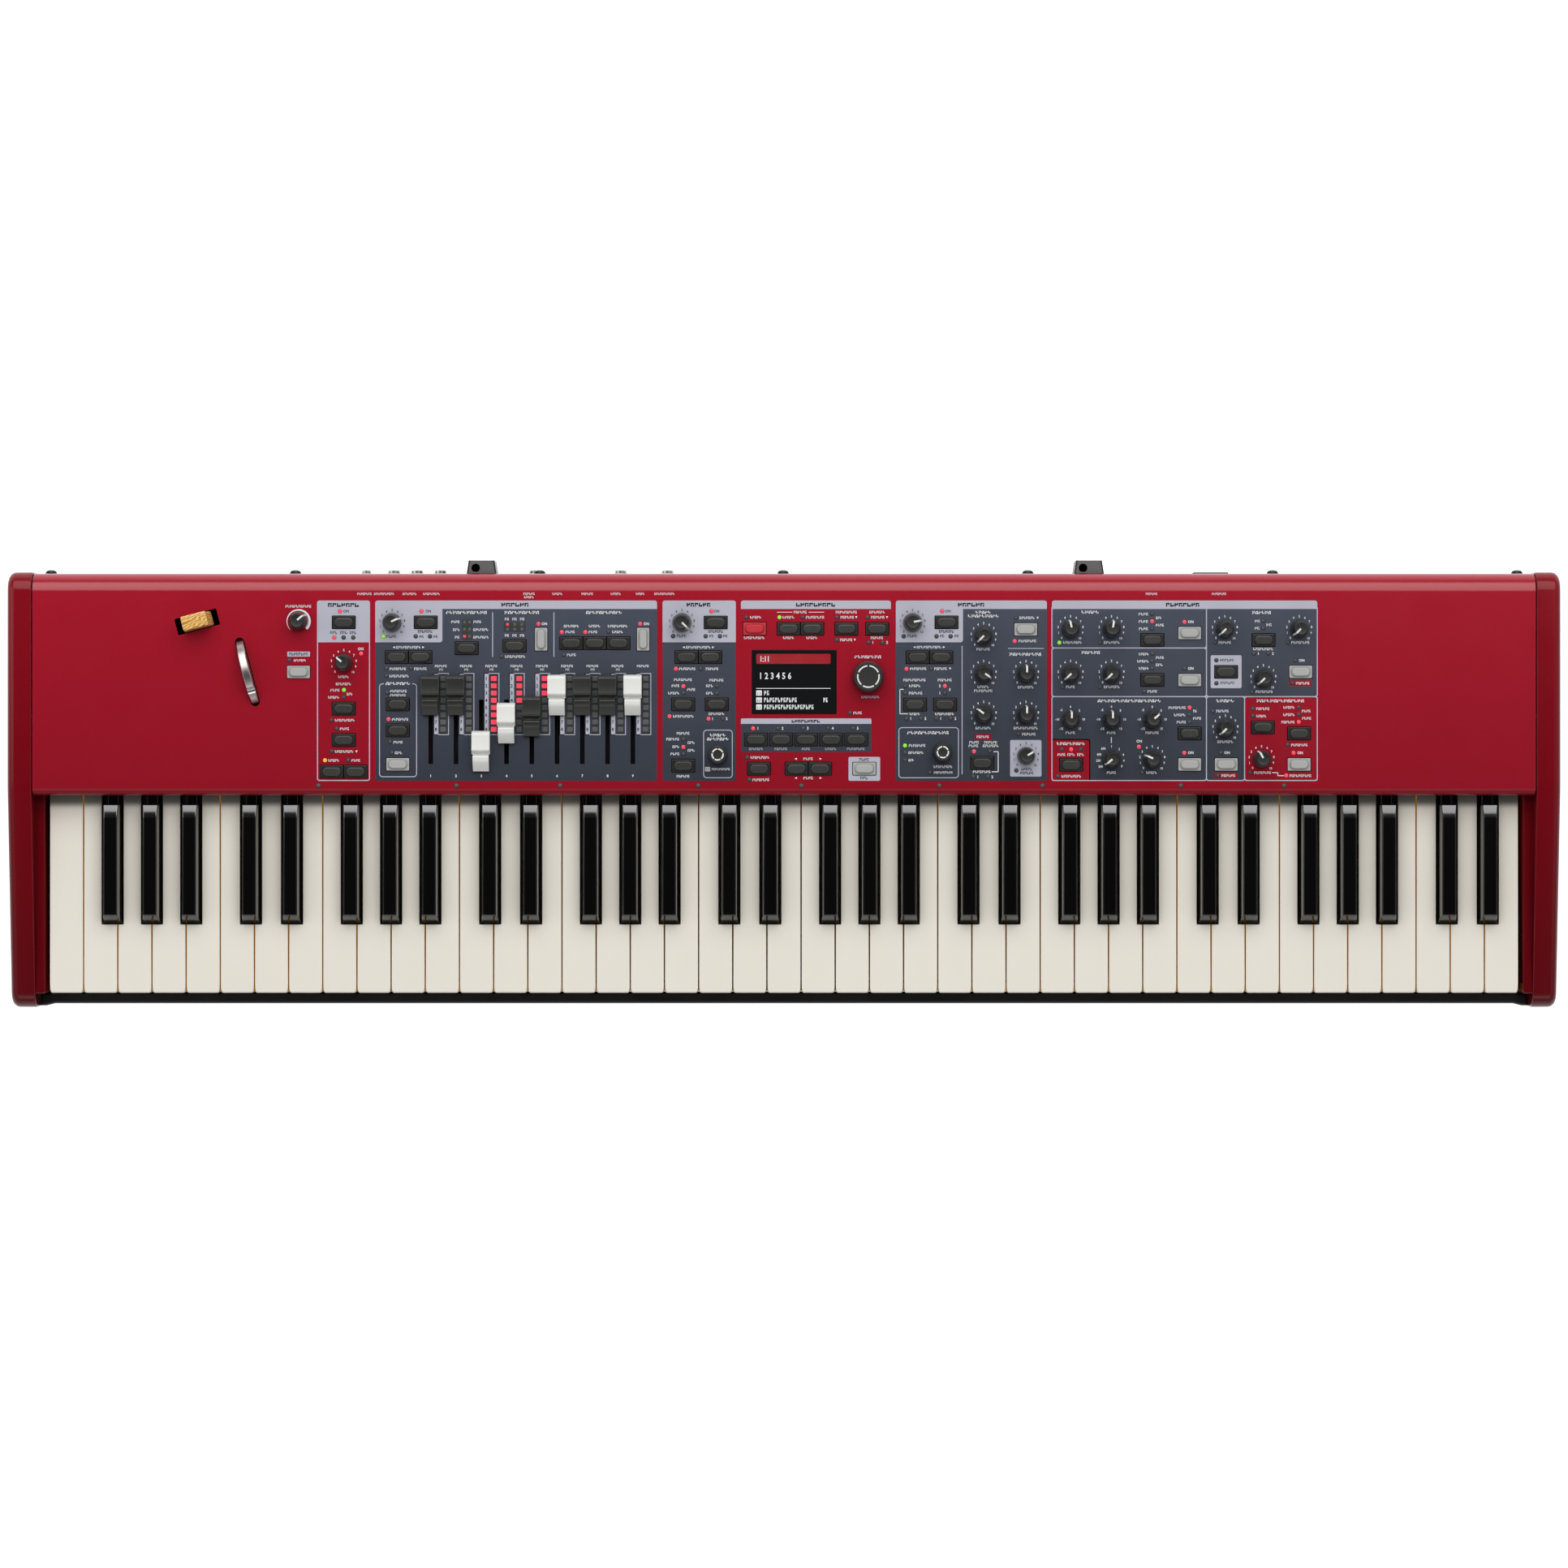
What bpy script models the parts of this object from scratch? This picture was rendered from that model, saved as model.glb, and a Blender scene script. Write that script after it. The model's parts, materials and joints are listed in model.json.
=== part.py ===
# A 73-key stage keyboard in a red case: waterfall keys, nine drawbars, knobs, buttons, a wooden pitch stick
# and a modulation wheel. Metres, +Z up, +X to the player's right, the keys' fronts towards -Y. The origin is
# on the floor, under the middle of the instrument.
import math

import bmesh
import bpy

# The sizes that set the others.
KEY_PITCH = 0.0236
WHITE_KEYS = 43
FIRST_KEY = 4  # the lowest key is an E, four semitones above C
KEY_GAP = 0.0009
KEY_DROP = 0.020  # from the deck's top down to the white keys
KEY_FRONT = -0.1443
KEY_HEAD = 0.0485  # white key surface in front of the black keys
KEY_SLAB = 0.010
SKIRT_HEIGHT = 0.020
SKIRT_DEPTH = 0.006
PIVOT_REACH = 0.1803  # from a key's front to its pivot
HEEL_LENGTH = 0.006
BLACK_WIDTH = 0.0127
BLACK_SIDE_SLOPE = 0.0033  # how much narrower a black key is on top
BLACK_FRONT_SLOPE = 0.0055
BLACK_REAR_SLOPE = 0.006
BLACK_RISE = 0.013
BLACK_SIDE_GAP = 0.00125  # from a black key to the notch of the white key beside it
BLACK_LEVER_WIDTH = 0.008
BLACK_LEVER_DROP = (0.009, 0.003)  # underside and top of a lever, below the white keys' top
BLACK_REAR = -0.0137
RAIL_DROP = 0.0105
KEYBED_DROP = 0.0163
KEYBED_SHEET = 0.0014
GUIDE_DROP = 0.019
GUIDE_SETBACK = 0.022
GUIDE_DEPTH = 0.016
STOP_SETBACK = 0.125
STOP_DEPTH = 0.012
KEY_NAMES = {0: "c", 1: "c_sharp", 2: "d", 3: "d_sharp", 4: "e", 5: "f", 6: "f_sharp", 7: "g", 8: "g_sharp",
             9: "a", 10: "a_sharp", 11: "b"}

FOOT_HEIGHT = 0.008
FOOT_RADIUS = 0.014
DECK_TOP = 0.080
DECK_THICKNESS = 0.002
DECK_FRONT = -0.0078
DECK_DEPTH = 0.1528
LIP_RADIUS = 0.006
LIP_LIFT = 0.0025  # the lip's lower edge above the white keys
ROLL_RADIUS = 0.013
WALL_THICKNESS = 0.002
SHEET = 0.0015

CHEEK_WIDTH = 0.017
CHEEK_FRONT = -0.1545
CHEEK_NOSE_LIFT = 0.002  # above the white keys
CHEEK_NOSE_RADIUS = 0.012
CHEEK_REAR_PROUD = 0.001
SEAM = 0.0014
KEY_BLOCK = 0.0066
BLOCK_GAP = 0.0030
RAIL_DEPTH = 0.0073
RAIL_GAP = 0.0009
FRONT_RAIL_DROP = 0.022  # below the white keys

SEAT_GAP = 0.0003
SLIDE_GAP = 0.0004
BOARD = 0.0016
BOARD_DROP = 0.0104  # from the deck's underside to the control boards
POT_HEIGHT = 0.005
POT_RADIUS = 0.0048

KNOB_RADIUS = 0.0061
KNOB_TOP_RADIUS = 0.0047
KNOB_HEIGHT = 0.0155
SHAFT_RADIUS = 0.003
LEVEL_KNOB_RADIUS = 0.0065
DIAL_RADIUS = 0.0109
SMALL_DIAL_RADIUS = 0.0067
KNOB_LIFT = 0.0008
ROUND_SIDES = 16

BUTTON_WIDTH = 0.0157
BUTTON_DEPTH = 0.0086
BUTTON_GAP = 0.0005  # between buttons of one row
PROGRAM_ROW_PITCH = 0.0172  # the five program buttons, which stand further apart
BUTTON_EDGE = 0.0007
BUTTON_BASE_RISE = 0.0008
BUTTON_RISE = 0.0026
MAT_THICKNESS = 0.002
MAT_DROP = 0.0005

DRAWBAR_PITCH = 0.01735
DRAWBAR_FIRST = -0.2426
DRAWBAR_STROKE = 0.0385
DRAWBAR_SLOT = 0.0032
DRAWBAR_SLOT_REAR = 0.0580
DRAWBAR_BLADE = (0.0024, 0.005)
DRAWBAR_CAP = (0.0124, 0.028)
DRAWBAR_RISE = 0.0105
DRAWBAR_LIFT = 0.0015
DRAWBAR_FOOT = 0.008
WHITE_DRAWBARS = (3, 4, 6, 9)
DRAWBAR_STEM_OFFSET = 0.0059
DRAWBAR_STEPS = (0, 0, 8, 4, 3, 0, 0, 0, 0)

STICK_AT = (-0.4030, 0.1114)
STICK_SLOT = (0.0297, 0.0115)
STICK_SIZE = (0.018, 0.010)
STICK_FLARE = 0.0015
STICK_RISE = 0.018
STICK_PIVOT_DROP = 0.025
WHEEL_X = -0.3685
WHEEL_TO_KEYS = 0.003
WHEEL_RADIUS = 0.026
WHEEL_RISE = 0.012
WHEEL_THICKNESS = 0.0054
WHEEL_SIDE_GAP = 0.0005
WHEEL_END_GAP = 0.0012
WHEEL_DIMPLE = (150.0, 0.003, 0.0015)  # turn in degrees, radius, and its middle beyond the rim
LUG_GAP = 0.001
LUG_SHEET = 0.002
CONTROL_TILT_DEG = 14.7
AXLE_RADIUS = 0.002

WINDOW = (-0.0222, 0.0362, 0.0479, 0.0921)
GLASS_DROP = 0.0008
MAIN_BOARD = (-0.31, 0.23, 0.054, 0.138)
MAIN_BOARD_LOW = 0.020

# Places on the deck in metres from its middle line and from the floor origin, by section. A row of buttons is
# the middle of the row and how many stand in it.
BUTTON_ROWS = {
    "rotary": [(-0.3334, 0.0769, 1), (-0.3023, 0.1110, 1), (-0.3023, 0.0518, 1), (-0.3023, 0.0302, 1),
               (-0.30235, 0.0085, 2)],
    "organ": [(-0.2460, 0.1110, 1), (-0.2578, 0.0871, 2), (-0.2652, 0.0546, 1), (-0.2652, 0.0368, 1),
              (-0.2652, 0.0135, 1), (-0.2179, 0.0932, 1), (-0.1850, 0.0948, 1), (-0.1299, 0.0967, 3)],
    "piano": [(-0.0469, 0.1109, 1), (-0.0588, 0.0871, 2), (-0.0692, 0.0546, 1), (-0.0462, 0.0546, 1),
              (-0.0692, 0.0126, 1)],
    "program": [(-0.0202, 0.1066, 1), (0.0113, 0.1066, 2), (0.0428, 0.1066, 1), (0.0640, 0.1066, 1),
                (0.0152, 0.0305, 5), (-0.0172, 0.0105, 1), (0.0167, 0.0105, 2), (0.0552, 0.0105, 1)],
    "synth": [(0.1116, 0.1110, 1), (0.0999, 0.0870, 2), (0.0900, 0.0545, 1), (0.1106, 0.0545, 1),
              (0.1660, 0.1061, 1), (0.1361, 0.0145, 1)],
    "effects": [(0.2530, 0.0989, 1), (0.2786, 0.1036, 1), (0.2530, 0.0715, 1), (0.2786, 0.0713, 1),
                (0.2786, 0.0347, 1), (0.2786, 0.0134, 1), (0.1972, 0.0132, 1), (0.3293, 0.0989, 1),
                (0.3036, 0.0770, 1), (0.3548, 0.0770, 1), (0.3037, 0.0134, 1), (0.3288, 0.0389, 1),
                (0.3537, 0.0347, 1), (0.3537, 0.0134, 1)],
}
UPRIGHT_BUTTONS = [(-0.1668, 0.0994), (-0.0967, 0.0994)]
MAT_OUTLINES = {
    "rotary": [(-0.343, 0.002), (-0.284, 0.002), (-0.284, 0.118), (-0.343, 0.118)],
    "organ": [(-0.280, 0.003), (-0.254, 0.003), (-0.254, 0.079), (-0.088, 0.079), (-0.088, 0.118),
              (-0.280, 0.118)],
    "piano": [(-0.081, 0.003), (-0.034, 0.003), (-0.034, 0.118), (-0.081, 0.118)],
    "program": [(-0.0285, 0.003), (0.073, 0.003), (0.073, 0.1135), (-0.0285, 0.1135), (-0.0285, 0.0995),
                (0.0455, 0.0995), (0.0455, 0.0390), (-0.0285, 0.0390)],
    "synth": [(0.0815, 0.003), (0.179, 0.003), (0.179, 0.118), (0.0815, 0.118)],
    "effects": [(0.186, 0.003), (0.365, 0.003), (0.365, 0.115), (0.186, 0.115)],
}
LEVEL_KNOBS = {
    "master_level_knob": (-0.3333, 0.1118),
    "organ_level_knob": (-0.2691, 0.1108),
    "piano_level_knob": (-0.0701, 0.1108),
    "synth_level_knob": (0.0883, 0.1108),
}
PROGRAM_DIAL = (0.0577, 0.0735)
LEFT_KNOBS = [(-0.3023, 0.0833)]
LEFT_DIALS = [(-0.0454, 0.0202)]
RIGHT_KNOBS = [
    (0.1371, 0.1018), (0.1371, 0.0758), (0.1371, 0.0478), (0.1662, 0.0758), (0.1662, 0.0478), (0.1662, 0.0193),
    (0.1968, 0.1065), (0.2249, 0.1065), (0.1968, 0.0759), (0.2249, 0.0759), (0.1968, 0.0444), (0.2249, 0.0444),
    (0.2529, 0.0444), (0.2249, 0.0172), (0.2529, 0.0172), (0.3027, 0.1065), (0.3538, 0.1065), (0.3292, 0.0728),
    (0.3031, 0.0383), (0.3279, 0.0172),
]
RIGHT_DIALS = [(0.1086, 0.0218)]
LEFT_BOARD = (-0.352, 0.0770, 0.002, 0.125)
RIGHT_BOARD = (0.0778, 0.372, 0.002, 0.125)
PILLAR_RADIUS = 0.0016
LEFT_PILLARS = [(-0.348, 0.006), (-0.348, 0.121), (-0.0845, 0.006), (-0.0845, 0.121), (0.0752, 0.006),
                (0.0752, 0.121)]
RIGHT_PILLARS = [(0.0796, 0.006), (0.0796, 0.121), (0.1825, 0.006), (0.1825, 0.121), (0.3685, 0.006),
                 (0.3685, 0.121)]

# The sockets in the rear wall.
SOCKET_HEIGHT = 0.034
JACK_BUSH = 0.0042
JACK_BORE = 0.0032
MINI_BUSH = 0.0032
MINI_BORE = 0.0022
DIN_RADIUS = 0.0075
DIN_BORE = 0.0065
USB_SIZE = (0.0120, 0.0110)
USB_BORE = (0.0085, 0.0078)
INLET_SIZE = (0.0275, 0.0200)
INLET_BORE = (0.0235, 0.0160)
INLET_PIN = (0.0020, 0.0040)
INLET_PIN_GAP = 0.007
SWITCH_SIZE = (0.0245, 0.0200)
SWITCH_BORE = (0.0200, 0.0150)
ROCKER_DEG = 10.0
OUTPUT_JACKS = (-0.2713, -0.2552, -0.2389)
MINI_JACK = -0.2905
CONTROL_JACKS = (-0.1731, -0.1136, -0.0810)
DIN_SOCKETS = (-0.1573, -0.1365)
USB_SOCKET = -0.0988
INLET_AT = 0.2555
SWITCH_AT = 0.2962
SOCKET_BODY = (0.0219, 0.0460)
BLOCK_DEPTH = 0.024
SOCKET_PROUD = 0.0025

BRACKETS = {"left_stand_bracket": (-0.2089, -0.0041), "right_stand_bracket": (0.2107, -0.0041)}
BRACKET_WIDTHS = (0.0207, 0.0184)
BRACKET_DEPTH = 0.0092
BRACKET_TOP = 0.060
BRACKET_HEIGHT = 0.026
BRACKET_HOLE = 0.00295
FOOT_PLACES = {
    "front_left_foot": (-1, -0.122), "front_right_foot": (1, -0.122),
    "rear_left_foot": (-1, 0.118), "rear_right_foot": (1, 0.118),
}
FOOT_INSET = 0.062

# Worked out from the sizes above.
KEY_TOP = DECK_TOP - KEY_DROP
BLACK_SLOT = BLACK_WIDTH + 2 * BLACK_SIDE_GAP
BLACK_TOP_WIDTH = BLACK_WIDTH - BLACK_SIDE_SLOPE
BLACK_LEVER = (KEY_TOP - BLACK_LEVER_DROP[0], KEY_TOP - BLACK_LEVER_DROP[1])
BLACK_LEVER_BAND = (BLACK_LEVER[0] + 0.0005, BLACK_LEVER[1])
RAIL_TOP = KEY_TOP - RAIL_DROP
KEYBED_TOP = KEY_TOP - KEYBED_DROP
LIP_BOTTOM = KEY_TOP + LIP_LIFT
CHEEK_NOSE_TOP = KEY_TOP + CHEEK_NOSE_LIFT
RAIL_REAR = KEY_FRONT - RAIL_GAP
RAIL_FRONT = RAIL_REAR - RAIL_DEPTH
RAIL_HEIGHT = KEY_TOP - FRONT_RAIL_DROP
KEYS_HALF = KEY_PITCH * WHITE_KEYS / 2
BLOCK_INNER = KEYS_HALF + BLOCK_GAP
CHEEK_INNER = BLOCK_INNER + KEY_BLOCK
CHEEK_OUTER = CHEEK_INNER + CHEEK_WIDTH
DECK_HALF = CHEEK_INNER - SEAM
DECK_REAR = DECK_FRONT + DECK_DEPTH
DECK_UNDER = DECK_TOP - DECK_THICKNESS
CASE_BOTTOM = FOOT_HEIGHT + SEAT_GAP
PAN_TOP = CASE_BOTTOM + SHEET
BOARD_TOP = DECK_UNDER - BOARD_DROP
POT_TOP = BOARD_TOP + POT_HEIGHT
DRAWBAR_CAP_TOP = DECK_TOP + DRAWBAR_RISE
PIVOT_Y = KEY_FRONT + PIVOT_REACH
BLACK_HEEL = (PIVOT_Y + HEEL_LENGTH, PIVOT_Y + 2 * HEEL_LENGTH)
STICK_TOP = DECK_TOP + STICK_RISE
STICK_PIVOT = DECK_TOP - STICK_PIVOT_DROP
WHEEL_AT = (WHEEL_X, BLACK_HEEL[1] + WHEEL_TO_KEYS + WHEEL_RADIUS)
WHEEL_AXLE = DECK_TOP + WHEEL_RISE - WHEEL_RADIUS
WHEEL_SLOT = (WHEEL_THICKNESS + 2 * WHEEL_SIDE_GAP,
              2 * (math.sqrt(WHEEL_RADIUS ** 2 - (DECK_UNDER - WHEEL_AXLE) ** 2) + WHEEL_END_GAP))
BLACK_FRONT = KEY_FRONT + KEY_HEAD
WALL_FRONT = DECK_REAR - WALL_THICKNESS
WALL_TOP = DECK_TOP - ROLL_RADIUS - SEAT_GAP
BLACK_OFFSETS = {1: -0.00235, 3: 0.00235, 6: -0.00355, 8: 0.0, 10: 0.00355}
WHITE_STEPS = (0, 2, 4, 5, 7, 9, 11)
MIDDLE_OCTAVE = 3  # the octave whose twelve keys are separate pieces

COLOURS = {
    "red": (0.33, 0.012, 0.022, 0.35, 0.0), "dark_red": (0.19, 0.005, 0.01, 0.4, 0.0),
    "black": (0.012, 0.012, 0.013, 0.5, 0.0), "ivory": (0.72, 0.69, 0.6, 0.3, 0.0),
    "ebony": (0.006, 0.005, 0.005, 0.15, 0.0), "steel": (0.3, 0.3, 0.3, 0.45, 1.0),
    "circuit": (0.02, 0.09, 0.04, 0.6, 0.0), "rubber": (0.02, 0.02, 0.02, 0.9, 0.0),
    "wood": (0.45, 0.24, 0.06, 0.45, 0.0), "nickel": (0.5, 0.48, 0.45, 0.25, 1.0),
    "white": (0.7, 0.7, 0.68, 0.4, 0.0), "mat": (0.022, 0.023, 0.021, 0.6, 0.0),
}


def clear_scene():
    for item in list(bpy.data.objects):
        bpy.data.objects.remove(item, do_unlink=True)


def finish(name):
    existing = bpy.data.materials.get(name)
    if existing:
        return existing
    red, green, blue, roughness, metallic = COLOURS[name]
    material = bpy.data.materials.new(name)
    material.use_nodes = True
    shader = material.node_tree.nodes["Principled BSDF"]
    shader.inputs["Base Color"].default_value = (red, green, blue, 1.0)
    shader.inputs["Roughness"].default_value = roughness
    shader.inputs["Metallic"].default_value = metallic
    return material


# Shapes. Each is a bmesh, and join lays several beside each other in one.
def extruded(points, step):
    """A flat loop of points pushed along a step."""
    shape = bmesh.new()
    face = shape.faces.new([shape.verts.new(point) for point in points])
    pushed = bmesh.ops.extrude_face_region(shape, geom=[face])
    moved = [item for item in pushed["geom"] if isinstance(item, bmesh.types.BMVert)]
    bmesh.ops.translate(shape, vec=step, verts=moved)
    bmesh.ops.recalc_face_normals(shape, faces=shape.faces)
    return shape


def prism(outline, low, high):
    return extruded([(x, y, low) for x, y in outline], (0, 0, high - low))


def side_prism(outline, left, right):
    return extruded([(left, y, z) for y, z in outline], (right - left, 0, 0))


def box(left, right, front, rear, low, high):
    return prism([(left, front), (right, front), (right, rear), (left, rear)], low, high)


def box_at(centre, width, depth, low, high):
    x, y = centre
    return box(x - width / 2, x + width / 2, y - depth / 2, y + depth / 2, low, high)


def turned(centre, rings, sides=ROUND_SIDES):
    """A stack of rings (radius, height) about a vertical line."""
    shape = bmesh.new()
    loops = []
    for radius, height in rings:
        angles = [math.tau * (step + 0.5) / sides for step in range(sides)]
        loops.append([shape.verts.new((centre[0] + radius * math.cos(a), centre[1] + radius * math.sin(a), height))
                      for a in angles])
    shape.faces.new(loops[0])
    shape.faces.new(loops[-1])
    for lower, upper in zip(loops, loops[1:]):
        for step in range(sides):
            after = (step + 1) % sides
            shape.faces.new([lower[step], lower[after], upper[after], upper[step]])
    bmesh.ops.recalc_face_normals(shape, faces=shape.faces)
    return shape


def post(centre, radius, low, high, sides=ROUND_SIDES):
    return turned(centre, [(radius, low), (radius, high)], sides)


def rear_post(x, z, radius, front, rear, sides=ROUND_SIDES):
    """A cylinder that lies along Y."""
    circle = [(x + radius * math.cos(math.tau * s / sides), front, z + radius * math.sin(math.tau * s / sides))
              for s in range(sides)]
    return extruded(circle, (0, rear - front, 0))


def join(shapes):
    whole = bmesh.new()
    for shape in shapes:
        piece = bpy.data.meshes.new("piece")
        shape.to_mesh(piece)
        whole.from_mesh(piece)
        shape.free()
        bpy.data.meshes.remove(piece)
    return whole


def tilted(shape, centre, degrees):
    """The shape turned about a vertical line through centre."""
    turn = math.radians(degrees)
    for vertex in shape.verts:
        x, y = vertex.co.x, vertex.co.y
        vertex.co.x = centre[0] + x * math.cos(turn) - y * math.sin(turn)
        vertex.co.y = centre[1] + x * math.sin(turn) + y * math.cos(turn)
    return shape


def place(name, shape):
    mesh = bpy.data.meshes.new(name)
    shape.to_mesh(mesh)
    shape.free()
    item = bpy.data.objects.new(name, mesh)
    bpy.context.scene.collection.objects.link(item)
    return item


def part(name, shape, material, adds=(), cuts=(), bevel=0.0):
    """One named piece, with other shapes joined on to it and taken away from it."""
    item = place(name, shape)
    item.data.materials.append(finish(material))
    for kind, helpers in (("UNION", adds), ("DIFFERENCE", cuts)):
        for count, helper in enumerate(helpers):
            tool = place(f"{name}_{kind.lower()}_{count}", helper)
            tool.hide_render = True
            tool.display_type = "WIRE"
            step = item.modifiers.new(f"{kind.lower()} {count}", "BOOLEAN")
            step.operation = kind
            step.solver = "EXACT"
            step.use_self = True
            step.object = tool
    if bevel:
        edge = item.modifiers.new("edges", "BEVEL")
        edge.width = bevel
        edge.segments = 1
        edge.limit_method = "ANGLE"
        edge.angle_limit = math.radians(50)
    return item


def arc(centre, radius, start, end, steps):
    """Points on an arc, angles in degrees."""
    turns = [math.radians(start + (end - start) * step / steps) for step in range(steps + 1)]
    return [(centre[0] + radius * math.cos(turn), centre[1] + radius * math.sin(turn)) for turn in turns]


# The keys.
def key_places():
    """Every key as (semitone above the lowest C, whether it is white, middle x)."""
    keys = []
    white = 0
    semitone = FIRST_KEY
    while white < WHITE_KEYS:
        step = semitone % 12
        if step in WHITE_STEPS:
            keys.append((semitone, True, -KEYS_HALF + KEY_PITCH * (white + 0.5)))
            white += 1
        else:
            keys.append((semitone, False, -KEYS_HALF + KEY_PITCH * white + BLACK_OFFSETS[step]))
        semitone += 1
    return keys


def white_key(semitone, middle, neighbours):
    """The slab of a white key with its notches, and its front skirt."""
    half = (KEY_PITCH - KEY_GAP) / 2
    left = right = half
    below = neighbours.get(semitone - 1)
    above = neighbours.get(semitone + 1)
    if below is not None:
        left = middle - (below + BLACK_SLOT / 2)
    if above is not None:
        right = (above - BLACK_SLOT / 2) - middle
    rear = PIVOT_Y + HEEL_LENGTH / 2
    notch = BLACK_FRONT - (BLACK_SLOT - BLACK_WIDTH) / 2
    outline = [(middle - half, KEY_FRONT), (middle + half, KEY_FRONT)]
    outline += [(middle + half, notch), (middle + right, notch)] if right < half else []
    outline += [(middle + right, rear), (middle - left, rear)]
    outline += [(middle - left, notch), (middle - half, notch)] if left < half else []
    slab = prism(outline, KEY_TOP - KEY_SLAB, KEY_TOP)
    skirt = box(middle - half, middle + half, KEY_FRONT, KEY_FRONT + SKIRT_DEPTH,
                KEY_TOP - SKIRT_HEIGHT, KEY_TOP - KEY_SLAB / 2)
    heel = box(middle - left / 2, middle + right / 2, PIVOT_Y - HEEL_LENGTH / 2, rear,
               KEYBED_TOP + SEAT_GAP, KEY_TOP - KEY_SLAB / 2)
    return slab, skirt, heel


def black_key(middle):
    """The sloped top of a black key, its lever, and the heel behind the pivot."""
    base, top = BLACK_WIDTH / 2, BLACK_TOP_WIDTH / 2
    low, waist, high = BLACK_LEVER[0], KEY_TOP + 0.001, KEY_TOP + BLACK_RISE
    shape = bmesh.new()
    rings = [(base, BLACK_FRONT, BLACK_REAR, low), (base, BLACK_FRONT, BLACK_REAR, waist),
             (top, BLACK_FRONT + BLACK_FRONT_SLOPE, BLACK_REAR - BLACK_REAR_SLOPE, high)]
    loops = [[shape.verts.new((middle + x, y, z)) for x, y in
              ((-half, front), (half, front), (half, rear), (-half, rear))] for half, front, rear, z in rings]
    shape.faces.new(loops[0])
    shape.faces.new(loops[-1])
    for lower, upper in zip(loops, loops[1:]):
        for side in range(4):
            after = (side + 1) % 4
            shape.faces.new([lower[side], lower[after], upper[after], upper[side]])
    bmesh.ops.recalc_face_normals(shape, faces=shape.faces)
    half = BLACK_LEVER_WIDTH / 2
    lever = box(middle - half, middle + half, BLACK_REAR - 0.02, BLACK_HEEL[1], *BLACK_LEVER_BAND)
    heel = box(middle - half, middle + half, BLACK_HEEL[0], BLACK_HEEL[1], KEYBED_TOP + SEAT_GAP,
               BLACK_LEVER[1] - 0.002)
    return shape, lever, heel


def make_keys():
    keys = key_places()
    blacks = {semitone: middle for semitone, is_white, middle in keys if not is_white}
    first, last = MIDDLE_OCTAVE * 12, MIDDLE_OCTAVE * 12 + 11
    groups = {name: [] for name in ("bass_white_keys", "bass_black_keys", "treble_white_keys",
                                    "treble_black_keys")}
    for semitone, is_white, middle in keys:
        pieces = white_key(semitone, middle, blacks) if is_white else black_key(middle)
        material = "ivory" if is_white else "ebony"
        if first <= semitone <= last:
            part(f"key_{KEY_NAMES[semitone % 12]}", pieces[0], material, adds=pieces[1:])
        else:
            side = "bass" if semitone < first else "treble"
            groups[f"{side}_{'white' if is_white else 'black'}_keys"].append((middle, pieces))
    for name, members in groups.items():
        white = "white" in name
        middles = [middle for middle, _ in members]
        reach = KEY_PITCH / 3 if white else BLACK_LEVER_WIDTH / 2
        rear = (PIVOT_Y - HEEL_LENGTH / 2, PIVOT_Y + HEEL_LENGTH / 2) if white else BLACK_HEEL
        top = RAIL_TOP if white else BLACK_LEVER[1] - 0.001
        rail = box(min(middles) - reach, max(middles) + reach, rear[0], rear[1], KEYBED_TOP + SEAT_GAP, top)
        tops = join([pieces[0] for _, pieces in members])
        second = join([pieces[1] for _, pieces in members])
        heels = join([pieces[2] for _, pieces in members])
        part(name, tops, "ivory" if white else "ebony", adds=(second, heels, rail))


def make_keybed():
    """A folded channel: floor, front guide rail, key stop rail and rear pivot rail."""
    floor, sheet = PAN_TOP + SEAT_GAP, KEYBED_SHEET
    front, rear = KEY_FRONT + SKIRT_DEPTH + 0.001, BLACK_HEEL[1]
    guide, guide_rear = KEY_FRONT + GUIDE_SETBACK, KEY_FRONT + GUIDE_SETBACK + GUIDE_DEPTH
    guide_top = KEY_TOP - GUIDE_DROP
    stop, stop_rear = KEY_FRONT + STOP_SETBACK, KEY_FRONT + STOP_SETBACK + STOP_DEPTH
    outline = [
        (front, floor), (rear, floor), (rear, KEYBED_TOP), (PIVOT_Y - HEEL_LENGTH / 2, KEYBED_TOP),
        (PIVOT_Y - HEEL_LENGTH / 2, KEYBED_TOP - sheet), (rear - sheet, KEYBED_TOP - sheet),
        (rear - sheet, floor + sheet), (stop_rear, floor + sheet), (stop_rear, guide_top), (stop, guide_top),
        (stop, guide_top - sheet), (stop_rear - sheet, guide_top - sheet), (stop_rear - sheet, floor + sheet),
        (guide_rear, floor + sheet), (guide_rear, guide_top),
        (guide, guide_top), (guide, guide_top - sheet), (guide_rear - sheet, guide_top - sheet),
        (guide_rear - sheet, floor + sheet), (front, floor + sheet),
    ]
    part("keybed_chassis", side_prism(outline, -KEYS_HALF, KEYS_HALF), "steel")


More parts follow.
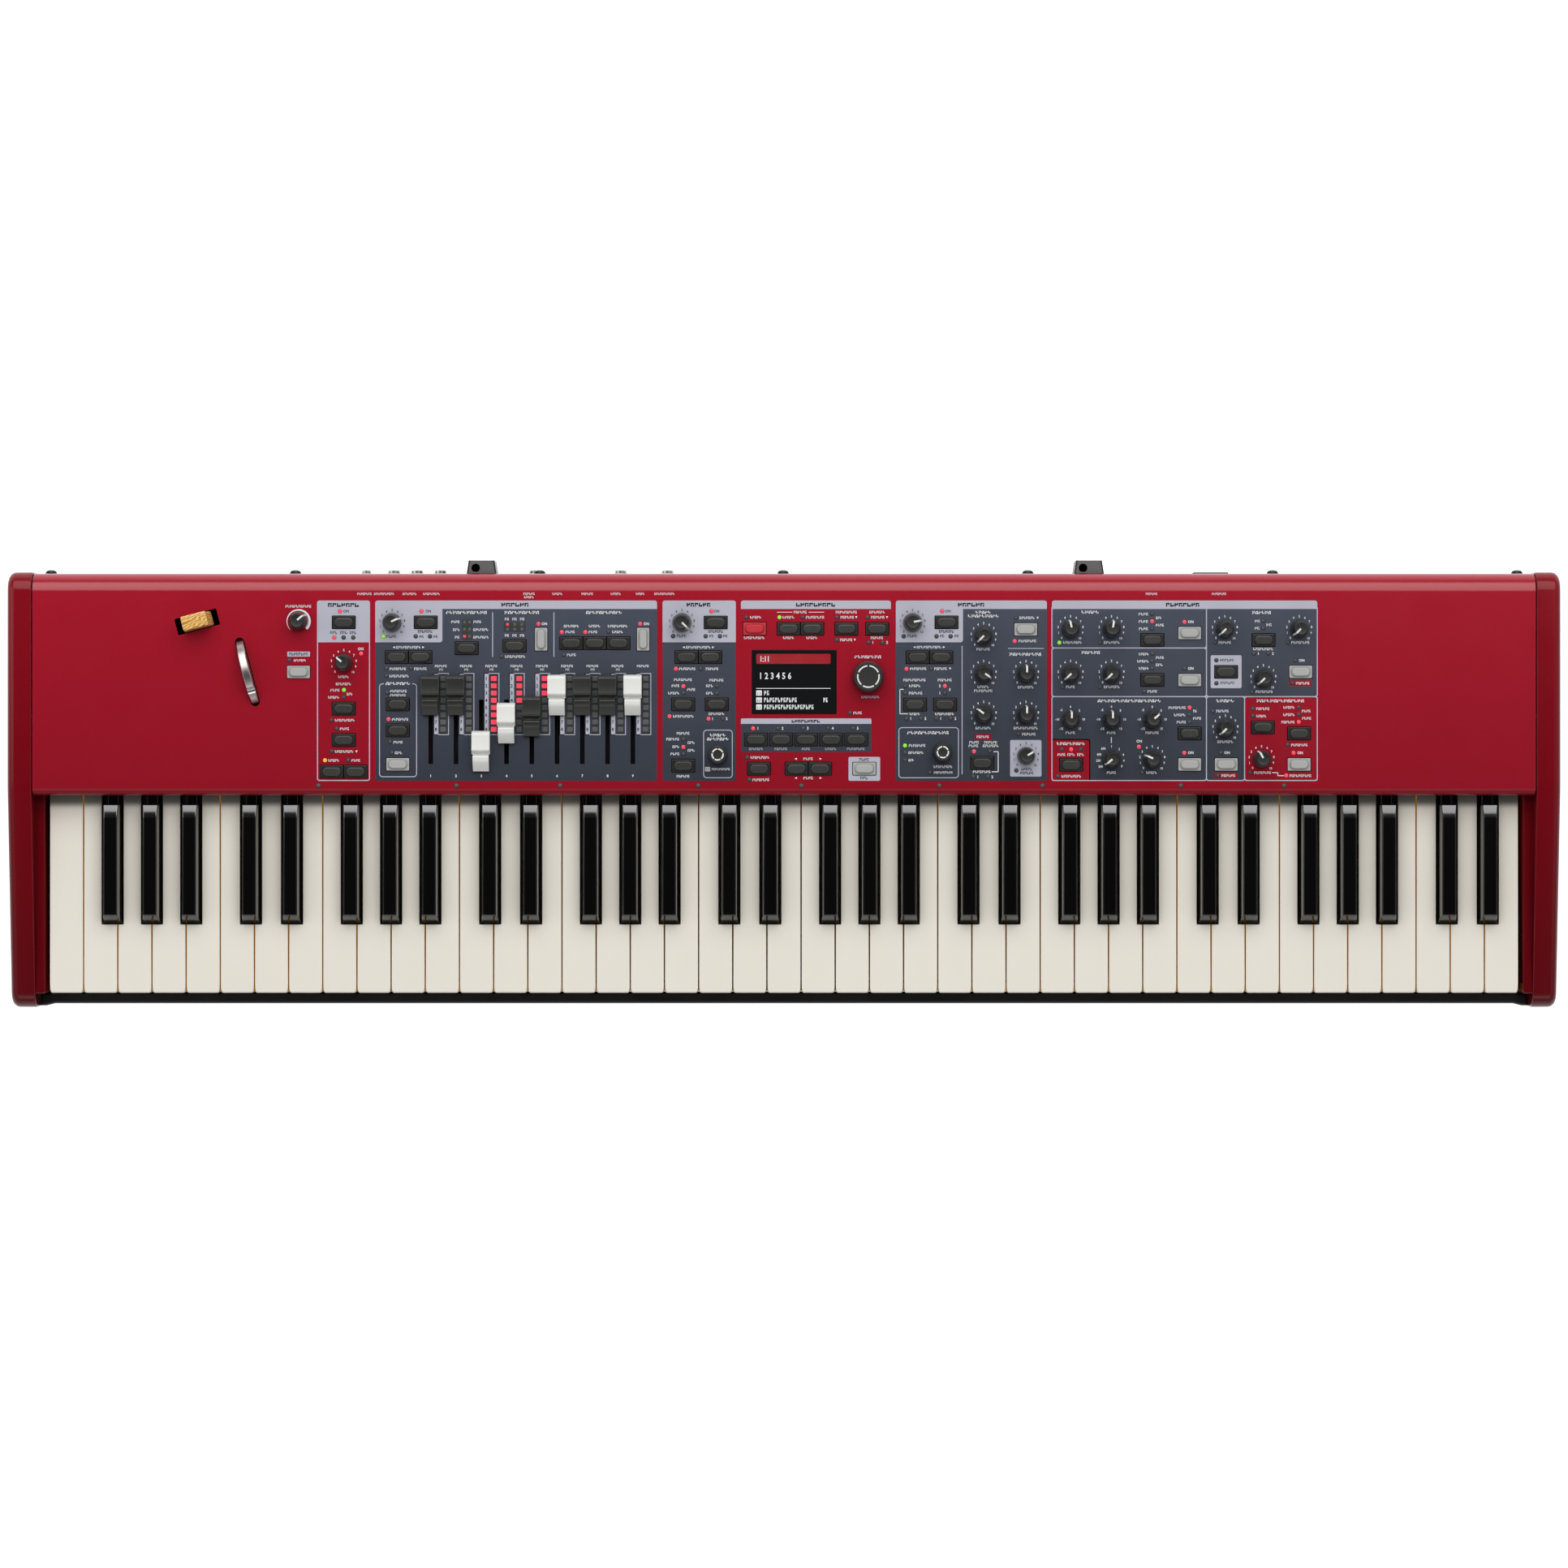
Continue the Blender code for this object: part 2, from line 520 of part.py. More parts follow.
# The case.
def cheek_outline():
    """The side view of an end cheek: level over the deck, sloping down beside the keys to a rounded nose."""
    rear = DECK_REAR + CHEEK_REAR_PROUD
    nose, roll = CHEEK_NOSE_RADIUS, ROLL_RADIUS
    slope = math.degrees(math.atan2(DECK_TOP - CHEEK_NOSE_TOP, -(CHEEK_FRONT + nose) + DECK_FRONT))
    points = [(rear - 0.004, FOOT_HEIGHT), (rear, FOOT_HEIGHT + 0.004)]
    points += arc((rear - roll, DECK_TOP - roll), roll, 0, 90, 5)
    points += [(DECK_FRONT + 0.008, DECK_TOP), (DECK_FRONT, DECK_TOP - 0.0006)]
    points += arc((CHEEK_FRONT + nose, CHEEK_NOSE_TOP - nose), nose, 90 + slope, 180, 4)
    points += [(CHEEK_FRONT, FOOT_HEIGHT + 0.014), (CHEEK_FRONT + 0.006, FOOT_HEIGHT)]
    return points


def make_cheeks():
    for name, side in (("left_end_cheek", -1), ("right_end_cheek", 1)):
        inner, outer = side * CHEEK_INNER, side * CHEEK_OUTER
        body = side_prism(cheek_outline(), min(inner, outer), max(inner, outer))
        block_inner = side * BLOCK_INNER
        overlap = inner + side * 0.002
        block = box(min(block_inner, overlap), max(block_inner, overlap), KEY_FRONT - SEAT_GAP,
                    DECK_FRONT - 0.001, CASE_BOTTOM, KEY_TOP + 0.001)
        part(name, body, "dark_red", adds=(block,))


def deck_outline():
    """The side view of the sheet that makes the deck, its front lip and its rear roll."""
    lip, roll, sheet = LIP_RADIUS, ROLL_RADIUS, DECK_THICKNESS
    outer = [(DECK_FRONT, LIP_BOTTOM)]
    outer += arc((DECK_FRONT + lip, DECK_TOP - lip), lip, 180, 90, 3)
    outer += arc((DECK_REAR - roll, DECK_TOP - roll), roll, 90, 0, 5)
    inner = arc((DECK_REAR - roll, DECK_TOP - roll), roll - sheet, 0, 90, 5)
    inner += arc((DECK_FRONT + lip, DECK_TOP - lip), lip - sheet, 90, 180, 3)
    inner += [(DECK_FRONT + sheet, LIP_BOTTOM)]
    return outer + inner


def shaft_places():
    return (list(LEVEL_KNOBS.values()) + [PROGRAM_DIAL] + LEFT_KNOBS + LEFT_DIALS + RIGHT_KNOBS + RIGHT_DIALS)


def button_places(section):
    """The middles of a section's buttons, row by row."""
    places = []
    for middle, y, count in BUTTON_ROWS[section]:
        pitch = BUTTON_WIDTH + BUTTON_GAP
        if count == 5:
            pitch = max(pitch, PROGRAM_ROW_PITCH)
        places += [(middle + pitch * (number - (count - 1) / 2), y) for number in range(count)]
    return places


def drawbar_x(number):
    return DRAWBAR_FIRST + DRAWBAR_PITCH * number


def make_deck():
    low, high = DECK_UNDER - 0.002, DECK_TOP + 0.002
    width, depth = BUTTON_WIDTH + 2 * SLIDE_GAP, BUTTON_DEPTH + 2 * SLIDE_GAP
    places = [button_places(section) for section in BUTTON_ROWS]
    buttons = [box_at(place_at, width, depth, low, high) for row in places for place_at in row[::2]]
    others = [box_at(place_at, width, depth, low, high) for row in places for place_at in row[1::2]]
    upright = [box_at(place_at, depth, width, low, high) for place_at in UPRIGHT_BUTTONS]
    shafts = [post(place_at, SHAFT_RADIUS + SLIDE_GAP, low, high, 8) for place_at in shaft_places()]
    slot_front = DRAWBAR_SLOT_REAR - DRAWBAR_STROKE - DRAWBAR_BLADE[1] - 2 * SLIDE_GAP
    slots = [box(drawbar_x(n) - DRAWBAR_SLOT / 2, drawbar_x(n) + DRAWBAR_SLOT / 2, slot_front,
                 DRAWBAR_SLOT_REAR, low, high) for n in range(9)]
    window = box(WINDOW[0], WINDOW[1], WINDOW[2], WINDOW[3], low, high)
    stick = tilted(box_at((0, 0), *STICK_SLOT, low, high), STICK_AT, CONTROL_TILT_DEG)
    wheel = tilted(box_at((0, 0), *WHEEL_SLOT, low, high), WHEEL_AT, CONTROL_TILT_DEG)
    deck = side_prism(deck_outline(), -DECK_HALF, DECK_HALF)
    part("top_panel", deck, "red", cuts=(join(buttons + upright + [window]), join(others),
                                         join(shafts + slots + [stick, wheel])))


def make_rear_panel():
    """The upright rear wall, with a hole for each socket."""
    wall = box(-DECK_HALF - SEAM + SEAT_GAP, DECK_HALF + SEAM - SEAT_GAP, WALL_FRONT, DECK_REAR, CASE_BOTTOM,
               WALL_TOP)
    front, rear = WALL_FRONT - 0.002, DECK_REAR + 0.002
    round_holes = [(x, JACK_BUSH) for x in OUTPUT_JACKS + CONTROL_JACKS] + [(MINI_JACK, MINI_BUSH)]
    round_holes += [(x, DIN_RADIUS) for x in DIN_SOCKETS]
    holes = [rear_post(x, SOCKET_HEIGHT, radius + SLIDE_GAP, front, rear, 12) for x, radius in round_holes]
    for x, size in ((USB_SOCKET, USB_SIZE), (INLET_AT, INLET_SIZE), (SWITCH_AT, SWITCH_SIZE)):
        half_width, half_height = size[0] / 2 + SLIDE_GAP, size[1] / 2 + SLIDE_GAP
        holes.append(box(x - half_width, x + half_width, front, rear, SOCKET_HEIGHT - half_height,
                         SOCKET_HEIGHT + half_height))
    part("rear_panel", wall, "red", cuts=(join(holes),))


def make_bottom_pan():
    """A shallow tray with standoffs for the main board."""
    half = BLOCK_INNER - SEAT_GAP
    front, rear, flange = RAIL_REAR + SEAT_GAP, WALL_FRONT - SEAT_GAP, 0.010
    outline = [(front, CASE_BOTTOM), (rear, CASE_BOTTOM), (rear, CASE_BOTTOM + flange),
               (rear - SHEET, CASE_BOTTOM + flange), (rear - SHEET, PAN_TOP), (front, PAN_TOP)]
    posts = [post((x, y), 0.003, CASE_BOTTOM + SHEET / 2, MAIN_BOARD_LOW - SEAT_GAP, 8)
             for x in (MAIN_BOARD[0] + 0.008, MAIN_BOARD[1] - 0.008)
             for y in (MAIN_BOARD[2] + 0.008, MAIN_BOARD[3] - 0.008)]
    part("bottom_pan", side_prism(outline, -half, half), "black", adds=(join(posts),))


def make_front_rail():
    outline = [(RAIL_FRONT, CASE_BOTTOM + 0.002), (RAIL_FRONT + 0.002, CASE_BOTTOM),
               (RAIL_REAR, CASE_BOTTOM), (RAIL_REAR, RAIL_HEIGHT), (RAIL_FRONT + 0.002, RAIL_HEIGHT),
               (RAIL_FRONT, RAIL_HEIGHT - 0.002)]
    half = CHEEK_INNER - SEAT_GAP
    part("front_rail", side_prism(outline, -half, half), "black")


def make_feet():
    for name, (side, y) in FOOT_PLACES.items():
        x = side * (CHEEK_OUTER - FOOT_INSET)
        rings = [(FOOT_RADIUS - 0.002, 0.0), (FOOT_RADIUS, 0.002), (FOOT_RADIUS, FOOT_HEIGHT)]
        part(name, turned((x, y), rings, 20), "rubber")


def make_brackets():
    """Folded steel ears with a hole for a music stand's leg."""
    near, far = DECK_REAR + SEAT_GAP, DECK_REAR + SEAT_GAP + BRACKET_DEPTH
    half_near, half_far = BRACKET_WIDTHS[0] / 2, BRACKET_WIDTHS[1] / 2
    for name, (x, hole_shift) in BRACKETS.items():
        outline = [(x - half_near, near), (x + half_near, near), (x + half_far, far), (x - half_far, far)]
        body = prism(outline, BRACKET_TOP - BRACKET_HEIGHT, BRACKET_TOP)
        sheet = 0.0015
        inside = box(x - half_far + sheet, x + half_far - sheet, near + 0.0015, far + 0.002,
                     BRACKET_TOP - BRACKET_HEIGHT - 0.002, BRACKET_TOP - 0.002)
        hole = post((x + hole_shift, (near + far) / 2), BRACKET_HOLE, BRACKET_TOP - 0.004, BRACKET_TOP + 0.002)
        part(name, body, "steel", cuts=(inside, hole))


def make_sockets():
    """The jack blocks behind the rear wall, their bushes in its holes."""
    low, high = SOCKET_BODY
    rear = WALL_FRONT - SEAT_GAP
    tip = DECK_REAR + SOCKET_PROUD

    def bush(x, radius):
        return rear_post(x, SOCKET_HEIGHT, radius, rear - 0.002, tip, 12)

    def bore(x, radius):
        return rear_post(x, SOCKET_HEIGHT, radius, rear - 0.015, tip + 0.001, 10)

    half = JACK_BUSH + 0.003
    output = box(MINI_JACK - half, OUTPUT_JACKS[-1] + half, rear - BLOCK_DEPTH, rear, low, high)
    bushes = [bush(x, JACK_BUSH) for x in OUTPUT_JACKS] + [bush(MINI_JACK, MINI_BUSH)]
    bores = [bore(x, JACK_BORE) for x in OUTPUT_JACKS] + [bore(MINI_JACK, MINI_BORE)]
    part("output_jack_block", output, "black", adds=(join(bushes),), cuts=(join(bores),))

    control = box(CONTROL_JACKS[0] - half, CONTROL_JACKS[-1] + half, rear - BLOCK_DEPTH, rear, low, high)
    flush = DECK_REAR - 0.0002
    dins = [rear_post(x, SOCKET_HEIGHT, DIN_RADIUS, rear - 0.002, flush) for x in DIN_SOCKETS]
    usb = box(USB_SOCKET - USB_SIZE[0] / 2, USB_SOCKET + USB_SIZE[0] / 2, rear - 0.002, flush,
              SOCKET_HEIGHT - USB_SIZE[1] / 2, SOCKET_HEIGHT + USB_SIZE[1] / 2)
    din_bores = [rear_post(x, SOCKET_HEIGHT, DIN_BORE, rear - 0.010, tip, 14) for x in DIN_SOCKETS]
    usb_bore = box(USB_SOCKET - USB_BORE[0] / 2, USB_SOCKET + USB_BORE[0] / 2, rear - 0.011, tip,
                   SOCKET_HEIGHT - USB_BORE[1] / 2, SOCKET_HEIGHT + USB_BORE[1] / 2)
    control_bushes = [bush(x, JACK_BUSH) for x in CONTROL_JACKS]
    control_bores = [bore(x, JACK_BORE) for x in CONTROL_JACKS]
    part("control_jack_block", control, "black", adds=(join(control_bushes + dins + [usb]),),
         cuts=(join(control_bores + din_bores + [usb_bore]),))


def make_power():
    """The mains inlet and the switch's frame on one plate, and the rocker in the frame."""
    rear = WALL_FRONT - SEAT_GAP
    low, high = SOCKET_BODY
    plate = box(INLET_AT - 0.018, SWITCH_AT + 0.016, rear - 0.003, rear, low, high)

    def frame(x, size, front, back):
        return box(x - size[0] / 2, x + size[0] / 2, front, back, SOCKET_HEIGHT - size[1] / 2,
                   SOCKET_HEIGHT + size[1] / 2)

    inlet = frame(INLET_AT, INLET_SIZE, rear - BLOCK_DEPTH, DECK_REAR + 0.001)
    inlet_hole = frame(INLET_AT, INLET_BORE, rear - 0.016, DECK_REAR + 0.003)
    pins = [box(INLET_AT + shift - INLET_PIN[0] / 2, INLET_AT + shift + INLET_PIN[0] / 2, rear - 0.018,
                rear - 0.002, SOCKET_HEIGHT - INLET_PIN[1] / 2, SOCKET_HEIGHT + INLET_PIN[1] / 2)
            for shift in (-INLET_PIN_GAP, 0, INLET_PIN_GAP)]
    housing = frame(SWITCH_AT, SWITCH_SIZE, rear - 0.014, DECK_REAR + 0.002)
    switch_hole = frame(SWITCH_AT, SWITCH_BORE, rear - 0.011, DECK_REAR + 0.004)
    item = part("power_inlet", plate, "black", adds=(join([inlet, housing]),),
                cuts=(join([inlet_hole, switch_hole]),))
    prongs = place("power_inlet_pins", join(pins))
    prongs.hide_render = True
    prongs.display_type = "WIRE"
    step = item.modifiers.new("pins", "BOOLEAN")
    step.operation = "UNION"
    step.solver = "EXACT"
    step.object = prongs

    half_height = SWITCH_BORE[1] / 2 - 0.0008
    face = DECK_REAR + 0.0015
    back = face - 0.0065
    outline = [(back, -half_height * 0.55), (face, -half_height), (face - 0.0012, 0.0), (face, half_height),
               (back, half_height * 0.55)]
    pivot = (face + back) / 2
    turn = math.radians(ROCKER_DEG)
    turned_outline = [(pivot + (y - pivot) * math.cos(turn) - z * math.sin(turn),
                       SOCKET_HEIGHT + (y - pivot) * math.sin(turn) + z * math.cos(turn)) for y, z in outline]
    half_width = SWITCH_BORE[0] / 2 - SLIDE_GAP
    part("power_switch", side_prism(turned_outline, SWITCH_AT - half_width, SWITCH_AT + half_width), "black")


def make_main_board():
    left, right, front, rear = MAIN_BOARD
    part("main_circuit_board", box(left, right, front, rear, MAIN_BOARD_LOW, MAIN_BOARD_LOW + BOARD), "circuit")


# The controls.
def knob_rings(radius, top_radius, low):
    base = DECK_TOP + KNOB_LIFT
    return [(SHAFT_RADIUS, low), (SHAFT_RADIUS, base), (radius, base), (radius, base + 0.003),
            (top_radius, DECK_TOP + KNOB_HEIGHT - 0.0005), (top_radius - 0.0006, DECK_TOP + KNOB_HEIGHT)]


def plain_knob_rings(radius, top_radius, low):
    base = DECK_TOP + KNOB_LIFT
    return [(SHAFT_RADIUS, low), (SHAFT_RADIUS, base), (radius, base), (top_radius, DECK_TOP + KNOB_HEIGHT)]


def make_level_knobs():
    for name, centre in LEVEL_KNOBS.items():
        rings = knob_rings(LEVEL_KNOB_RADIUS, KNOB_TOP_RADIUS + 0.0002, POT_TOP + SEAT_GAP)
        part(name, turned(centre, rings), "black")
    rings = knob_rings(DIAL_RADIUS, DIAL_RADIUS - 0.0012, POT_TOP + SEAT_GAP)
    part("program_dial", turned(PROGRAM_DIAL, rings, 24), "black")


def make_control_boards():
    """Circuit boards under the deck that carry the control pots. The small knobs are fast on their boards."""
    layout = {
        "left_control_board": (LEFT_BOARD, LEFT_PILLARS, LEFT_KNOBS, LEFT_DIALS,
                               [LEVEL_KNOBS[f"{n}_level_knob"] for n in ("master", "organ", "piano")]
                               + [PROGRAM_DIAL]),
        "right_control_board": (RIGHT_BOARD, RIGHT_PILLARS, RIGHT_KNOBS, RIGHT_DIALS,
                                [LEVEL_KNOBS["synth_level_knob"]]),
    }
    for name, (edges, pillars, knobs, dials, free) in layout.items():
        left, right, front, rear = edges
        plate = box(left, right, front, rear, BOARD_TOP - BOARD, BOARD_TOP)
        middle = BOARD_TOP - BOARD / 2
        cans = [post(centre, POT_RADIUS, middle, POT_TOP, 8) for centre in free]
        legs = [post(centre, PILLAR_RADIUS, middle, DECK_UNDER - SEAT_GAP, 6) for centre in pillars]
        fixed = [turned(centre, plain_knob_rings(KNOB_RADIUS, KNOB_TOP_RADIUS, middle), 10) for centre in knobs]
        fixed += [turned(centre, plain_knob_rings(SMALL_DIAL_RADIUS, SMALL_DIAL_RADIUS - 0.001, middle), 12)
                  for centre in dials]
        part(name, plate, "circuit", adds=(join(cans + legs + fixed),))


def button_shape(centre, width, depth, low):
    """A rectangular button base with a smaller raised cap."""
    shape = bmesh.new()
    x, y = centre
    rings = [(width / 2, depth / 2, low), (width / 2, depth / 2, DECK_TOP + BUTTON_BASE_RISE),
             (width / 2 - BUTTON_EDGE, depth / 2 - BUTTON_EDGE, DECK_TOP + BUTTON_BASE_RISE),
             (width / 2 - 2 * BUTTON_EDGE, depth / 2 - 2 * BUTTON_EDGE, DECK_TOP + BUTTON_RISE)]
    loops = [[shape.verts.new((x + a, y + b, z)) for a, b in ((-w, -d), (w, -d), (w, d), (-w, d))]
             for w, d, z in rings]
    shape.faces.new(loops[0])
    shape.faces.new(loops[-1])
    for lower, upper in zip(loops, loops[1:]):
        for side in range(4):
            after = (side + 1) % 4
            shape.faces.new([lower[side], lower[after], upper[after], upper[side]])
    bmesh.ops.recalc_face_normals(shape, faces=shape.faces)
    return shape


def make_buttons():
    """Six moulded mats, each with the buttons of its section."""
    top = DECK_UNDER - MAT_DROP
    low = top - MAT_THICKNESS
    for section in BUTTON_ROWS:
        places = button_places(section)
        mat = prism(MAT_OUTLINES[section], low, top)
        buttons = [button_shape(centre, BUTTON_WIDTH, BUTTON_DEPTH, low + MAT_THICKNESS / 2)
                   for centre in places]
        if section == "organ":
            buttons += [button_shape(centre, BUTTON_DEPTH, BUTTON_WIDTH, low + MAT_THICKNESS / 2)
                        for centre in UPRIGHT_BUTTONS]
        xs = [x for x, _ in MAT_OUTLINES[section]]
        holes = [post(centre, SHAFT_RADIUS + 0.001, low - 0.001, top + 0.001, 8) for centre in shaft_places()
                 if min(xs) < centre[0] < max(xs)]
        part(f"{section}_buttons", mat, "mat", adds=(join(buttons),), cuts=(join(holes),))


def make_drawbars():
    """Nine sliders. A cap stands on a blade that runs in the deck's slot, over a foot on the board."""
    width, length = DRAWBAR_CAP
    blade_width, blade_length = DRAWBAR_BLADE
    top = DRAWBAR_CAP_TOP
    for number, steps in enumerate(DRAWBAR_STEPS):
        x = drawbar_x(number)
        blade_y = DRAWBAR_SLOT_REAR - SLIDE_GAP - blade_length / 2 - DRAWBAR_STROKE * steps / 8
        middle = blade_y + DRAWBAR_STEM_OFFSET
        front, rear = middle - length / 2, middle + length / 2
        low = DECK_TOP + DRAWBAR_LIFT
        outline = [(front, low), (rear, low), (rear, top - 0.001), (rear - 0.001, top),
                   (front + 0.012, top), (front + 0.010, top - 0.003), (front + 0.0015, top - 0.002),
                   (front, top - 0.0035)]
        cap = side_prism(outline, x - width / 2, x + width / 2)
        blade = box_at((x, blade_y), blade_width, blade_length, BOARD_TOP + 0.004, low + 0.002)
        foot = box_at((x, blade_y), DRAWBAR_FOOT, DRAWBAR_FOOT, BOARD_TOP + SLIDE_GAP, DECK_UNDER - SLIDE_GAP)
        material = "white" if number + 1 in WHITE_DRAWBARS else "black"
        part(f"drawbar_{number + 1}", cap, material, adds=(blade, foot))


def along_slot(shape, centre):
    return tilted(shape, centre, CONTROL_TILT_DEG)


def lying_pin(radius, reach, height, along):
    """A round pin on the tilted X or Y line through the middle, from -reach to reach."""
    sides = 12
    circle = [(radius * math.cos(math.tau * s / sides), height + radius * math.sin(math.tau * s / sides))
              for s in range(sides)]
    if along == "x":
        return extruded([(-reach, a, b) for a, b in circle], (2 * reach, 0, 0))
    return extruded([(a, -reach, b) for a, b in circle], (0, 2 * reach, 0))


def make_stick_and_wheel():
    """The wooden pitch stick on its pin, the modulation wheel on its axle, and the bracket that carries both."""
    length, thick = STICK_SIZE
    half = thick / 2
    outline = [(-0.004, STICK_PIVOT - 0.004), (0.004, STICK_PIVOT - 0.004), (0.004, DECK_UNDER - 0.008),
               (length / 2 + STICK_FLARE, DECK_UNDER - 0.004), (length / 2 + STICK_FLARE, DECK_TOP),
               (length / 2 - 0.001, (DECK_TOP + STICK_TOP) / 2), (length / 2, STICK_TOP),
               (-length / 2, STICK_TOP), (-length / 2 + 0.001, (DECK_TOP + STICK_TOP) / 2),
               (-length / 2 - STICK_FLARE, DECK_TOP), (-length / 2 - STICK_FLARE, DECK_UNDER - 0.004),
               (-0.004, DECK_UNDER - 0.008)]
    stick = extruded([(a, -half, z) for a, z in outline], (0, thick, 0))
    pin_reach = half + 0.003
    pin = lying_pin(AXLE_RADIUS, pin_reach, STICK_PIVOT, "y")
    part("pitch_stick", along_slot(stick, STICK_AT), "wood", adds=(along_slot(pin, STICK_AT),))

    axle = WHEEL_AXLE
    sides = 36
    rim = [(WHEEL_RADIUS * math.cos(math.tau * s / sides), axle + WHEEL_RADIUS * math.sin(math.tau * s / sides))
           for s in range(sides)]
    disc = extruded([(-WHEEL_THICKNESS / 2, a, b) for a, b in rim], (WHEEL_THICKNESS, 0, 0))
    stub = lying_pin(AXLE_RADIUS, WHEEL_THICKNESS / 2 + 0.003, axle, "x")
    degrees, radius, beyond = WHEEL_DIMPLE
    turn, reach = math.radians(degrees), WHEEL_RADIUS + beyond
    notch_y, notch_z = reach * math.cos(turn), axle + reach * math.sin(turn)
    notch = [(notch_y + radius * math.cos(math.tau * s / 10), notch_z + radius * math.sin(math.tau * s / 10))
             for s in range(10)]
    dimple = extruded([(-WHEEL_THICKNESS, a, b) for a, b in notch], (2 * WHEEL_THICKNESS, 0, 0))
    part("mod_wheel", along_slot(disc, WHEEL_AT), "nickel", adds=(along_slot(stub, WHEEL_AT),),
         cuts=(along_slot(dimple, WHEEL_AT),))

    top = DECK_UNDER - SEAT_GAP
    sheet = LUG_SHEET
    plate = box(STICK_AT[0] - 0.022, WHEEL_AT[0] + 0.014, WHEEL_AT[1] - WHEEL_RADIUS - 0.004, STICK_AT[1] + 0.014,
                top - sheet, top)
    near, far = half + LUG_GAP, half + LUG_GAP + sheet
    stick_lugs = [box(-0.006, 0.006, min(side * near, side * far), max(side * near, side * far),
                      STICK_PIVOT - 0.006, top - sheet / 2) for side in (-1, 1)]
    near, far = WHEEL_THICKNESS / 2 + LUG_GAP, WHEEL_THICKNESS / 2 + LUG_GAP + sheet
    wheel_lugs = [box(min(side * near, side * far), max(side * near, side * far), -0.007, 0.007, axle - 0.006,
                      top - sheet / 2) for side in (-1, 1)]
    lugs = join([along_slot(join(stick_lugs), STICK_AT), along_slot(join(wheel_lugs), WHEEL_AT)])
    stick_hole = box_at((0, 0), STICK_SLOT[0] + 0.002, thick + 0.002, top - sheet - 0.0005, top + 0.002)
    wheel_hole = box_at((0, 0), WHEEL_THICKNESS + 0.002, 2 * WHEEL_RADIUS + 0.004, top - sheet - 0.0005,
                        top + 0.002)
    bores = join([along_slot(lying_pin(AXLE_RADIUS + SEAT_GAP, half + 0.006, STICK_PIVOT, "y"), STICK_AT),
                  along_slot(lying_pin(AXLE_RADIUS + SEAT_GAP, WHEEL_THICKNESS / 2 + 0.006, axle, "x"), WHEEL_AT)])
    openings = join([along_slot(stick_hole, STICK_AT), along_slot(wheel_hole, WHEEL_AT)])
    part("controller_bracket", plate, "steel", adds=(lugs,), cuts=(openings, bores))


def make_display():
    left, right, front, rear = WINDOW
    border, under = 0.003, DECK_UNDER - SEAT_GAP
    body = box(left - border, right + border, front - border, rear + border, under - 0.004, under)
    glass = box(left + SEAT_GAP, right - SEAT_GAP, front + SEAT_GAP, rear - SEAT_GAP, under - 0.001,
                DECK_TOP - GLASS_DROP)
    part("display_module", body, "black", adds=(glass,))


def build():
    clear_scene()
    make_keys()
    make_keybed()
    make_cheeks()
    make_deck()
    make_rear_panel()
    make_bottom_pan()
    make_front_rail()
    make_feet()
    make_brackets()
    make_sockets()
    make_power()
    make_main_board()
    make_level_knobs()
    make_control_boards()
    make_buttons()
    make_drawbars()
    make_stick_and_wheel()
    make_display()


build()
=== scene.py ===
import json
import math

import bmesh
import bpy
from mathutils import Matrix, Vector

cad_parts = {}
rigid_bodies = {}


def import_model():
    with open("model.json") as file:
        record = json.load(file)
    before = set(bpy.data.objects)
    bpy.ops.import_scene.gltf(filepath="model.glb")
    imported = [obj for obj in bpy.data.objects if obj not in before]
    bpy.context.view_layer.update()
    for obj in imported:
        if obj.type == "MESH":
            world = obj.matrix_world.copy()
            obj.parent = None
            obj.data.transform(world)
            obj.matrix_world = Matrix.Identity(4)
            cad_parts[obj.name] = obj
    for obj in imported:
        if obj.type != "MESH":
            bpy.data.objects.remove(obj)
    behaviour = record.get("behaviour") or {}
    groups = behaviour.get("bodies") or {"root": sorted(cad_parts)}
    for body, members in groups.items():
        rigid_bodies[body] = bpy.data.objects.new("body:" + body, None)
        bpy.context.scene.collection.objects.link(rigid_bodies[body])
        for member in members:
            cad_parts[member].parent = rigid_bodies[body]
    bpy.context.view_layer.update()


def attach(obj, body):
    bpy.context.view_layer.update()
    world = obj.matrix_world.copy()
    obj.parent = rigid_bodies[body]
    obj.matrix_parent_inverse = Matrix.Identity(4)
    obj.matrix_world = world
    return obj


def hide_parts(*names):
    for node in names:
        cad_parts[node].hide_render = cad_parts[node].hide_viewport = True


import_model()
scene = bpy.context.scene
scene.view_settings.view_transform = "Standard"

# Camera, light and floor
view = {"height": 3.5, "lens": 114.34, "sensor": 36.0, "clip": 0.05}

camera = bpy.data.objects.new("camera", bpy.data.cameras.new("camera"))
scene.collection.objects.link(camera)
camera.location = (0, 0, view["height"])
camera.data.lens, camera.data.sensor_width, camera.data.clip_start = view["lens"], view["sensor"], view["clip"]
scene.camera = camera

lightPlan = {
    "zenith": 0.04,  # what flat glossy tops mirror
    "shoulder": 0.84, "horizon": 0.30, "skyStrength": 0.80,
    "backdrop": (0.18, 0.08),  # gloss sees white below these heights of the sky
    # each lamp aims at the origin: place, size, watts
    "lamps": {"topLamp": ((0.25, 2.2, 3.0), (5.0, 3.4), 134.0),
              "frontLamp": ((0.0, -2.6, 2.2), (3.4, 0.9), 9.0),
              "leftLamp": ((-2.6, 0.5, 2.0), (1.0, 2.2), 9.0)},
}
floorPlan = {"reach": 6.0, "colour": "#B8B8B8", "glow": 0.90, "roughness": 0.9, "shine": 0.2}


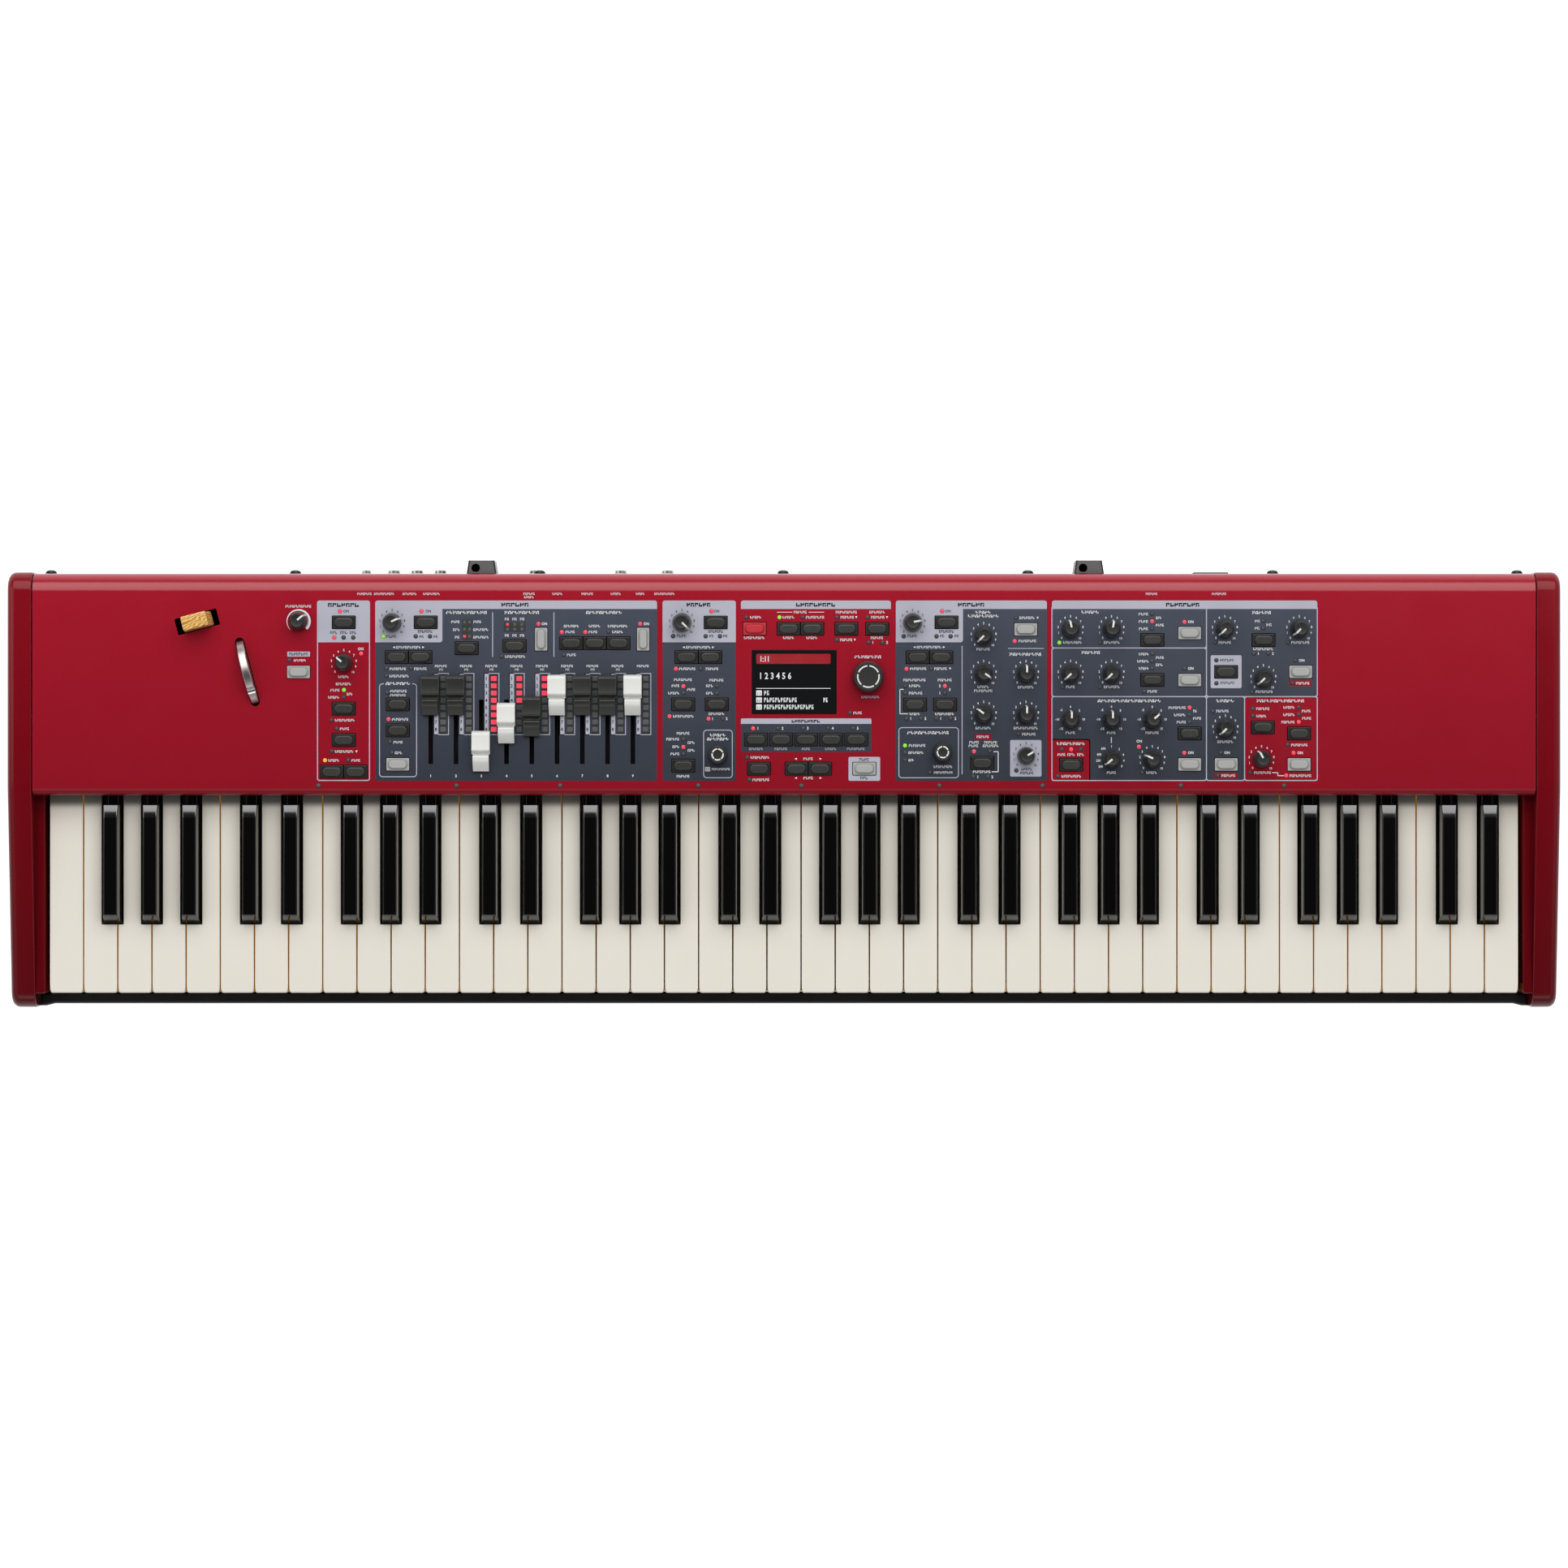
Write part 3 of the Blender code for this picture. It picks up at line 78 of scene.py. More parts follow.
def srgb(hexColour, share=1.0):
    channels = [int(hexColour[i:i + 2], 16) / 255 for i in (1, 3, 5)]
    linear = [c / 12.92 if c < 0.04045 else ((c + 0.055) / 1.055) ** 2.4 for c in channels]
    return (*[c * share for c in linear], 1.0)


def fillRamp(points, stops):
    for place, colour in stops[1:-1]:
        points.new(place).color = colour
    points[0].position, points[0].color = stops[0]
    points[-1].position, points[-1].color = stops[-1]


def socketOf(sockets, label):
    return sockets[int(label or 0)] if not label or label.isdigit() else sockets[label]


def build(tree, made, nodes, links):
    # nodes are {name: (kind, settings)}, with lower case for a node's own settings and else its sockets;
    # links are "node.output > node.input", where a digit is a socket's number and none is the first
    for number, (name, (kind, settings)) in enumerate(nodes.items()):
        item = made[name] = tree.nodes.new("ShaderNode" + kind)
        item.location = (200 * number - 220 * len(nodes), 150 * (number % 3))
        for key, value in settings.items():
            if key == "stops":
                fillRamp(item.color_ramp.elements, value)
            elif key.islower():
                setattr(item, key, value)
            else:
                socketOf(item.inputs, key).default_value = value
    for line in links.split("; "):
        (start, _, output), (end, _, put) = [half.partition(".") for half in line.split(" > ")]
        tree.links.new(socketOf(made[start].outputs, output), socketOf(made[end].inputs, put))


def finish(name, sockets, nodes, links):
    material = bpy.data.materials.new(name)
    material.use_nodes = True
    shader = material.node_tree.nodes["Principled BSDF"]
    for socket, value in sockets.items():
        shader.inputs[socket].default_value = value
    build(material.node_tree, {"shader": shader}, nodes, links)
    return material


def sums(operation, **fixed):
    # a math node; a keyword such as _1 fixes the input of that number
    return "Math", {"operation": operation, **{key[1:]: value for key, value in fixed.items()}}


# a mask: the camera's own rays, and a share of those that come off gloss or through glass
sightNodes = {"path": ("LightPath", {}), "mirrored": sums("MAXIMUM"), "part": sums("MULTIPLY", _1=1.0),
              "sight": sums("MAXIMUM")}
sightLinks = ("path.Is Glossy Ray > mirrored.0; path.Is Transmission Ray > mirrored.1; mirrored > part.0; "
              "part > sight.0; path.Is Camera Ray > sight.1; ")


def makeSky():
    # a soft sky, and a white backdrop which gloss and glass see near the horizon
    scene.world = bpy.data.worlds.new("studio")
    scene.world.use_nodes = True
    tree = scene.world.node_tree
    tree.nodes.clear()
    levels = ((0.0, lightPlan["horizon"]), (0.72, lightPlan["shoulder"]), (0.97, lightPlan["zenith"]))
    white, (start, end) = 1 / lightPlan["skyStrength"], lightPlan["backdrop"]
    build(tree, {}, {
        **sightNodes, "place": ("TexCoord", {}), "split": ("SeparateXYZ", {}),
        "ramp": ("ValToRGB", {"stops": [(stop, (level, level, level * 1.01, 1)) for stop, level in levels]}),
        "backdrop": ("MapRange", {"From Min": start, "From Max": end}),
        "seen": ("Mix", {"data_type": "RGBA", "B": (white, white, white, 1)}),
        "background": ("Background", {"Strength": lightPlan["skyStrength"]}), "output": ("OutputWorld", {}),
    }, sightLinks + "place.Generated > split; split.Z > ramp; split.Z > backdrop.Value; backdrop > part.1; "
       "ramp > seen.A; sight > seen.Factor; seen.Result > background.Color; background > output.Surface")


def makeLamp(name, at, size, watts):
    lamp = bpy.data.lights.new(name, "AREA")
    lamp.shape = "RECTANGLE"
    lamp.size, lamp.size_y = size
    lamp.energy = watts
    item = bpy.data.objects.new(name, lamp)
    scene.collection.objects.link(item)
    item.location = at
    item.rotation_euler = (-Vector(at)).to_track_quat("-Z", "Y").to_euler()


def makeFloor():
    mesh, reach = bpy.data.meshes.new("floor"), floorPlan["reach"]
    mesh.from_pydata([(-reach, -reach, 0), (reach, -reach, 0), (reach, reach, 0), (-reach, reach, 0)], [],
                     [(0, 1, 2, 3)])
    item = bpy.data.objects.new("floor", mesh)
    scene.collection.objects.link(item)
    mesh.materials.append(finish("paleFloor", {
        "Roughness": floorPlan["roughness"], "Specular IOR Level": floorPlan["shine"],
        "Emission Color": (1, 1, 1, 1), "Base Color": srgb(floorPlan["colour"]),
    }, {**sightNodes, "amount": sums("MULTIPLY", _1=floorPlan["glow"])},
        sightLinks + "sight > amount.0; amount > shader.Emission Strength"))


makeSky()
for lampName, lampPlace in lightPlan["lamps"].items():
    makeLamp(lampName, *lampPlace)
makeFloor()
print("camera, light and floor are set")


# Shader groups that several finishes share
def makeGroup(name, inputs, outputs, nodes, links):
    tree = bpy.data.node_groups.new(name, "ShaderNodeTree")
    kinds = {1: "Float", 3: "Vector", 4: "Color"}
    for label, value in inputs.items():
        kind = "NodeSocket" + kinds[1 if isinstance(value, float) else len(value)]
        tree.interface.new_socket(name=label, in_out="INPUT", socket_type=kind).default_value = value
    for label, kind in outputs.items():
        tree.interface.new_socket(name=label, in_out="OUTPUT", socket_type="NodeSocket" + kind)
    made = {"given": tree.nodes.new("NodeGroupInput"), "result": tree.nodes.new("NodeGroupOutput")}
    made["given"].location, made["result"].location = (-240 * len(nodes), -200), (200, 0)
    build(tree, made, nodes, links)
    return tree


middleGrey, skinOutputs = (0.5, 0.5, 0.5, 1), {"Colour": "Color", "Roughness": "Float", "Normal": "Vector"}
scaleNode = "VectorMath", {"operation": "SCALE"}

# Sprayed or moulded surface: slow tone drift, a fine peel in the normal, roughness that wanders; the tone
# also leans from front to rear about the middle of the deck, a painted shade: darker at the front, lighter at the
# rear
sprayGroup = makeGroup("sprayedSurface", {
    "Colour": middleGrey, "Drift": 0.06, "Peel size": 900.0, "Peel depth": 0.1, "Smoothest": 0.3, "Roughest": 0.4,
    "Lean": 0.0,
}, skinOutputs, {
    "place": ("TexCoord", {}), "split": ("SeparateXYZ", {}), "slow": ("TexNoise", {"Scale": 9.0, "Detail": 3.0}),
    "fine": ("TexNoise", {"Detail": 2.0}),
    "smudge": ("TexNoise", {"Scale": 38.0, "Detail": 5.0, "Distortion": 0.6}),
    "span": ("MapRange", {"To Min": -1.0}), "ahead": sums("SUBTRACT", _1=0.065),
    "leaning": sums("MULTIPLY_ADD", _2=1.0), "scaled": sums("MULTIPLY_ADD"), "tone": scaleNode,
    "rough": ("MapRange", {"From Min": 0.3, "From Max": 0.7}), "bump": ("Bump", {"Distance": 0.0002}),
}, "place.Object > slow.Vector; place.Object > fine.Vector; place.Object > smudge.Vector; place.Object > split; "
   "split.Y > ahead; ahead > leaning; given.Lean > leaning.1; leaning > scaled.2; given.Peel size > fine.Scale; "
   "slow > span; span > scaled; given.Drift > scaled.1; given.Colour > tone; scaled > tone.Scale; "
   "tone > result.Colour; smudge > rough; given.Smoothest > rough.To Min; given.Roughest > rough.To Max; "
   "rough > result.Roughness; fine > bump.Height; given.Peel depth > bump.Strength; bump > result.Normal")

# Edges: a lighter rub on corners, partly wear and partly painted highlight; painted shade darkens the corners
# between pieces
edgeGroup = makeGroup("edgeWearHighlightAndShade", {
    "Colour": middleGrey, "Rubbed": (0.7, 0.7, 0.7, 1), "Rub": 0.3, "Edge width": 0.0006, "Crevice": 0.35,
    "Crevice reach": 0.004, "Crevice tint": (0, 0, 0, 1),
}, {"Colour": "Color"}, {
    "soft": ("Bevel", {"samples": 4}), "hard": ("NewGeometry", {}),
    "likeness": ("VectorMath", {"operation": "DOT_PRODUCT"}),
    "edge": ("MapRange", {"From Min": 0.995, "From Max": 0.90}), "place": ("TexCoord", {}),
    "patch": ("TexNoise", {"Scale": 160.0, "Detail": 4.0}),
    "broken": ("MapRange", {"From Min": 0.42, "From Max": 0.62}), "both": sums("MULTIPLY"),
    "amount": sums("MULTIPLY"), "near": ("AmbientOcclusion", {"samples": 4}),
    "shade": ("MapRange", {"To Max": 0.0}), "rubbed": ("Mix", {"data_type": "RGBA"}),
    "deep": ("Mix", {"data_type": "RGBA"}),
}, "given.Edge width > soft.Radius; soft.Normal > likeness.0; hard.Normal > likeness.1; likeness.Value > edge; "
   "place.Object > patch.Vector; patch > broken; edge > both.0; broken > both.1; both > amount.0; "
   "given.Rub > amount.1; amount > rubbed.Factor; given.Colour > rubbed.A; given.Rubbed > rubbed.B; "
   "given.Crevice reach > near.Distance; near.AO > shade; given.Crevice > shade.To Min; shade > deep.Factor; "
   "rubbed.Result > deep.A; given.Crevice tint > deep.B; deep.Result > result.Colour")

# Fine lines along one direction, for brushed metal
brushGroup = makeGroup("brushedLines", {
    "Colour": middleGrey, "Across": (40.0, 4000.0, 4000.0), "Contrast": 0.1, "Depth": 0.1, "Roughness": 0.3,
}, skinOutputs, {
    "place": ("TexCoord", {}), "stretch": ("VectorMath", {"operation": "MULTIPLY"}),
    "lines": ("TexNoise", {"Scale": 1.0, "Detail": 3.0}), "centred": sums("SUBTRACT", _1=0.5),
    "scaled": sums("MULTIPLY_ADD", _2=1.0), "tone": scaleNode, "rough": sums("MULTIPLY_ADD"),
    "bump": ("Bump", {"Distance": 0.0001}),
}, "place.Object > stretch.0; given.Across > stretch.1; stretch > lines.Vector; lines > centred; "
   "centred > scaled; given.Contrast > scaled.1; given.Colour > tone; scaled > tone.Scale; "
   "tone > result.Colour; centred > rough; "
   "given.Contrast > rough.1; given.Roughness > rough.2; rough > result.Roughness; lines > bump.Height; "
   "given.Depth > bump.Strength; bump > result.Normal")

# Finishes
skinLinks = ("ground.Colour > worn.Colour; worn.Colour > shader.Base Color; ground.Roughness > shader.Roughness; "
             "ground.Normal > shader.Normal")


def surface(name, colour, grain, edges, more=None):
    # Most finishes: the spray group gives the tone, grain and painted shade lean; the edge group adds edge wear,
    # painted highlight and painted shade in the corners
    more = dict(more or {})
    lean, tint = more.pop("Lean", 0.0), srgb(more.pop("Tint", "#000000"))
    (drift, size, depth, smooth, rough), (rubbed, rubAndHighlightShare, width, crevice, reach) = grain, edges
    return finish(name, more, {
        "ground": ("Group", {"node_tree": sprayGroup, "Colour": srgb(colour), "Drift": drift, "Peel size": size,
                             "Peel depth": depth, "Smoothest": smooth, "Roughest": rough, "Lean": lean}),
        "worn": ("Group", {"node_tree": edgeGroup, "Rubbed": srgb(rubbed), "Rub": rubAndHighlightShare, "Edge width": width / 1000,
                           "Crevice": crevice, "Crevice reach": reach / 1000, "Crevice tint": tint}),
    }, skinLinks)


# colour; drift, peel size, peel depth, smoothest, roughest; rub and highlight colour, rub and highlight, edge mm,
# crevice shade, its reach mm
inkGrain, clothGrain = (0.03, 1400.0, 0.04, 0.30, 0.34), (0.10, 1500.0, 0.4, 0.75, 0.9)
# the reds, the cheeks and the slate lean as painted shade, darker towards the front and lighter towards the rear
finishPlan = {
    "deckRed": ("#941023", (0.02, 1400.0, 0.03, 0.17, 0.19), ("#B8404E", 0.15, 0.5, 0.45, 4.0), {"Lean": 1.9}),
    "redInk": ("#941023", (0.02, 1400.0, 0.03, 0.19, 0.21), ("#B8404E", 0.1, 0.2, 0.45, 3.0), {"Lean": 1.9}),
    # painted shade: a darker, duller copy of the deck red for the lip's forward faces
    "lipRedShaded": ("#8A0D1D", (0.02, 1400.0, 0.03, 0.19, 0.22), ("#A02A38", 0.1, 0.5, 0.45, 4.0),
               {"Lean": 1.9, "Specular IOR Level": 0.16}),
    "cheekRed": ("#760715", (0.04, 700.0, 0.05, 0.17, 0.20), ("#8A1A28", 0.15, 0.8, 0.5, 6.0),
                 {"Lean": 2.2, "Specular IOR Level": 0.24}),
    "railBlack": ("#060607", (0.08, 1600.0, 0.08, 0.34, 0.42), ("#3A3A3A", 0.2, 0.6, 0.4, 4.0)),
    "slateInk": ("#333946", inkGrain, ("#4A505C", 0.1, 0.2, 0.45, 3.0), {"Lean": 5.0}),
    "lavenderInk": ("#ADADBA", inkGrain, ("#B9BAC6", 0.1, 0.2, 0.45, 3.0)),
    "whiteInk": ("#E4E4E6", inkGrain, ("#D0D0D0", 0.1, 0.2, 0.2, 2.0)),
    "darkInk": ("#1C202B", inkGrain, ("#4A4F5C", 0.1, 0.2, 0.2, 2.0)),
    # the dark buttons and the black drawbar caps get strong light rubs on their edges: wear and painted highlight
    "buttonDark": ("#323330", (0.05, 2600.0, 0.15, 0.26, 0.32), ("#80817C", 0.8, 0.35, 0.6, 2.0)),
    "buttonSeat": ("#131412", (0.05, 2600.0, 0.15, 0.30, 0.36), ("#30312E", 0.4, 0.3, 0.6, 2.0)),
    "buttonLight": ("#A2A3A0", (0.04, 2600.0, 0.25, 0.36, 0.48), ("#CFCFCB", 0.4, 0.4, 0.6, 2.0)),
    "buttonRed": ("#B81C2B", (0.04, 2600.0, 0.25, 0.36, 0.48), ("#DD5560", 0.4, 0.4, 0.6, 2.0)),
    "knobBlack": ("#161716", (0.06, 3200.0, 0.2, 0.34, 0.42), ("#505250", 0.4, 0.4, 0.5, 3.0)),
    "capBlack": ("#282926", (0.05, 2800.0, 0.12, 0.26, 0.32), ("#8A8A86", 0.7, 0.4, 0.5, 4.0)),
    "capWhite": ("#DEDDD8", (0.03, 2800.0, 0.18, 0.30, 0.40), ("#F2F1EC", 0.3, 0.4, 0.35, 3.0),
                 {"Subsurface Weight": 0.05}),
    # the ivory's crevice tint makes the painted shade between the keys brown
    "keyIvory": ("#E2DDD1", (0.025, 500.0, 0.04, 0.28, 0.38), ("#E8E5DA", 0.2, 0.5, 0.6, 6.0),
                 {"Coat Weight": 0.12, "Coat Roughness": 0.2, "Tint": "#6B5428"}),
    # painted light: the white keys' sides are gold and glow, for the warm light seen in the gaps between the keys
    "keySide": ("#B98B3C", (0.05, 500.0, 0.04, 0.30, 0.38), ("#E0C080", 0.2, 0.4, 0.2, 1.0),
                {"Emission Color": srgb("#A87E34"), "Emission Strength": 0.24}),
    "keyEbony": ("#050505", (0.08, 600.0, 0.02, 0.09, 0.12), ("#262626", 0.2, 0.5, 0.3, 4.0)),
    # painted highlight: a lighter, more reflective copy of the ebony for the black keys' rear facet
    "keyShoulder": ("#0C0C0C", (0.08, 600.0, 0.02, 0.10, 0.14), ("#262626", 0.2, 0.5, 0.3, 4.0),
                    {"Specular IOR Level": 1.0, "IOR": 1.66}),
    "footRubber": ("#1A1A1A", clothGrain, ("#4A4A4A", 0.3, 0.6, 0.4, 4.0)),
    "socketPlastic": ("#141414", (0.08, 2200.0, 0.2, 0.38, 0.52), ("#555555", 0.3, 0.4, 0.5, 3.0)),
    "screwBlack": ("#0C0C0D", (0.08, 2200.0, 0.1, 0.25, 0.36), ("#8A8A8A", 0.4, 0.3, 0.4, 2.0),
                   {"Metallic": 0.4}),
    "screwBrown": ("#5E4F45", (0.08, 2200.0, 0.1, 0.38, 0.50), ("#8A7A6E", 0.3, 0.3, 0.5, 2.0),
                   {"Metallic": 0.2}),
    "bracketGrey": ("#5E5E5E", (0.05, 1800.0, 0.1, 0.34, 0.42), ("#9A9A9A", 0.4, 0.4, 0.5, 4.0),
                    {"Metallic": 0.1}),
    "boardGreen": ("#1E4A2C", (0.08, 900.0, 0.1, 0.32, 0.42), ("#B08A4A", 0.4, 0.4, 0.4, 4.0)),
    "screenBlack": ("#141516", (0.02, 900.0, 0.0, 0.06, 0.08), ("#202020", 0.1, 0.3, 0.2, 2.0)),
    "lampDark": ("#3E4046", (0.05, 1800.0, 0.05, 0.25, 0.35), ("#5A5C62", 0.2, 0.2, 0.5, 1.5)),
    "lampSmoke": ("#555856", (0.08, 1400.0, 0.05, 0.22, 0.32), ("#8A8B8C", 0.3, 0.3, 0.5, 1.5)),
    "lampRim": ("#141518", (0.05, 1800.0, 0.1, 0.4, 0.5), ("#303238", 0.2, 0.2, 0.3, 1.0)),
    "zincBlack": ("#17181A", (0.08, 1500.0, 0.2, 0.42, 0.56), ("#6A6A6A", 0.4, 0.6, 0.5, 6.0)),
}
finishes = {name: surface(name, *plan) for name, plan in finishPlan.items()}


def shadeUnderLip(material, clear, deep, level):
    # painted shadow: the white keys darken close to the deck, where the deck's lip shades them
    tree = material.node_tree
    shader = tree.nodes["Principled BSDF"]
    made = {"shader": shader, "worn": shader.inputs["Base Color"].links[0].from_node}
    build(tree, made, {
        "place": ("TexCoord", {}), "split": ("SeparateXYZ", {}),
        "near": ("MapRange", {"interpolation_type": "SMOOTHSTEP", "From Min": clear, "From Max": deep,
                              "To Min": 1.0, "To Max": level}),
        "dimmed": scaleNode,
    }, "place.Object > split; split.Y > near; worn.Colour > dimmed; near > dimmed.Scale; "
       "dimmed > shader.Base Color")


shadeUnderLip(finishes["keyIvory"], -0.0175, -0.0120, 0.22)

# metal edges: a lighter rub that is partly wear and partly painted highlight, and painted shade in the corners
metalEdges = {"Rubbed": srgb("#D8D8D8"), "Rub": 0.4, "Edge width": 0.0004, "Crevice": 0.5, "Crevice reach": 0.003}
# colour; how fine the lines are along each axis; contrast, depth, roughness
metalPlan = {
    "nickel": ("#B9B7B2", (900.0, 900.0, 60.0), 0.12, 0.06, 0.24),
    "zincSheet": ("#8C8D8F", (60.0, 1800.0, 1800.0), 0.22, 0.12, 0.40),
    "wheelAlloy": ("#B4ACAA", (2600.0, 120.0, 120.0), 0.12, 0.06, 0.28),
}
for name, (colour, across, contrast, depth, roughness) in metalPlan.items():
    finishes[name] = finish(name, {"Metallic": 1.0}, {
        "ground": ("Group", {"node_tree": brushGroup, "Colour": srgb(colour), "Across": across,
                             "Contrast": contrast, "Depth": depth, "Roughness": roughness}),
        "worn": ("Group", {"node_tree": edgeGroup, **metalEdges}),
    }, skinLinks)

# Lit lamps, hotter in the middle of the dome than at its rim: colour, glow, share of the colour when unlit
lampRimShare = 0.55
lampLooks = {
    "lampRed": ("#EE4258", 0.70, 0.5), "lampGreen": ("#7FD636", 0.75, 0.5), "lampAmber": ("#F0A23C", 0.75, 0.5),
    "screenRed": ("#A01C25", 0.65, 0.25), "screenWhite": ("#E9EAEC", 0.75, 0.2),
}
for name, (colour, glow, body) in lampLooks.items():
    finishes[name] = finish(name, {"Roughness": 0.3, "Emission Strength": glow}, {
        "facing": ("LayerWeight", {"Blend": 0.35}),
        "mixed": ("Mix", {"data_type": "RGBA", "A": srgb(colour), "B": srgb(colour, lampRimShare)}),
        "ground": ("Group", {"node_tree": sprayGroup, "Drift": 0.05, "Smoothest": 0.2, "Roughest": 0.34,
                             "Colour": srgb(colour, body)}),
    }, "facing.Facing > mixed.Factor; mixed.Result > shader.Emission Color; ground.Colour > shader.Base Color; "
       "ground.Roughness > shader.Roughness")

# Figured birch: long grain that swirls across the stick, darker pores, a lacquer, and lighter edges that are
# partly wear and partly painted highlight
woodRamp = [(0.0, srgb("#A87228")), (0.38, srgb("#D09C48")), (0.75, srgb("#E8BC6C"))]
finishes["figuredBirch"] = finish("figuredBirch", {"Coat Weight": 0.5, "Coat Roughness": 0.12}, {
    "place": ("TexCoord", {}),
    "turn": ("Mapping", {"Rotation": (0.2, 0.3, math.radians(-52)), "Scale": (110.0, 300.0, 160.0)}),
    "swirl": ("TexWave", {"wave_type": "BANDS", "bands_direction": "Y", "Scale": 0.9, "Distortion": 9.0,
                          "Detail": 3.0, "Detail Scale": 1.4}),
    "pores": ("TexNoise", {"Scale": 2.6, "Detail": 6.0}), "ramp": ("ValToRGB", {"stops": woodRamp}),
    "speck": ("MapRange", {"From Min": 0.25, "From Max": 0.7, "To Min": 0.93, "To Max": 1.06}),
    "toned": scaleNode,
    "worn": ("Group", {"node_tree": edgeGroup, "Rubbed": srgb("#F6E8C4"), "Rub": 1.0, "Edge width": 0.0009,
                       "Crevice": 0.6, "Crevice reach": 0.006}),
    "bump": ("Bump", {"Strength": 0.25, "Distance": 0.0002}),
    "rough": ("MapRange", {"To Min": 0.34, "To Max": 0.52}),
}, "place.Object > turn; turn > swirl; turn > pores; swirl.Fac > ramp; pores > speck; ramp > toned; "
   "speck > toned.Scale; toned > worn.Colour; worn.Colour > shader.Base Color; pores > rough; "
   "rough > shader.Roughness; pores > bump.Height; bump > shader.Normal")
print("finishes are mixed:", len(finishes))


# Shape tools: every shape is a bmesh in the frame's metres
def merge(target, source, move=None):
    held = bpy.data.meshes.new("held")
    source.to_mesh(held)
    source.free()
    if move is not None:
        held.transform(move)
    target.from_mesh(held)
    bpy.data.meshes.remove(held)
    return target


def moved(shape, move):
    return merge(bmesh.new(), shape, move)


def joined(shapes):
    whole = bmesh.new()
    for shape in shapes:
        merge(whole, shape)
    return whole


def painted(shape, index):
    for face in shape.faces:
        face.material_index = index
    return shape


def paintedWhere(shape, chosen):
    # gives the chosen faces the piece's second look
    shape.normal_update()
    for face in shape.faces:
        face.material_index = int(chosen(face))
    return shape


def walls(shape, upper, lower):
    # faces between two loops of points of equal length
    for i in range(len(upper)):
        after = (i + 1) % len(upper)
        shape.faces.new((upper[i], upper[after], lower[after], lower[i]))


def loft(rings, capped=True):
    # rings of equal length, each a list of 3-D points
    shape = bmesh.new()
    loops = [[shape.verts.new(point) for point in ring] for ring in rings]
    for first, second in zip(loops, loops[1:]):
        walls(shape, first, second)
    if capped:
        shape.faces.new(loops[0])
        shape.faces.new(loops[-1])
    bmesh.ops.recalc_face_normals(shape, faces=shape.faces)
    return shape


def flat(outline, z):
    return [(a, b, z) for a, b in outline]


def facing(outline, y):
    return [(a, y, b) for a, b in outline]


def sideways(outline, x):
    return [(x, a, b) for a, b in outline]


def prism(outline, low, high):
    return loft([flat(outline, low), flat(outline, high)])


def sidePrism(profile, left, right):
    return loft([sideways(profile, left), sideways(profile, right)])


def rearPrism(outline, front, rear):
    return loft([facing(outline, front), facing(outline, rear)])


def inset(outline, distance):
    # moves each side of an anticlockwise outline inwards by the distance
    shifted, count = [], len(outline)
    for i, point in enumerate(outline):
        before, here, after = Vector(outline[i - 1]), Vector(point), Vector(outline[(i + 1) % count])
        first, second = (here - before).normalized(), (after - here).normalized()
        normal = Vector((-first.y - second.y, first.x + second.x))
        reach = normal.dot(Vector((-first.y, first.x)))
        shifted.append(tuple(here + normal * (distance / max(reach, 0.2))))
    return shifted


def roundedPrism(outline, low, high, edge, steps, both=False):
    # a plate whose top edge, and bottom edge if asked, is rounded
    turns = [math.pi / 2 * i / steps for i in range(steps + 1)]
    rings = [(edge * (1 - math.sin(t)), low + edge * (1 - math.cos(t))) for t in turns] if both else [(0.0, low)]
    rings += [(edge * (1 - math.cos(t)), high - edge * (1 - math.sin(t))) for t in turns] + [(edge * 1.25, high)]
    return loft([flat(inset(outline, d), z) for d, z in rings])


def arc(centre, radius, start, end, steps):
    turns = [math.radians(start + (end - start) * i / steps) for i in range(steps + 1)]
    return [(centre[0] + radius * math.cos(t), centre[1] + radius * math.sin(t)) for t in turns]


def roundedRect(left, right, front, rear, radius=0.0, steps=5):
    if radius <= 0:
        return [(left, front), (right, front), (right, rear), (left, rear)]
    r = min(radius, (right - left) / 2 - 1e-6, (rear - front) / 2 - 1e-6)
    return (arc((right - r, front + r), r, -90, 0, steps) + arc((right - r, rear - r), r, 0, 90, steps)
            + arc((left + r, rear - r), r, 90, 180, steps) + arc((left + r, front + r), r, 180, 270, steps))


def grown(box, by):
    left, right, front, rear = box
    return left - by, right + by, front - by, rear + by


def rectAt(centre, width, depth, radius=0.0, steps=5):
    x, y = centre
    return roundedRect(x - width / 2, x + width / 2, y - depth / 2, y + depth / 2, radius, steps)


def circleAt(centre, radius, sides, ahead=0.0):
    turns = [math.tau * (i + ahead) / sides for i in range(sides)]
    return [(centre[0] + radius * math.cos(t), centre[1] + radius * math.sin(t)) for t in turns]


def turnedRings(centre, rings, sides=48):
    return loft([flat(circleAt(centre, r, sides), z) for r, z in rings])


def rearTurned(x, z, rings, sides, capped=True):
    # turned about a line along Y: rings of (radius, y)
    return loft([facing(circleAt((x, z), r, sides), y) for r, y in rings], capped)


def addPiece(name, shape, looks, body, angle=32.0, replaces=()):
    mesh = bpy.data.meshes.new(name)
    shape.to_mesh(mesh)
    shape.free()
    item = bpy.data.objects.new(name, mesh)
    scene.collection.objects.link(item)
    for look in ([looks] if isinstance(looks, str) else looks):
        mesh.materials.append(finishes[look])
    shadeSmooth(mesh, angle)
    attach(item, body)
    if replaces:
        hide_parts(*replaces)
    return item


def shadeSmooth(mesh, angle):
    for polygon in mesh.polygons:
        polygon.use_smooth = True
    mesh.set_sharp_from_angle(angle=math.radians(angle))


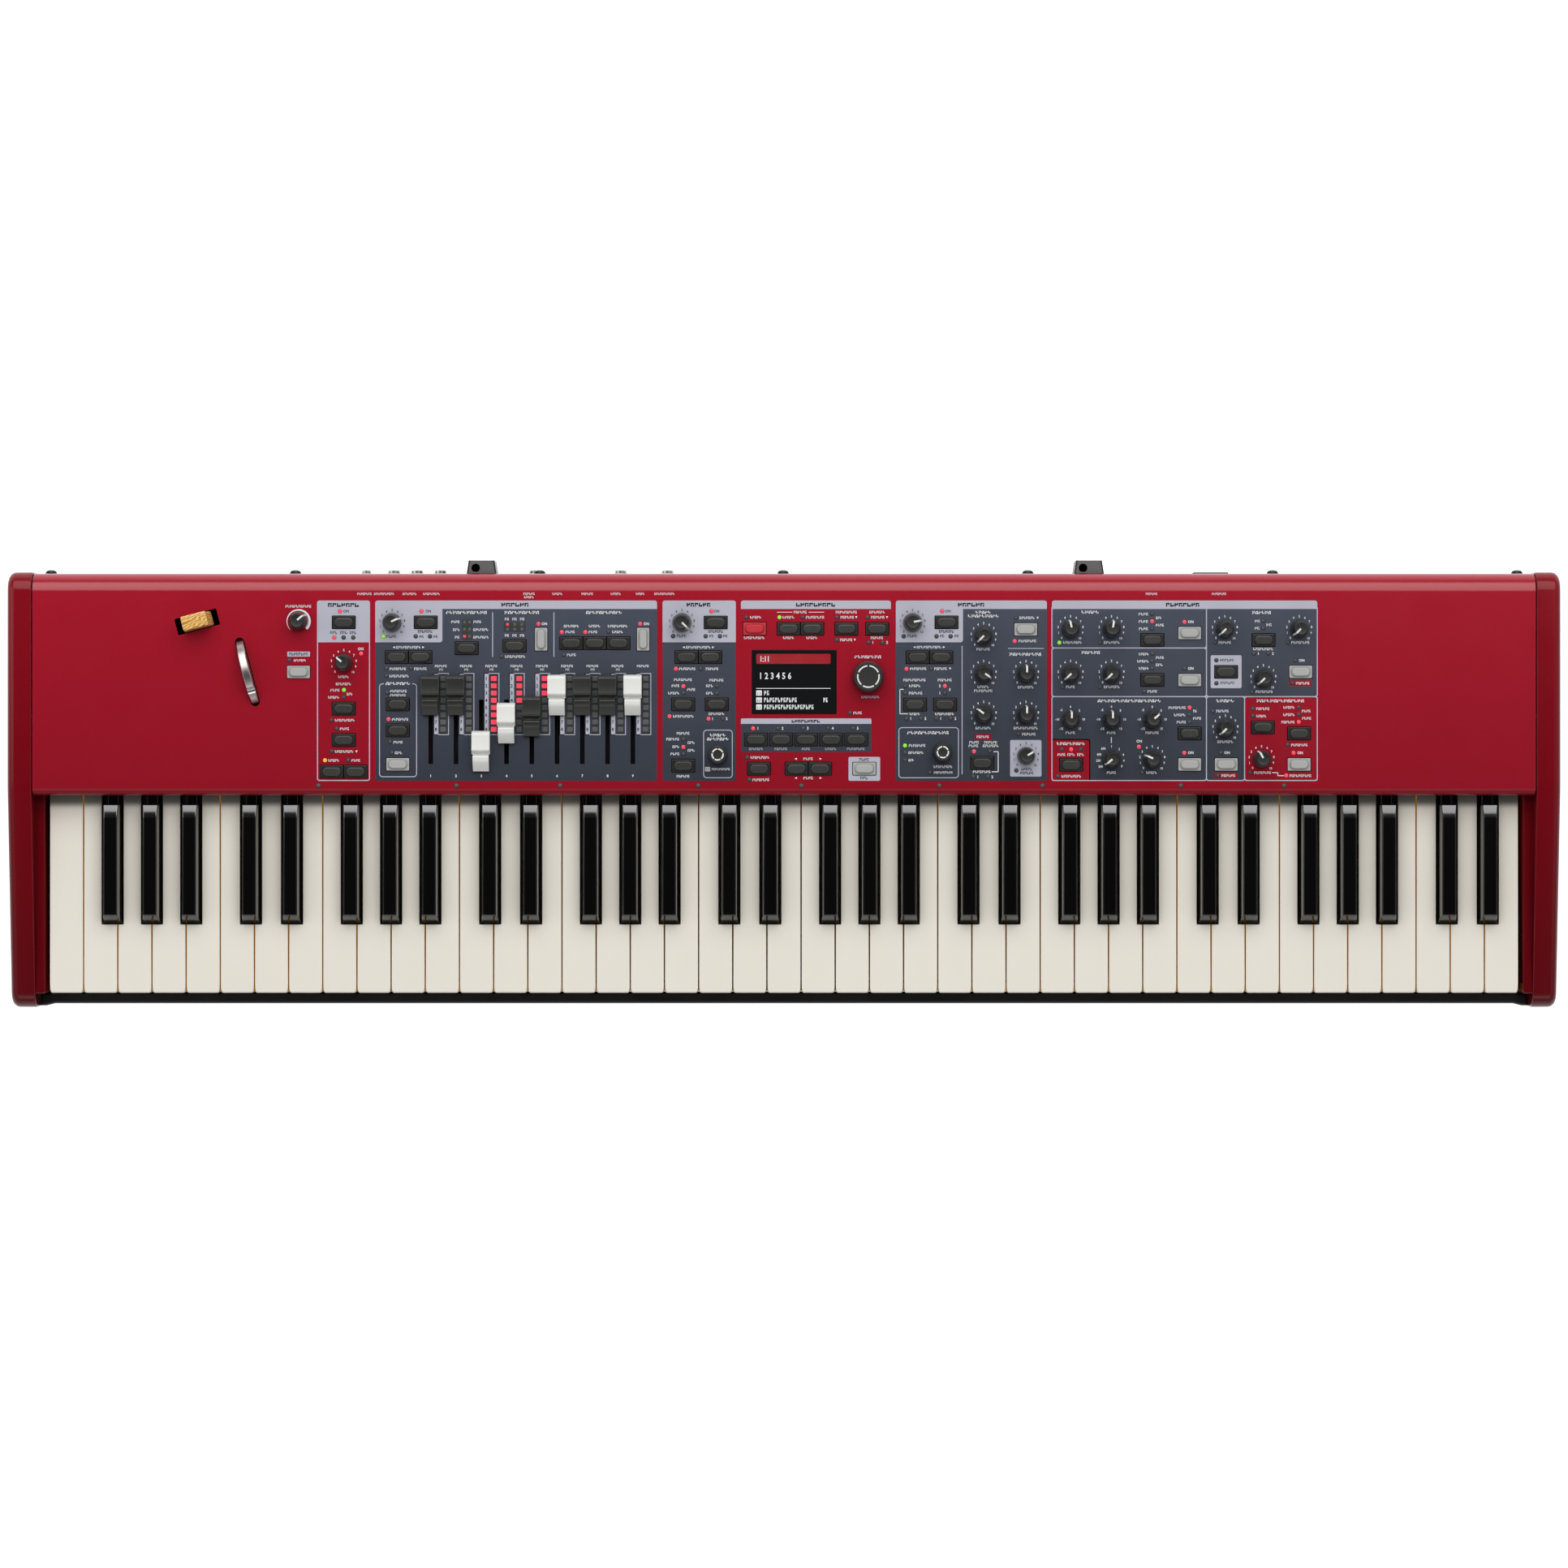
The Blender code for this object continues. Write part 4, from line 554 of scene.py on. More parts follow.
def settle(item, angle):
    # keeps what the modifiers make as the piece's own mesh
    bpy.context.view_layer.update()
    old = item.data
    mesh = bpy.data.meshes.new_from_object(item.evaluated_get(bpy.context.evaluated_depsgraph_get()))
    item.modifiers.clear()
    item.data, mesh.name = mesh, old.name
    bpy.data.meshes.remove(old)
    shadeSmooth(mesh, angle)


def carve(item, cutters, angle=32.0):
    # cuts shapes out of a piece and keeps the result as its mesh
    tools = []
    for number, cutter in enumerate(cutters):
        mesh = bpy.data.meshes.new("cutter")
        cutter.to_mesh(mesh)
        tool = bpy.data.objects.new(f"cutter.{number}", mesh)
        scene.collection.objects.link(tool)
        step = item.modifiers.new(f"cut {number}", "BOOLEAN")
        step.operation, step.solver, step.use_self, step.object = "DIFFERENCE", "EXACT", True, tool
        tools.append(tool)
    settle(item, angle)
    for tool in tools:
        bpy.data.objects.remove(tool, do_unlink=True)


def evenNormals(item):
    item.modifiers.new("normals", "WEIGHTED_NORMAL").keep_sharp = True


def soften(item, width, segments=3, angle=38.0):
    # rounds the sharp edges of a piece
    step = item.modifiers.new("edges", "BEVEL")
    step.width, step.segments, step.harden_normals = width, segments, False
    step.limit_method, step.angle_limit = "ANGLE", math.radians(angle)
    evenNormals(item)


# Sizes that pieces share, as in the part's source
deck = {"top": 0.080, "sheet": 0.002, "front": -0.0078, "rear": 0.145, "lip": 0.006, "lipBottom": 0.0625,
        "roll": 0.013, "half": 0.5162}
cheek = {"inner": 0.5170, "outer": 0.5340, "front": -0.1545, "rear": 0.146, "noseTop": 0.062, "foot": 0.008}
caseBottom = 0.0083
gap = {"seat": 0.0003, "slide": 0.0004}
button = {"width": 0.0157, "depth": 0.0086, "base": 0.0808, "top": 0.0826, "rowPitch": 0.0162,
          "programPitch": 0.0172}
buttonRows = {
    "rotary": [(-0.3334, 0.0769, 1), (-0.3023, 0.1110, 1), (-0.3023, 0.0518, 1), (-0.3023, 0.0302, 1),
               (-0.30235, 0.0085, 2)],
    "organ": [(-0.2460, 0.1110, 1), (-0.2578, 0.0871, 2), (-0.2652, 0.0546, 1), (-0.2652, 0.0368, 1),
              (-0.2652, 0.0135, 1), (-0.2179, 0.0932, 1), (-0.1850, 0.0948, 1), (-0.1299, 0.0967, 3)],
    "piano": [(-0.0469, 0.1109, 1), (-0.0588, 0.0871, 2), (-0.0692, 0.0546, 1), (-0.0462, 0.0546, 1),
              (-0.0692, 0.0126, 1)],
    "program": [(-0.0202, 0.1066, 1), (0.0113, 0.1066, 2), (0.0428, 0.1066, 1), (0.0640, 0.1066, 1),
                (0.0152, 0.0305, 5), (-0.0172, 0.0105, 1), (0.0167, 0.0105, 2), (0.0552, 0.0105, 1)],
    "synth": [(0.1116, 0.1110, 1), (0.0999, 0.0870, 2), (0.0900, 0.0545, 1), (0.1106, 0.0545, 1),
              (0.1660, 0.1061, 1), (0.1361, 0.0145, 1)],
    "effects": [(0.2530, 0.0989, 1), (0.2786, 0.1036, 1), (0.2530, 0.0715, 1), (0.2786, 0.0713, 1),
                (0.2786, 0.0347, 1), (0.2786, 0.0134, 1), (0.1972, 0.0132, 1), (0.3293, 0.0989, 1),
                (0.3036, 0.0770, 1), (0.3548, 0.0770, 1), (0.3037, 0.0134, 1), (0.3288, 0.0389, 1),
                (0.3537, 0.0347, 1), (0.3537, 0.0134, 1)],
}
uprightButtons = [(-0.1668, 0.0994), (-0.0967, 0.0994)]
lightButtons = [(-0.3334, 0.0769), (-0.2652, 0.0135), (-0.1668, 0.0994), (-0.0967, 0.0994), (0.0552, 0.0105),
                (0.1660, 0.1061), (0.2786, 0.1036), (0.2786, 0.0713), (0.2786, 0.0134), (0.3548, 0.0770),
                (0.3037, 0.0134), (0.3537, 0.0134)]
redButton = (-0.0202, 0.1066)
matOutlines = {
    "rotary": [(-0.343, 0.002), (-0.284, 0.002), (-0.284, 0.118), (-0.343, 0.118)],
    "organ": [(-0.280, 0.003), (-0.254, 0.003), (-0.254, 0.079), (-0.088, 0.079), (-0.088, 0.118),
              (-0.280, 0.118)],
    "piano": [(-0.081, 0.003), (-0.034, 0.003), (-0.034, 0.118), (-0.081, 0.118)],
    "program": [(-0.0285, 0.003), (0.073, 0.003), (0.073, 0.1135), (-0.0285, 0.1135), (-0.0285, 0.0995),
                (0.0455, 0.0995), (0.0455, 0.0390), (-0.0285, 0.0390)],
    "synth": [(0.0815, 0.003), (0.179, 0.003), (0.179, 0.118), (0.0815, 0.118)],
    "effects": [(0.186, 0.003), (0.365, 0.003), (0.365, 0.115), (0.186, 0.115)],
}
matBand = (0.0755, 0.0775)
# each knob's place and where its pointer stands, in degrees clockwise from straight up
levelKnobs = {
    "master_level_knob": (-0.3333, 0.1118, 50), "organ_level_knob": (-0.2691, 0.1108, 65),
    "piano_level_knob": (-0.0701, 0.1108, 135), "synth_level_knob": (0.0883, 0.1108, 80),
}
leftKnobs = [(-0.3023, 0.0833, -50)]
rightKnobs = [
    (0.1371, 0.1018, -135), (0.1371, 0.0758, 125), (0.1371, 0.0478, -52), (0.1662, 0.0758, 0),
    (0.1662, 0.0478, 0), (0.1662, 0.0193, 58), (0.1968, 0.1065, -12), (0.2249, 0.1065, 8),
    (0.1968, 0.0759, -135), (0.2249, 0.0759, -135), (0.1968, 0.0444, 0), (0.2249, 0.0444, 0),
    (0.2529, 0.0444, 50), (0.2249, 0.0172, -130), (0.2529, 0.0172, -65), (0.3027, 0.1065, -135),
    (0.3538, 0.1065, -135), (0.3292, 0.0728, -135), (0.3031, 0.0383, -135), (0.3279, 0.0172, -28),
]
programDial = {"at": (0.0577, 0.0735), "radius": 0.0109, "ring": 0.0073}
smallDials = {"left": (-0.0454, 0.0202), "right": (0.1086, 0.0218)}
smallDial = {"radius": 0.0067, "ring": 0.00375}
drawbar = {"pitch": 0.01735, "first": -0.2426, "slot": 0.0032, "slotRear": 0.058, "slotFront": 0.0137,
           "track": (-0.2500, -0.0950, 0.0090, 0.0625),
           "stroke": 0.0385, "blade": (0.0024, 0.005), "cap": (0.0124, 0.028), "low": 0.0815, "top": 0.0905,
           "stemShift": 0.0059, "steps": (0, 0, 8, 4, 3, 0, 0, 0, 0), "white": (3, 4, 6, 9)}
stick = {"at": (-0.4030, 0.1114), "opening": (0.0297, 0.0115), "size": (0.018, 0.010), "top": 0.098,
         "pivot": 0.055, "tilt": 14.7}
wheel = {"at": (-0.3685, 0.0770), "radius": 0.026, "axle": 0.066, "thick": 0.0054, "slot": (0.0064, 0.0485)}
window = (-0.0222, 0.0362, 0.0479, 0.0921)


def buttonPlaces(section):
    places = []
    for middle, y, count in buttonRows[section]:
        pitch = button["programPitch"] if count == 5 else button["rowPitch"]
        places += [(middle + pitch * (i - (count - 1) / 2), y) for i in range(count)]
    return places


def drawbarX(number):
    return drawbar["first"] + drawbar["pitch"] * number


def tiltedMove(centre):
    return Matrix.Translation((*centre, 0)) @ Matrix.Rotation(math.radians(stick["tilt"]), 4, "Z")


knobShafts = [(x, y) for x, y, _ in list(levelKnobs.values()) + leftKnobs + rightKnobs]
knobShafts += [programDial["at"], smallDials["left"], smallDials["right"]]


def deckCutters(low, high, extra=0.0):
    # the deck's holes, as shapes from low to high; extra widens them for the prints
    wide, deep = [button[side] + 2 * gap["slide"] + 2 * extra for side in ("width", "depth")]
    places = [place for section in buttonRows for place in enumerate(buttonPlaces(section))]
    # neighbours are cut apart from each other, so that no two cutters of a set touch
    first, second = [[prism(rectAt(centre, wide, deep, 0.0005, 2), low, high)
                      for number, centre in places if number % 2 == odd] for odd in (1, 0)]
    first += [prism(rectAt(centre, deep, wide, 0.0005, 2), low, high) for centre in uprightButtons]
    third = [prism(circleAt(centre, 0.0034 + extra, 20), low, high) for centre in knobShafts]
    half = drawbar["slot"] / 2
    third += [prism(roundedRect(drawbarX(i) - half, drawbarX(i) + half, drawbar["slotFront"], drawbar["slotRear"],
                                0.0003, 2), low, high) for i in range(9)]
    third.append(prism(roundedRect(*window, 0.0006, 3), low, high))
    for part, size, radius, steps in ((stick, "opening", 0.0008, 3), (wheel, "slot", wheel["slot"][0] / 2, 10)):
        opening = prism(rectAt((0, 0), *part[size], radius, steps), low, high)
        third.append(moved(opening, tiltedMove(part["at"])))
    return [joined(first), joined(second), joined(third)]


# The deck: one sheet with a rounded front lip and a rolled rear edge
def makeDeck():
    lip, roll, sheet = deck["lip"], deck["roll"], deck["sheet"]
    front, bottom, top = deck["front"], deck["lipBottom"], deck["top"]
    lipAt, rollAt = (front + lip, top - lip), (deck["rear"] - roll, top - roll)
    profile = [(front, bottom + 0.0003)] + arc(lipAt, lip, 180, 90, 14) + arc(rollAt, roll, 90, 0, 20)
    profile += arc(rollAt, roll - sheet, 0, 90, 16) + arc(lipAt, lip - sheet, 90, 180, 10)
    profile += [(front + sheet, bottom + 0.0003), (front + sheet - 0.0005, bottom), (front + 0.0005, bottom)]
    shape = sidePrism(profile, -deck["half"], deck["half"])
    # the lip's forward faces take the painted shade copy of the red
    paintedWhere(shape, lambda face: face.normal.y < -0.35 and face.calc_center_median().y < front + lip)
    item = addPiece("top_panel_sheet", shape, ["deckRed", "lipRedShaded"], "case", replaces=("top_panel",))
    carve(item, deckCutters(top - sheet - 0.002, top + 0.002), 25.0)
    evenNormals(item)
    settle(item, 25.0)


makeDeck()


def screwHead(x, y, z, radius, proud, turn):
    # a domed head with a dark cross on it, painted shade for the cross's recess, standing on a small dark seat
    dome = ((1, 0), (1, 0.35), (0.86, 0.75), (0.5, 1))
    rings = [(radius * across, z + proud * up) for across, up in dome]
    bar = rectAt((0, 0), radius * 0.8, radius * 0.2), -0.00002, 0.00008
    cross = joined([prism(*bar), moved(prism(*bar), Matrix.Rotation(math.pi / 2, 4, "Z"))])
    move = Matrix.Translation((x, y, z + proud)) @ Matrix.Rotation(turn, 4, "Z")
    return merge(turnedRings((x, y), rings, 20), painted(cross, 1), move)


def screwsFacing(radius, proud, places, side):
    # screws on another side of the case: each a place and the turn of its cross
    return joined([moved(screwHead(0, 0, 0, radius, proud, turn), Matrix.Translation(place) @ side)
                   for place, turn in places])


deckScrews = {"x": (-0.3197, -0.2249, -0.1538, -0.0589, 0.0120, 0.1067, 0.1775, 0.2725, 0.3434), "y": -0.0011,
              "radius": 0.0012, "proud": 0.00025}


def makeDeckScrews():
    shapes, y, top = [], deckScrews["y"], deck["top"]
    for number, x in enumerate(deckScrews["x"]):
        shapes.append(screwHead(x, y, top + 0.0001, deckScrews["radius"], deckScrews["proud"], number * 0.7))
        seat = [(0.0018, top - 0.0002), (0.0018, top + 0.0001), (0.0015, top + 0.00015)]
        shapes.append(painted(turnedRings((x, y), seat, 20), 1))
    addPiece("deck_screws", joined(shapes), ["screwBrown", "lampRim"], "case")


makeDeckScrews()
print("deck is cut and screwed")


# End cheeks: thick lacquered ends, level behind and sloping down to a rounded nose beside the keys
def cheekProfile():
    roll, nose, low = 0.013, 0.012, cheek["foot"]
    rear, front, top = cheek["rear"], cheek["front"], deck["top"]
    slope = math.degrees(math.atan2(top - cheek["noseTop"], -(front + nose) + deck["front"]))
    points = arc((rear - 0.006, low + 0.006), 0.006, -90, 0, 6)
    points += arc((rear - roll, top - roll), roll, 0, 90, 18)
    points += [(deck["front"] + 0.010, top), (deck["front"] + 0.004, top - 0.0001), (deck["front"], top - 0.0006)]
    points += arc((front + nose, cheek["noseTop"] - nose), nose, 90 + slope, 180, 16)
    points += arc((front + 0.008, low + 0.008), 0.008, 180, 270, 8)
    return points


def roundedSlab(profile, inner, outer, innerEdge, outerEdge, steps):
    # the side profile pushed across X, with a rounded edge on each side
    side, turns = (1 if outer > inner else -1), [math.pi / 2 * i / steps for i in range(steps + 1)]
    rings = [(inner + side * innerEdge * (1 - math.cos(t)), innerEdge * (1 - math.sin(t))) for t in turns]
    rings += [(outer - side * outerEdge * (1 - math.cos(t)), outerEdge * (1 - math.sin(t))) for t in turns[::-1]]
    return loft([sideways(inset(profile, d), x) for x, d in rings])


def makeCheeks():
    for name, side in (("left", -1), ("right", 1)):
        shape = roundedSlab(cheekProfile(), side * cheek["inner"], side * cheek["outer"], 0.0009, 0.0055, 8)
        addPiece(f"{name}_cheek", shape, "cheekRed", "case", 30.0, (f"{name}_end_cheek",))
        edges = sorted((side * 0.5104, side * (cheek["inner"] + 0.0005)))
        block = prism(roundedRect(*edges, -0.1446, -0.0040, 0.0006, 2), caseBottom, 0.061)
        soften(addPiece(f"{name}_key_block", block, "cheekRed", "case"), 0.0008)


makeCheeks()


# Front rail, which flares forward to the noses of the cheeks
def makeFrontRail():
    front, rear, half, high = -0.1525, -0.1452, 0.5167, 0.038
    plan = [(-half, rear), (-half, front - 0.0016), (-half + 0.004, front - 0.0015), (-half + 0.010, front),
            (half - 0.010, front), (half - 0.004, front - 0.0015), (half, front - 0.0016), (half, rear)]
    shape = roundedPrism(plan, caseBottom, high, 0.0016, 4, both=True)
    addPiece("front_rail_bar", shape, "railBlack", "case", 30.0, ("front_rail",))


makeFrontRail()
print("cheeks and front rail are on")


# Keys
# notes are counted in semitones from a C; the keys of the middle octave move one by one
keyboard = {"whites": 43, "firstNote": 4, "middle": (36, 47),
            "pitch": 0.0236, "half": 0.5074, "gap": 0.0009, "top": 0.060, "front": -0.1443, "slab": 0.010,
            "skirt": (0.040, 0.006), "whiteRear": 0.039, "notch": -0.09705, "slot": 0.0152, "pivot": 0.036,
            "heelLow": 0.0440, "cornerRound": 0.0018, "leadRound": 0.0012}
blackKey = {"width": 0.0127, "top": 0.0094, "front": -0.0958, "rear": -0.0137, "frontSlope": 0.0055,
            "rearFlat": 0.0094, "drop": 0.0021, "high": 0.073, "low": 0.051, "lever": (0.0515, 0.057),
            "leverWidth": 0.008, "heel": (0.042, 0.048), "shoulder": 0.0605}
blackOffsets = {1: -0.00235, 3: 0.00235, 6: -0.00355, 8: 0.0, 10: 0.00355}
noteNames = ("c", "c_sharp", "d", "d_sharp", "e", "f", "f_sharp", "g", "g_sharp", "a", "a_sharp", "b")


def keyPlaces():
    # each key's semitone, whether it is white, and its middle
    places, white, semitone = [], 0, keyboard["firstNote"]
    while white < keyboard["whites"]:
        step = semitone % 12
        if step in blackOffsets:
            places.append((semitone, False, -keyboard["half"] + keyboard["pitch"] * white + blackOffsets[step]))
        else:
            places.append((semitone, True, -keyboard["half"] + keyboard["pitch"] * (white + 0.5)))
            white += 1
        semitone += 1
    return places


def whiteKeyShape(middle, below, above):
    # the slab with its notches; its front strip goes down as the skirt, so the front is one face
    half = (keyboard["pitch"] - keyboard["gap"]) / 2
    left = middle - (below + keyboard["slot"] / 2) if below is not None else half
    right = (above - keyboard["slot"] / 2) - middle if above is not None else half
    front, notch, rear = keyboard["front"], keyboard["notch"], keyboard["whiteRear"]
    strip = front + keyboard["skirt"][1]
    top, low = keyboard["top"], keyboard["top"] - keyboard["slab"]
    outline = [(middle - half, strip), (middle - half, front), (middle + half, front), (middle + half, strip)]
    outline += [(middle + half, notch), (middle + right, notch)] if right < half else []
    outline += [(middle + right, rear), (middle - left, rear)]
    outline += [(middle - left, notch), (middle - half, notch)] if left < half else []
    shape = bmesh.new()
    upper, lower = [[shape.verts.new(point) for point in flat(outline, z)] for z in (top, low)]
    shape.faces.new(upper)
    shape.faces.new([lower[0]] + lower[:2:-1])
    walls(shape, upper, lower)
    foot = [shape.verts.new(point) for point in flat(outline[:4], keyboard["skirt"][0])]
    shape.faces.new(foot)
    walls(shape, lower[:4], foot)
    bmesh.ops.recalc_face_normals(shape, faces=shape.faces)
    ends = [e for e in shape.edges if all(abs(v.co.y - front) < 1e-6 for v in e.verts)
            and abs(e.verts[0].co.x - e.verts[1].co.x) < 1e-6]
    bmesh.ops.bevel(shape, geom=ends, offset=keyboard["cornerRound"], segments=4, profile=0.5, affect="EDGES")
    reach = front + keyboard["cornerRound"] - 1e-5
    lead = [e for e in shape.edges if all(v.co.y < reach + 2e-5 and abs(v.co.z - top) < 1e-6 for v in e.verts)
            and min(v.co.y for v in e.verts) < reach]
    bmesh.ops.bevel(shape, geom=lead, offset=keyboard["leadRound"], segments=4, profile=0.5, affect="EDGES")
    heel = rectAt((middle, keyboard["pivot"]), min(left, right) * 1.1, 0.006)
    heel = prism(heel, keyboard["heelLow"], low + 0.001)
    # the outer sides take the gold, glowing painted light of the gaps
    return paintedWhere(merge(shape, heel), lambda face: abs(face.normal.x) > 0.7 and
                        abs(abs(face.calc_center_median().x - middle) - half) < 0.0003)


def blackKeyShape(middle):
    base, top = blackKey["width"] / 2, blackKey["top"] / 2
    front, rear = blackKey["front"], blackKey["rear"]
    high, drop, slope = blackKey["high"], blackKey["drop"], blackKey["frontSlope"]
    part = 1 - drop / (high - blackKey["shoulder"])
    rings = ((base, front, rear, blackKey["low"]), (base, front, rear, blackKey["shoulder"]),
             (base + (top - base) * part, front + slope * part, rear - 0.0004, high - drop),
             (top, front + slope, rear - blackKey["rearFlat"], high))
    shape = loft([flat(roundedRect(middle - half, middle + half, start, end), z)
                  for half, start, end, z in rings])
    # the rear facet takes the painted highlight copy of the ebony
    paintedWhere(shape, lambda face: face.normal.y > 0.05 and face.normal.z > 0.8)
    edges, heel = (middle - blackKey["leverWidth"] / 2, middle + blackKey["leverWidth"] / 2), blackKey["heel"]
    merge(shape, prism(roundedRect(*edges, rear - 0.01, heel[1]), *blackKey["lever"]))
    return merge(shape, prism(roundedRect(*edges, *heel), keyboard["heelLow"], blackKey["lever"][0] + 0.001))


def makeKeys():
    places = keyPlaces()
    blacks = {semitone: middle for semitone, isWhite, middle in places if not isWhite}
    counts, (first, last) = {"white": 0, "black": 0}, keyboard["middle"]
    for semitone, isWhite, middle in places:
        side, colour = "bass" if semitone < first else "treble", "white" if isWhite else "black"
        node = f"key_{noteNames[semitone % 12]}" if first <= semitone <= last else f"{side}_{colour}_keys"
        counts[colour] += 1
        if isWhite:
            shape = whiteKeyShape(middle, blacks.get(semitone - 1), blacks.get(semitone + 1))
            looks, slot, edge = ["keyIvory", "keySide"], "ivory", 0.0005
        else:
            shape, looks, slot, edge = blackKeyShape(middle), ["keyEbony", "keyShoulder"], "ebony", 0.0007
        name = f"{colour}_key_{counts[colour]:02d}"
        soften(addPiece(name, shape, looks, node, replaces=(node,)), edge)
    for side in ("bass", "treble"):
        for colour, band, top, look in (("white", (0.033, 0.039), 0.0495, "keyIvory"),
                                        ("black", blackKey["heel"], 0.056, "keyEbony")):
            mine = [middle for semitone, isWhite, middle in places if isWhite == (colour == "white")
                    and (semitone < first if side == "bass" else semitone > last)]
            rail = roundedRect(min(mine) - 0.004, max(mine) + 0.004, *band, 0.0004, 2)
            addPiece(f"{side}_{colour}_key_rail", prism(rail, keyboard["heelLow"], top), look,
                     f"{side}_{colour}_keys")


makeKeys()
print("keys are laid:", len(keyPlaces()))


# Buttons: a rectangular base with an obround cap, moulded to a mat under the deck
def buttonShape(centre, width, depth, index):
    x, y = centre
    base = roundedPrism(rectAt((x, y), width, depth, 0.0006, 3), 0.0765, button["base"], 0.00045, 3)
    capWidth, capDepth = width - 0.0028, depth - 0.0021
    outline = rectAt((x, y), capWidth, capDepth, min(capWidth, capDepth) * 0.48, 7)
    low = button["base"] - 0.0004
    rise = [(0.0, low), (0.0, button["base"] + 0.0005), (0.0003, button["top"] - 0.0008),
            (0.0006, button["top"] - 0.0002), (0.0009, button["top"]), (0.0012, button["top"])]
    cap = loft([flat(inset(outline, d), z) for d, z in rise])
    return joined([painted(base, 3 if index == 0 else index), painted(cap, index)])


def buttonLook(centre):
    if math.dist(centre, redButton) < 0.001:
        return 2
    return 1 if any(math.dist(centre, other) < 0.001 for other in lightButtons) else 0


def makeButtons():
    for section in buttonRows:
        node, outline = f"{section}_buttons", matOutlines[section]
        mat = addPiece(f"{section}_button_mat", prism(outline, *matBand), "footRubber", node, replaces=(node,))
        xs = [x for x, _ in outline]
        carve(mat, [joined([prism(circleAt(centre, 0.0040, 20), matBand[0] - 0.001, matBand[1] + 0.001)
                            for centre in knobShafts if min(xs) < centre[0] < max(xs)])])
        places = [(centre, button["width"], button["depth"]) for centre in buttonPlaces(section)]
        if section == "organ":
            places += [(centre, button["depth"], button["width"]) for centre in uprightButtons]
        shapes = [buttonShape(*place, buttonLook(place[0])) for place in places]
        addPiece(f"{section}_button_caps", joined(shapes),
                 ["buttonDark", "buttonLight", "buttonRed", "buttonSeat"], node, 40.0)


makeButtons()
print("buttons are in")


# Knobs and dials
knobBand = (deck["top"] + 0.0008, deck["top"] + 0.0154)


def pointerShape(radius, topRadius, base, top, width, start):
    # a white bar on the knob's top that bends over the edge and runs down its side
    skin = 0.00012
    line = [(start, top), (topRadius - 0.0011, top), (topRadius - 0.0002, top - 0.0004),
            (topRadius + 0.0001, top - 0.0010), (radius, base + 0.0030), (radius, base + 0.0008)]
    outer = [(r, z + skin) if i < 2 else (r + skin, z + (skin if i == 2 else 0)) for i, (r, z) in enumerate(line)]
    inner = [(r - 0.0004, z - 0.0004) for r, z in reversed(line)]
    return sidePrism(outer + inner, -width / 2, width / 2)


def knobShape(centre, radius, topRadius, low, pointer):
    base, top = knobBand
    rings = [(0.003, low), (0.003, base), (radius - 0.0005, base), (radius - 0.0001, base + 0.0003),
             (radius, base + 0.0007), (radius, base + 0.0030), (topRadius + 0.0001, top - 0.0010),
             (topRadius - 0.0002, top - 0.0004), (topRadius - 0.0008, top),
             (topRadius - 0.0014, top - 0.0001), (topRadius * 0.4, top - 0.00015)]
    bar = painted(pointerShape(radius, topRadius, base, top, 0.00125, 0.0007), 1)
    move = Matrix.Translation((*centre, 0)) @ Matrix.Rotation(math.radians(-pointer), 4, "Z")
    return merge(turnedRings(centre, rings, 56), bar, move)


def dashedRing(centre, radius, width, low, high, dashes, span, turn):
    shapes = []
    for number in range(dashes):
        start = turn + 360 / dashes * number - span / 2
        outer = arc(centre, radius + width / 2, start, start + span, 14)
        shapes.append(prism(outer + arc(centre, radius - width / 2, start + span, start, 14), low, high))
    return joined(shapes)


def dialShape(centre, radius, ring, low):
    # a ribbed rim, a flat top and a broken white ring
    base, top = knobBand
    topRadius = radius - 0.0011
    ribs = 44 if radius > 0.009 else 30
    side = ((0.003, low, 0), (0.003, base, 0), (radius - 0.0004, base, 0), (radius, base + 0.0005, 1),
            (radius, base + 0.0030, 1), (topRadius + 0.0003, top - 0.0014, 1), (topRadius, top - 0.0006, 0),
            (topRadius - 0.0007, top, 0), (topRadius * 0.5, top - 0.0001, 0))
    rings, turns = [], [math.tau * i / (ribs * 4) for i in range(ribs * 4)]
    for reach, z, wave in side:
        deep = [reach - 0.00012 * wave * (1 + math.cos(turn * ribs)) for turn in turns]
        rings.append([(centre[0] + d * math.cos(turn), centre[1] + d * math.sin(turn), z)
                      for d, turn in zip(deep, turns)])
    mark = dashedRing(centre, ring, 0.00095, top - 0.0002, top + 0.00008, 5, 61, 126)
    return merge(loft(rings), painted(mark, 1))


# each kind of knob: its radius at the foot and at the top
knobSizes, knobLooks = {"level": (0.0065, 0.0049), "small": (0.0061, 0.0047)}, ["knobBlack", "capWhite"]
potBand = (0.0668, 0.0726)
pillars = {
    "left": [(-0.348, 0.006), (-0.348, 0.121), (-0.0845, 0.006), (-0.0845, 0.121), (0.0752, 0.006)],
    "right": [(0.0796, 0.006), (0.0796, 0.121), (0.1825, 0.006), (0.1825, 0.121), (0.3685, 0.006)],
}
boardEdges = {"left": (-0.352, 0.0770, 0.002, 0.125), "right": (0.0778, 0.372, 0.002, 0.125)}
underDeck = deck["top"] - deck["sheet"]


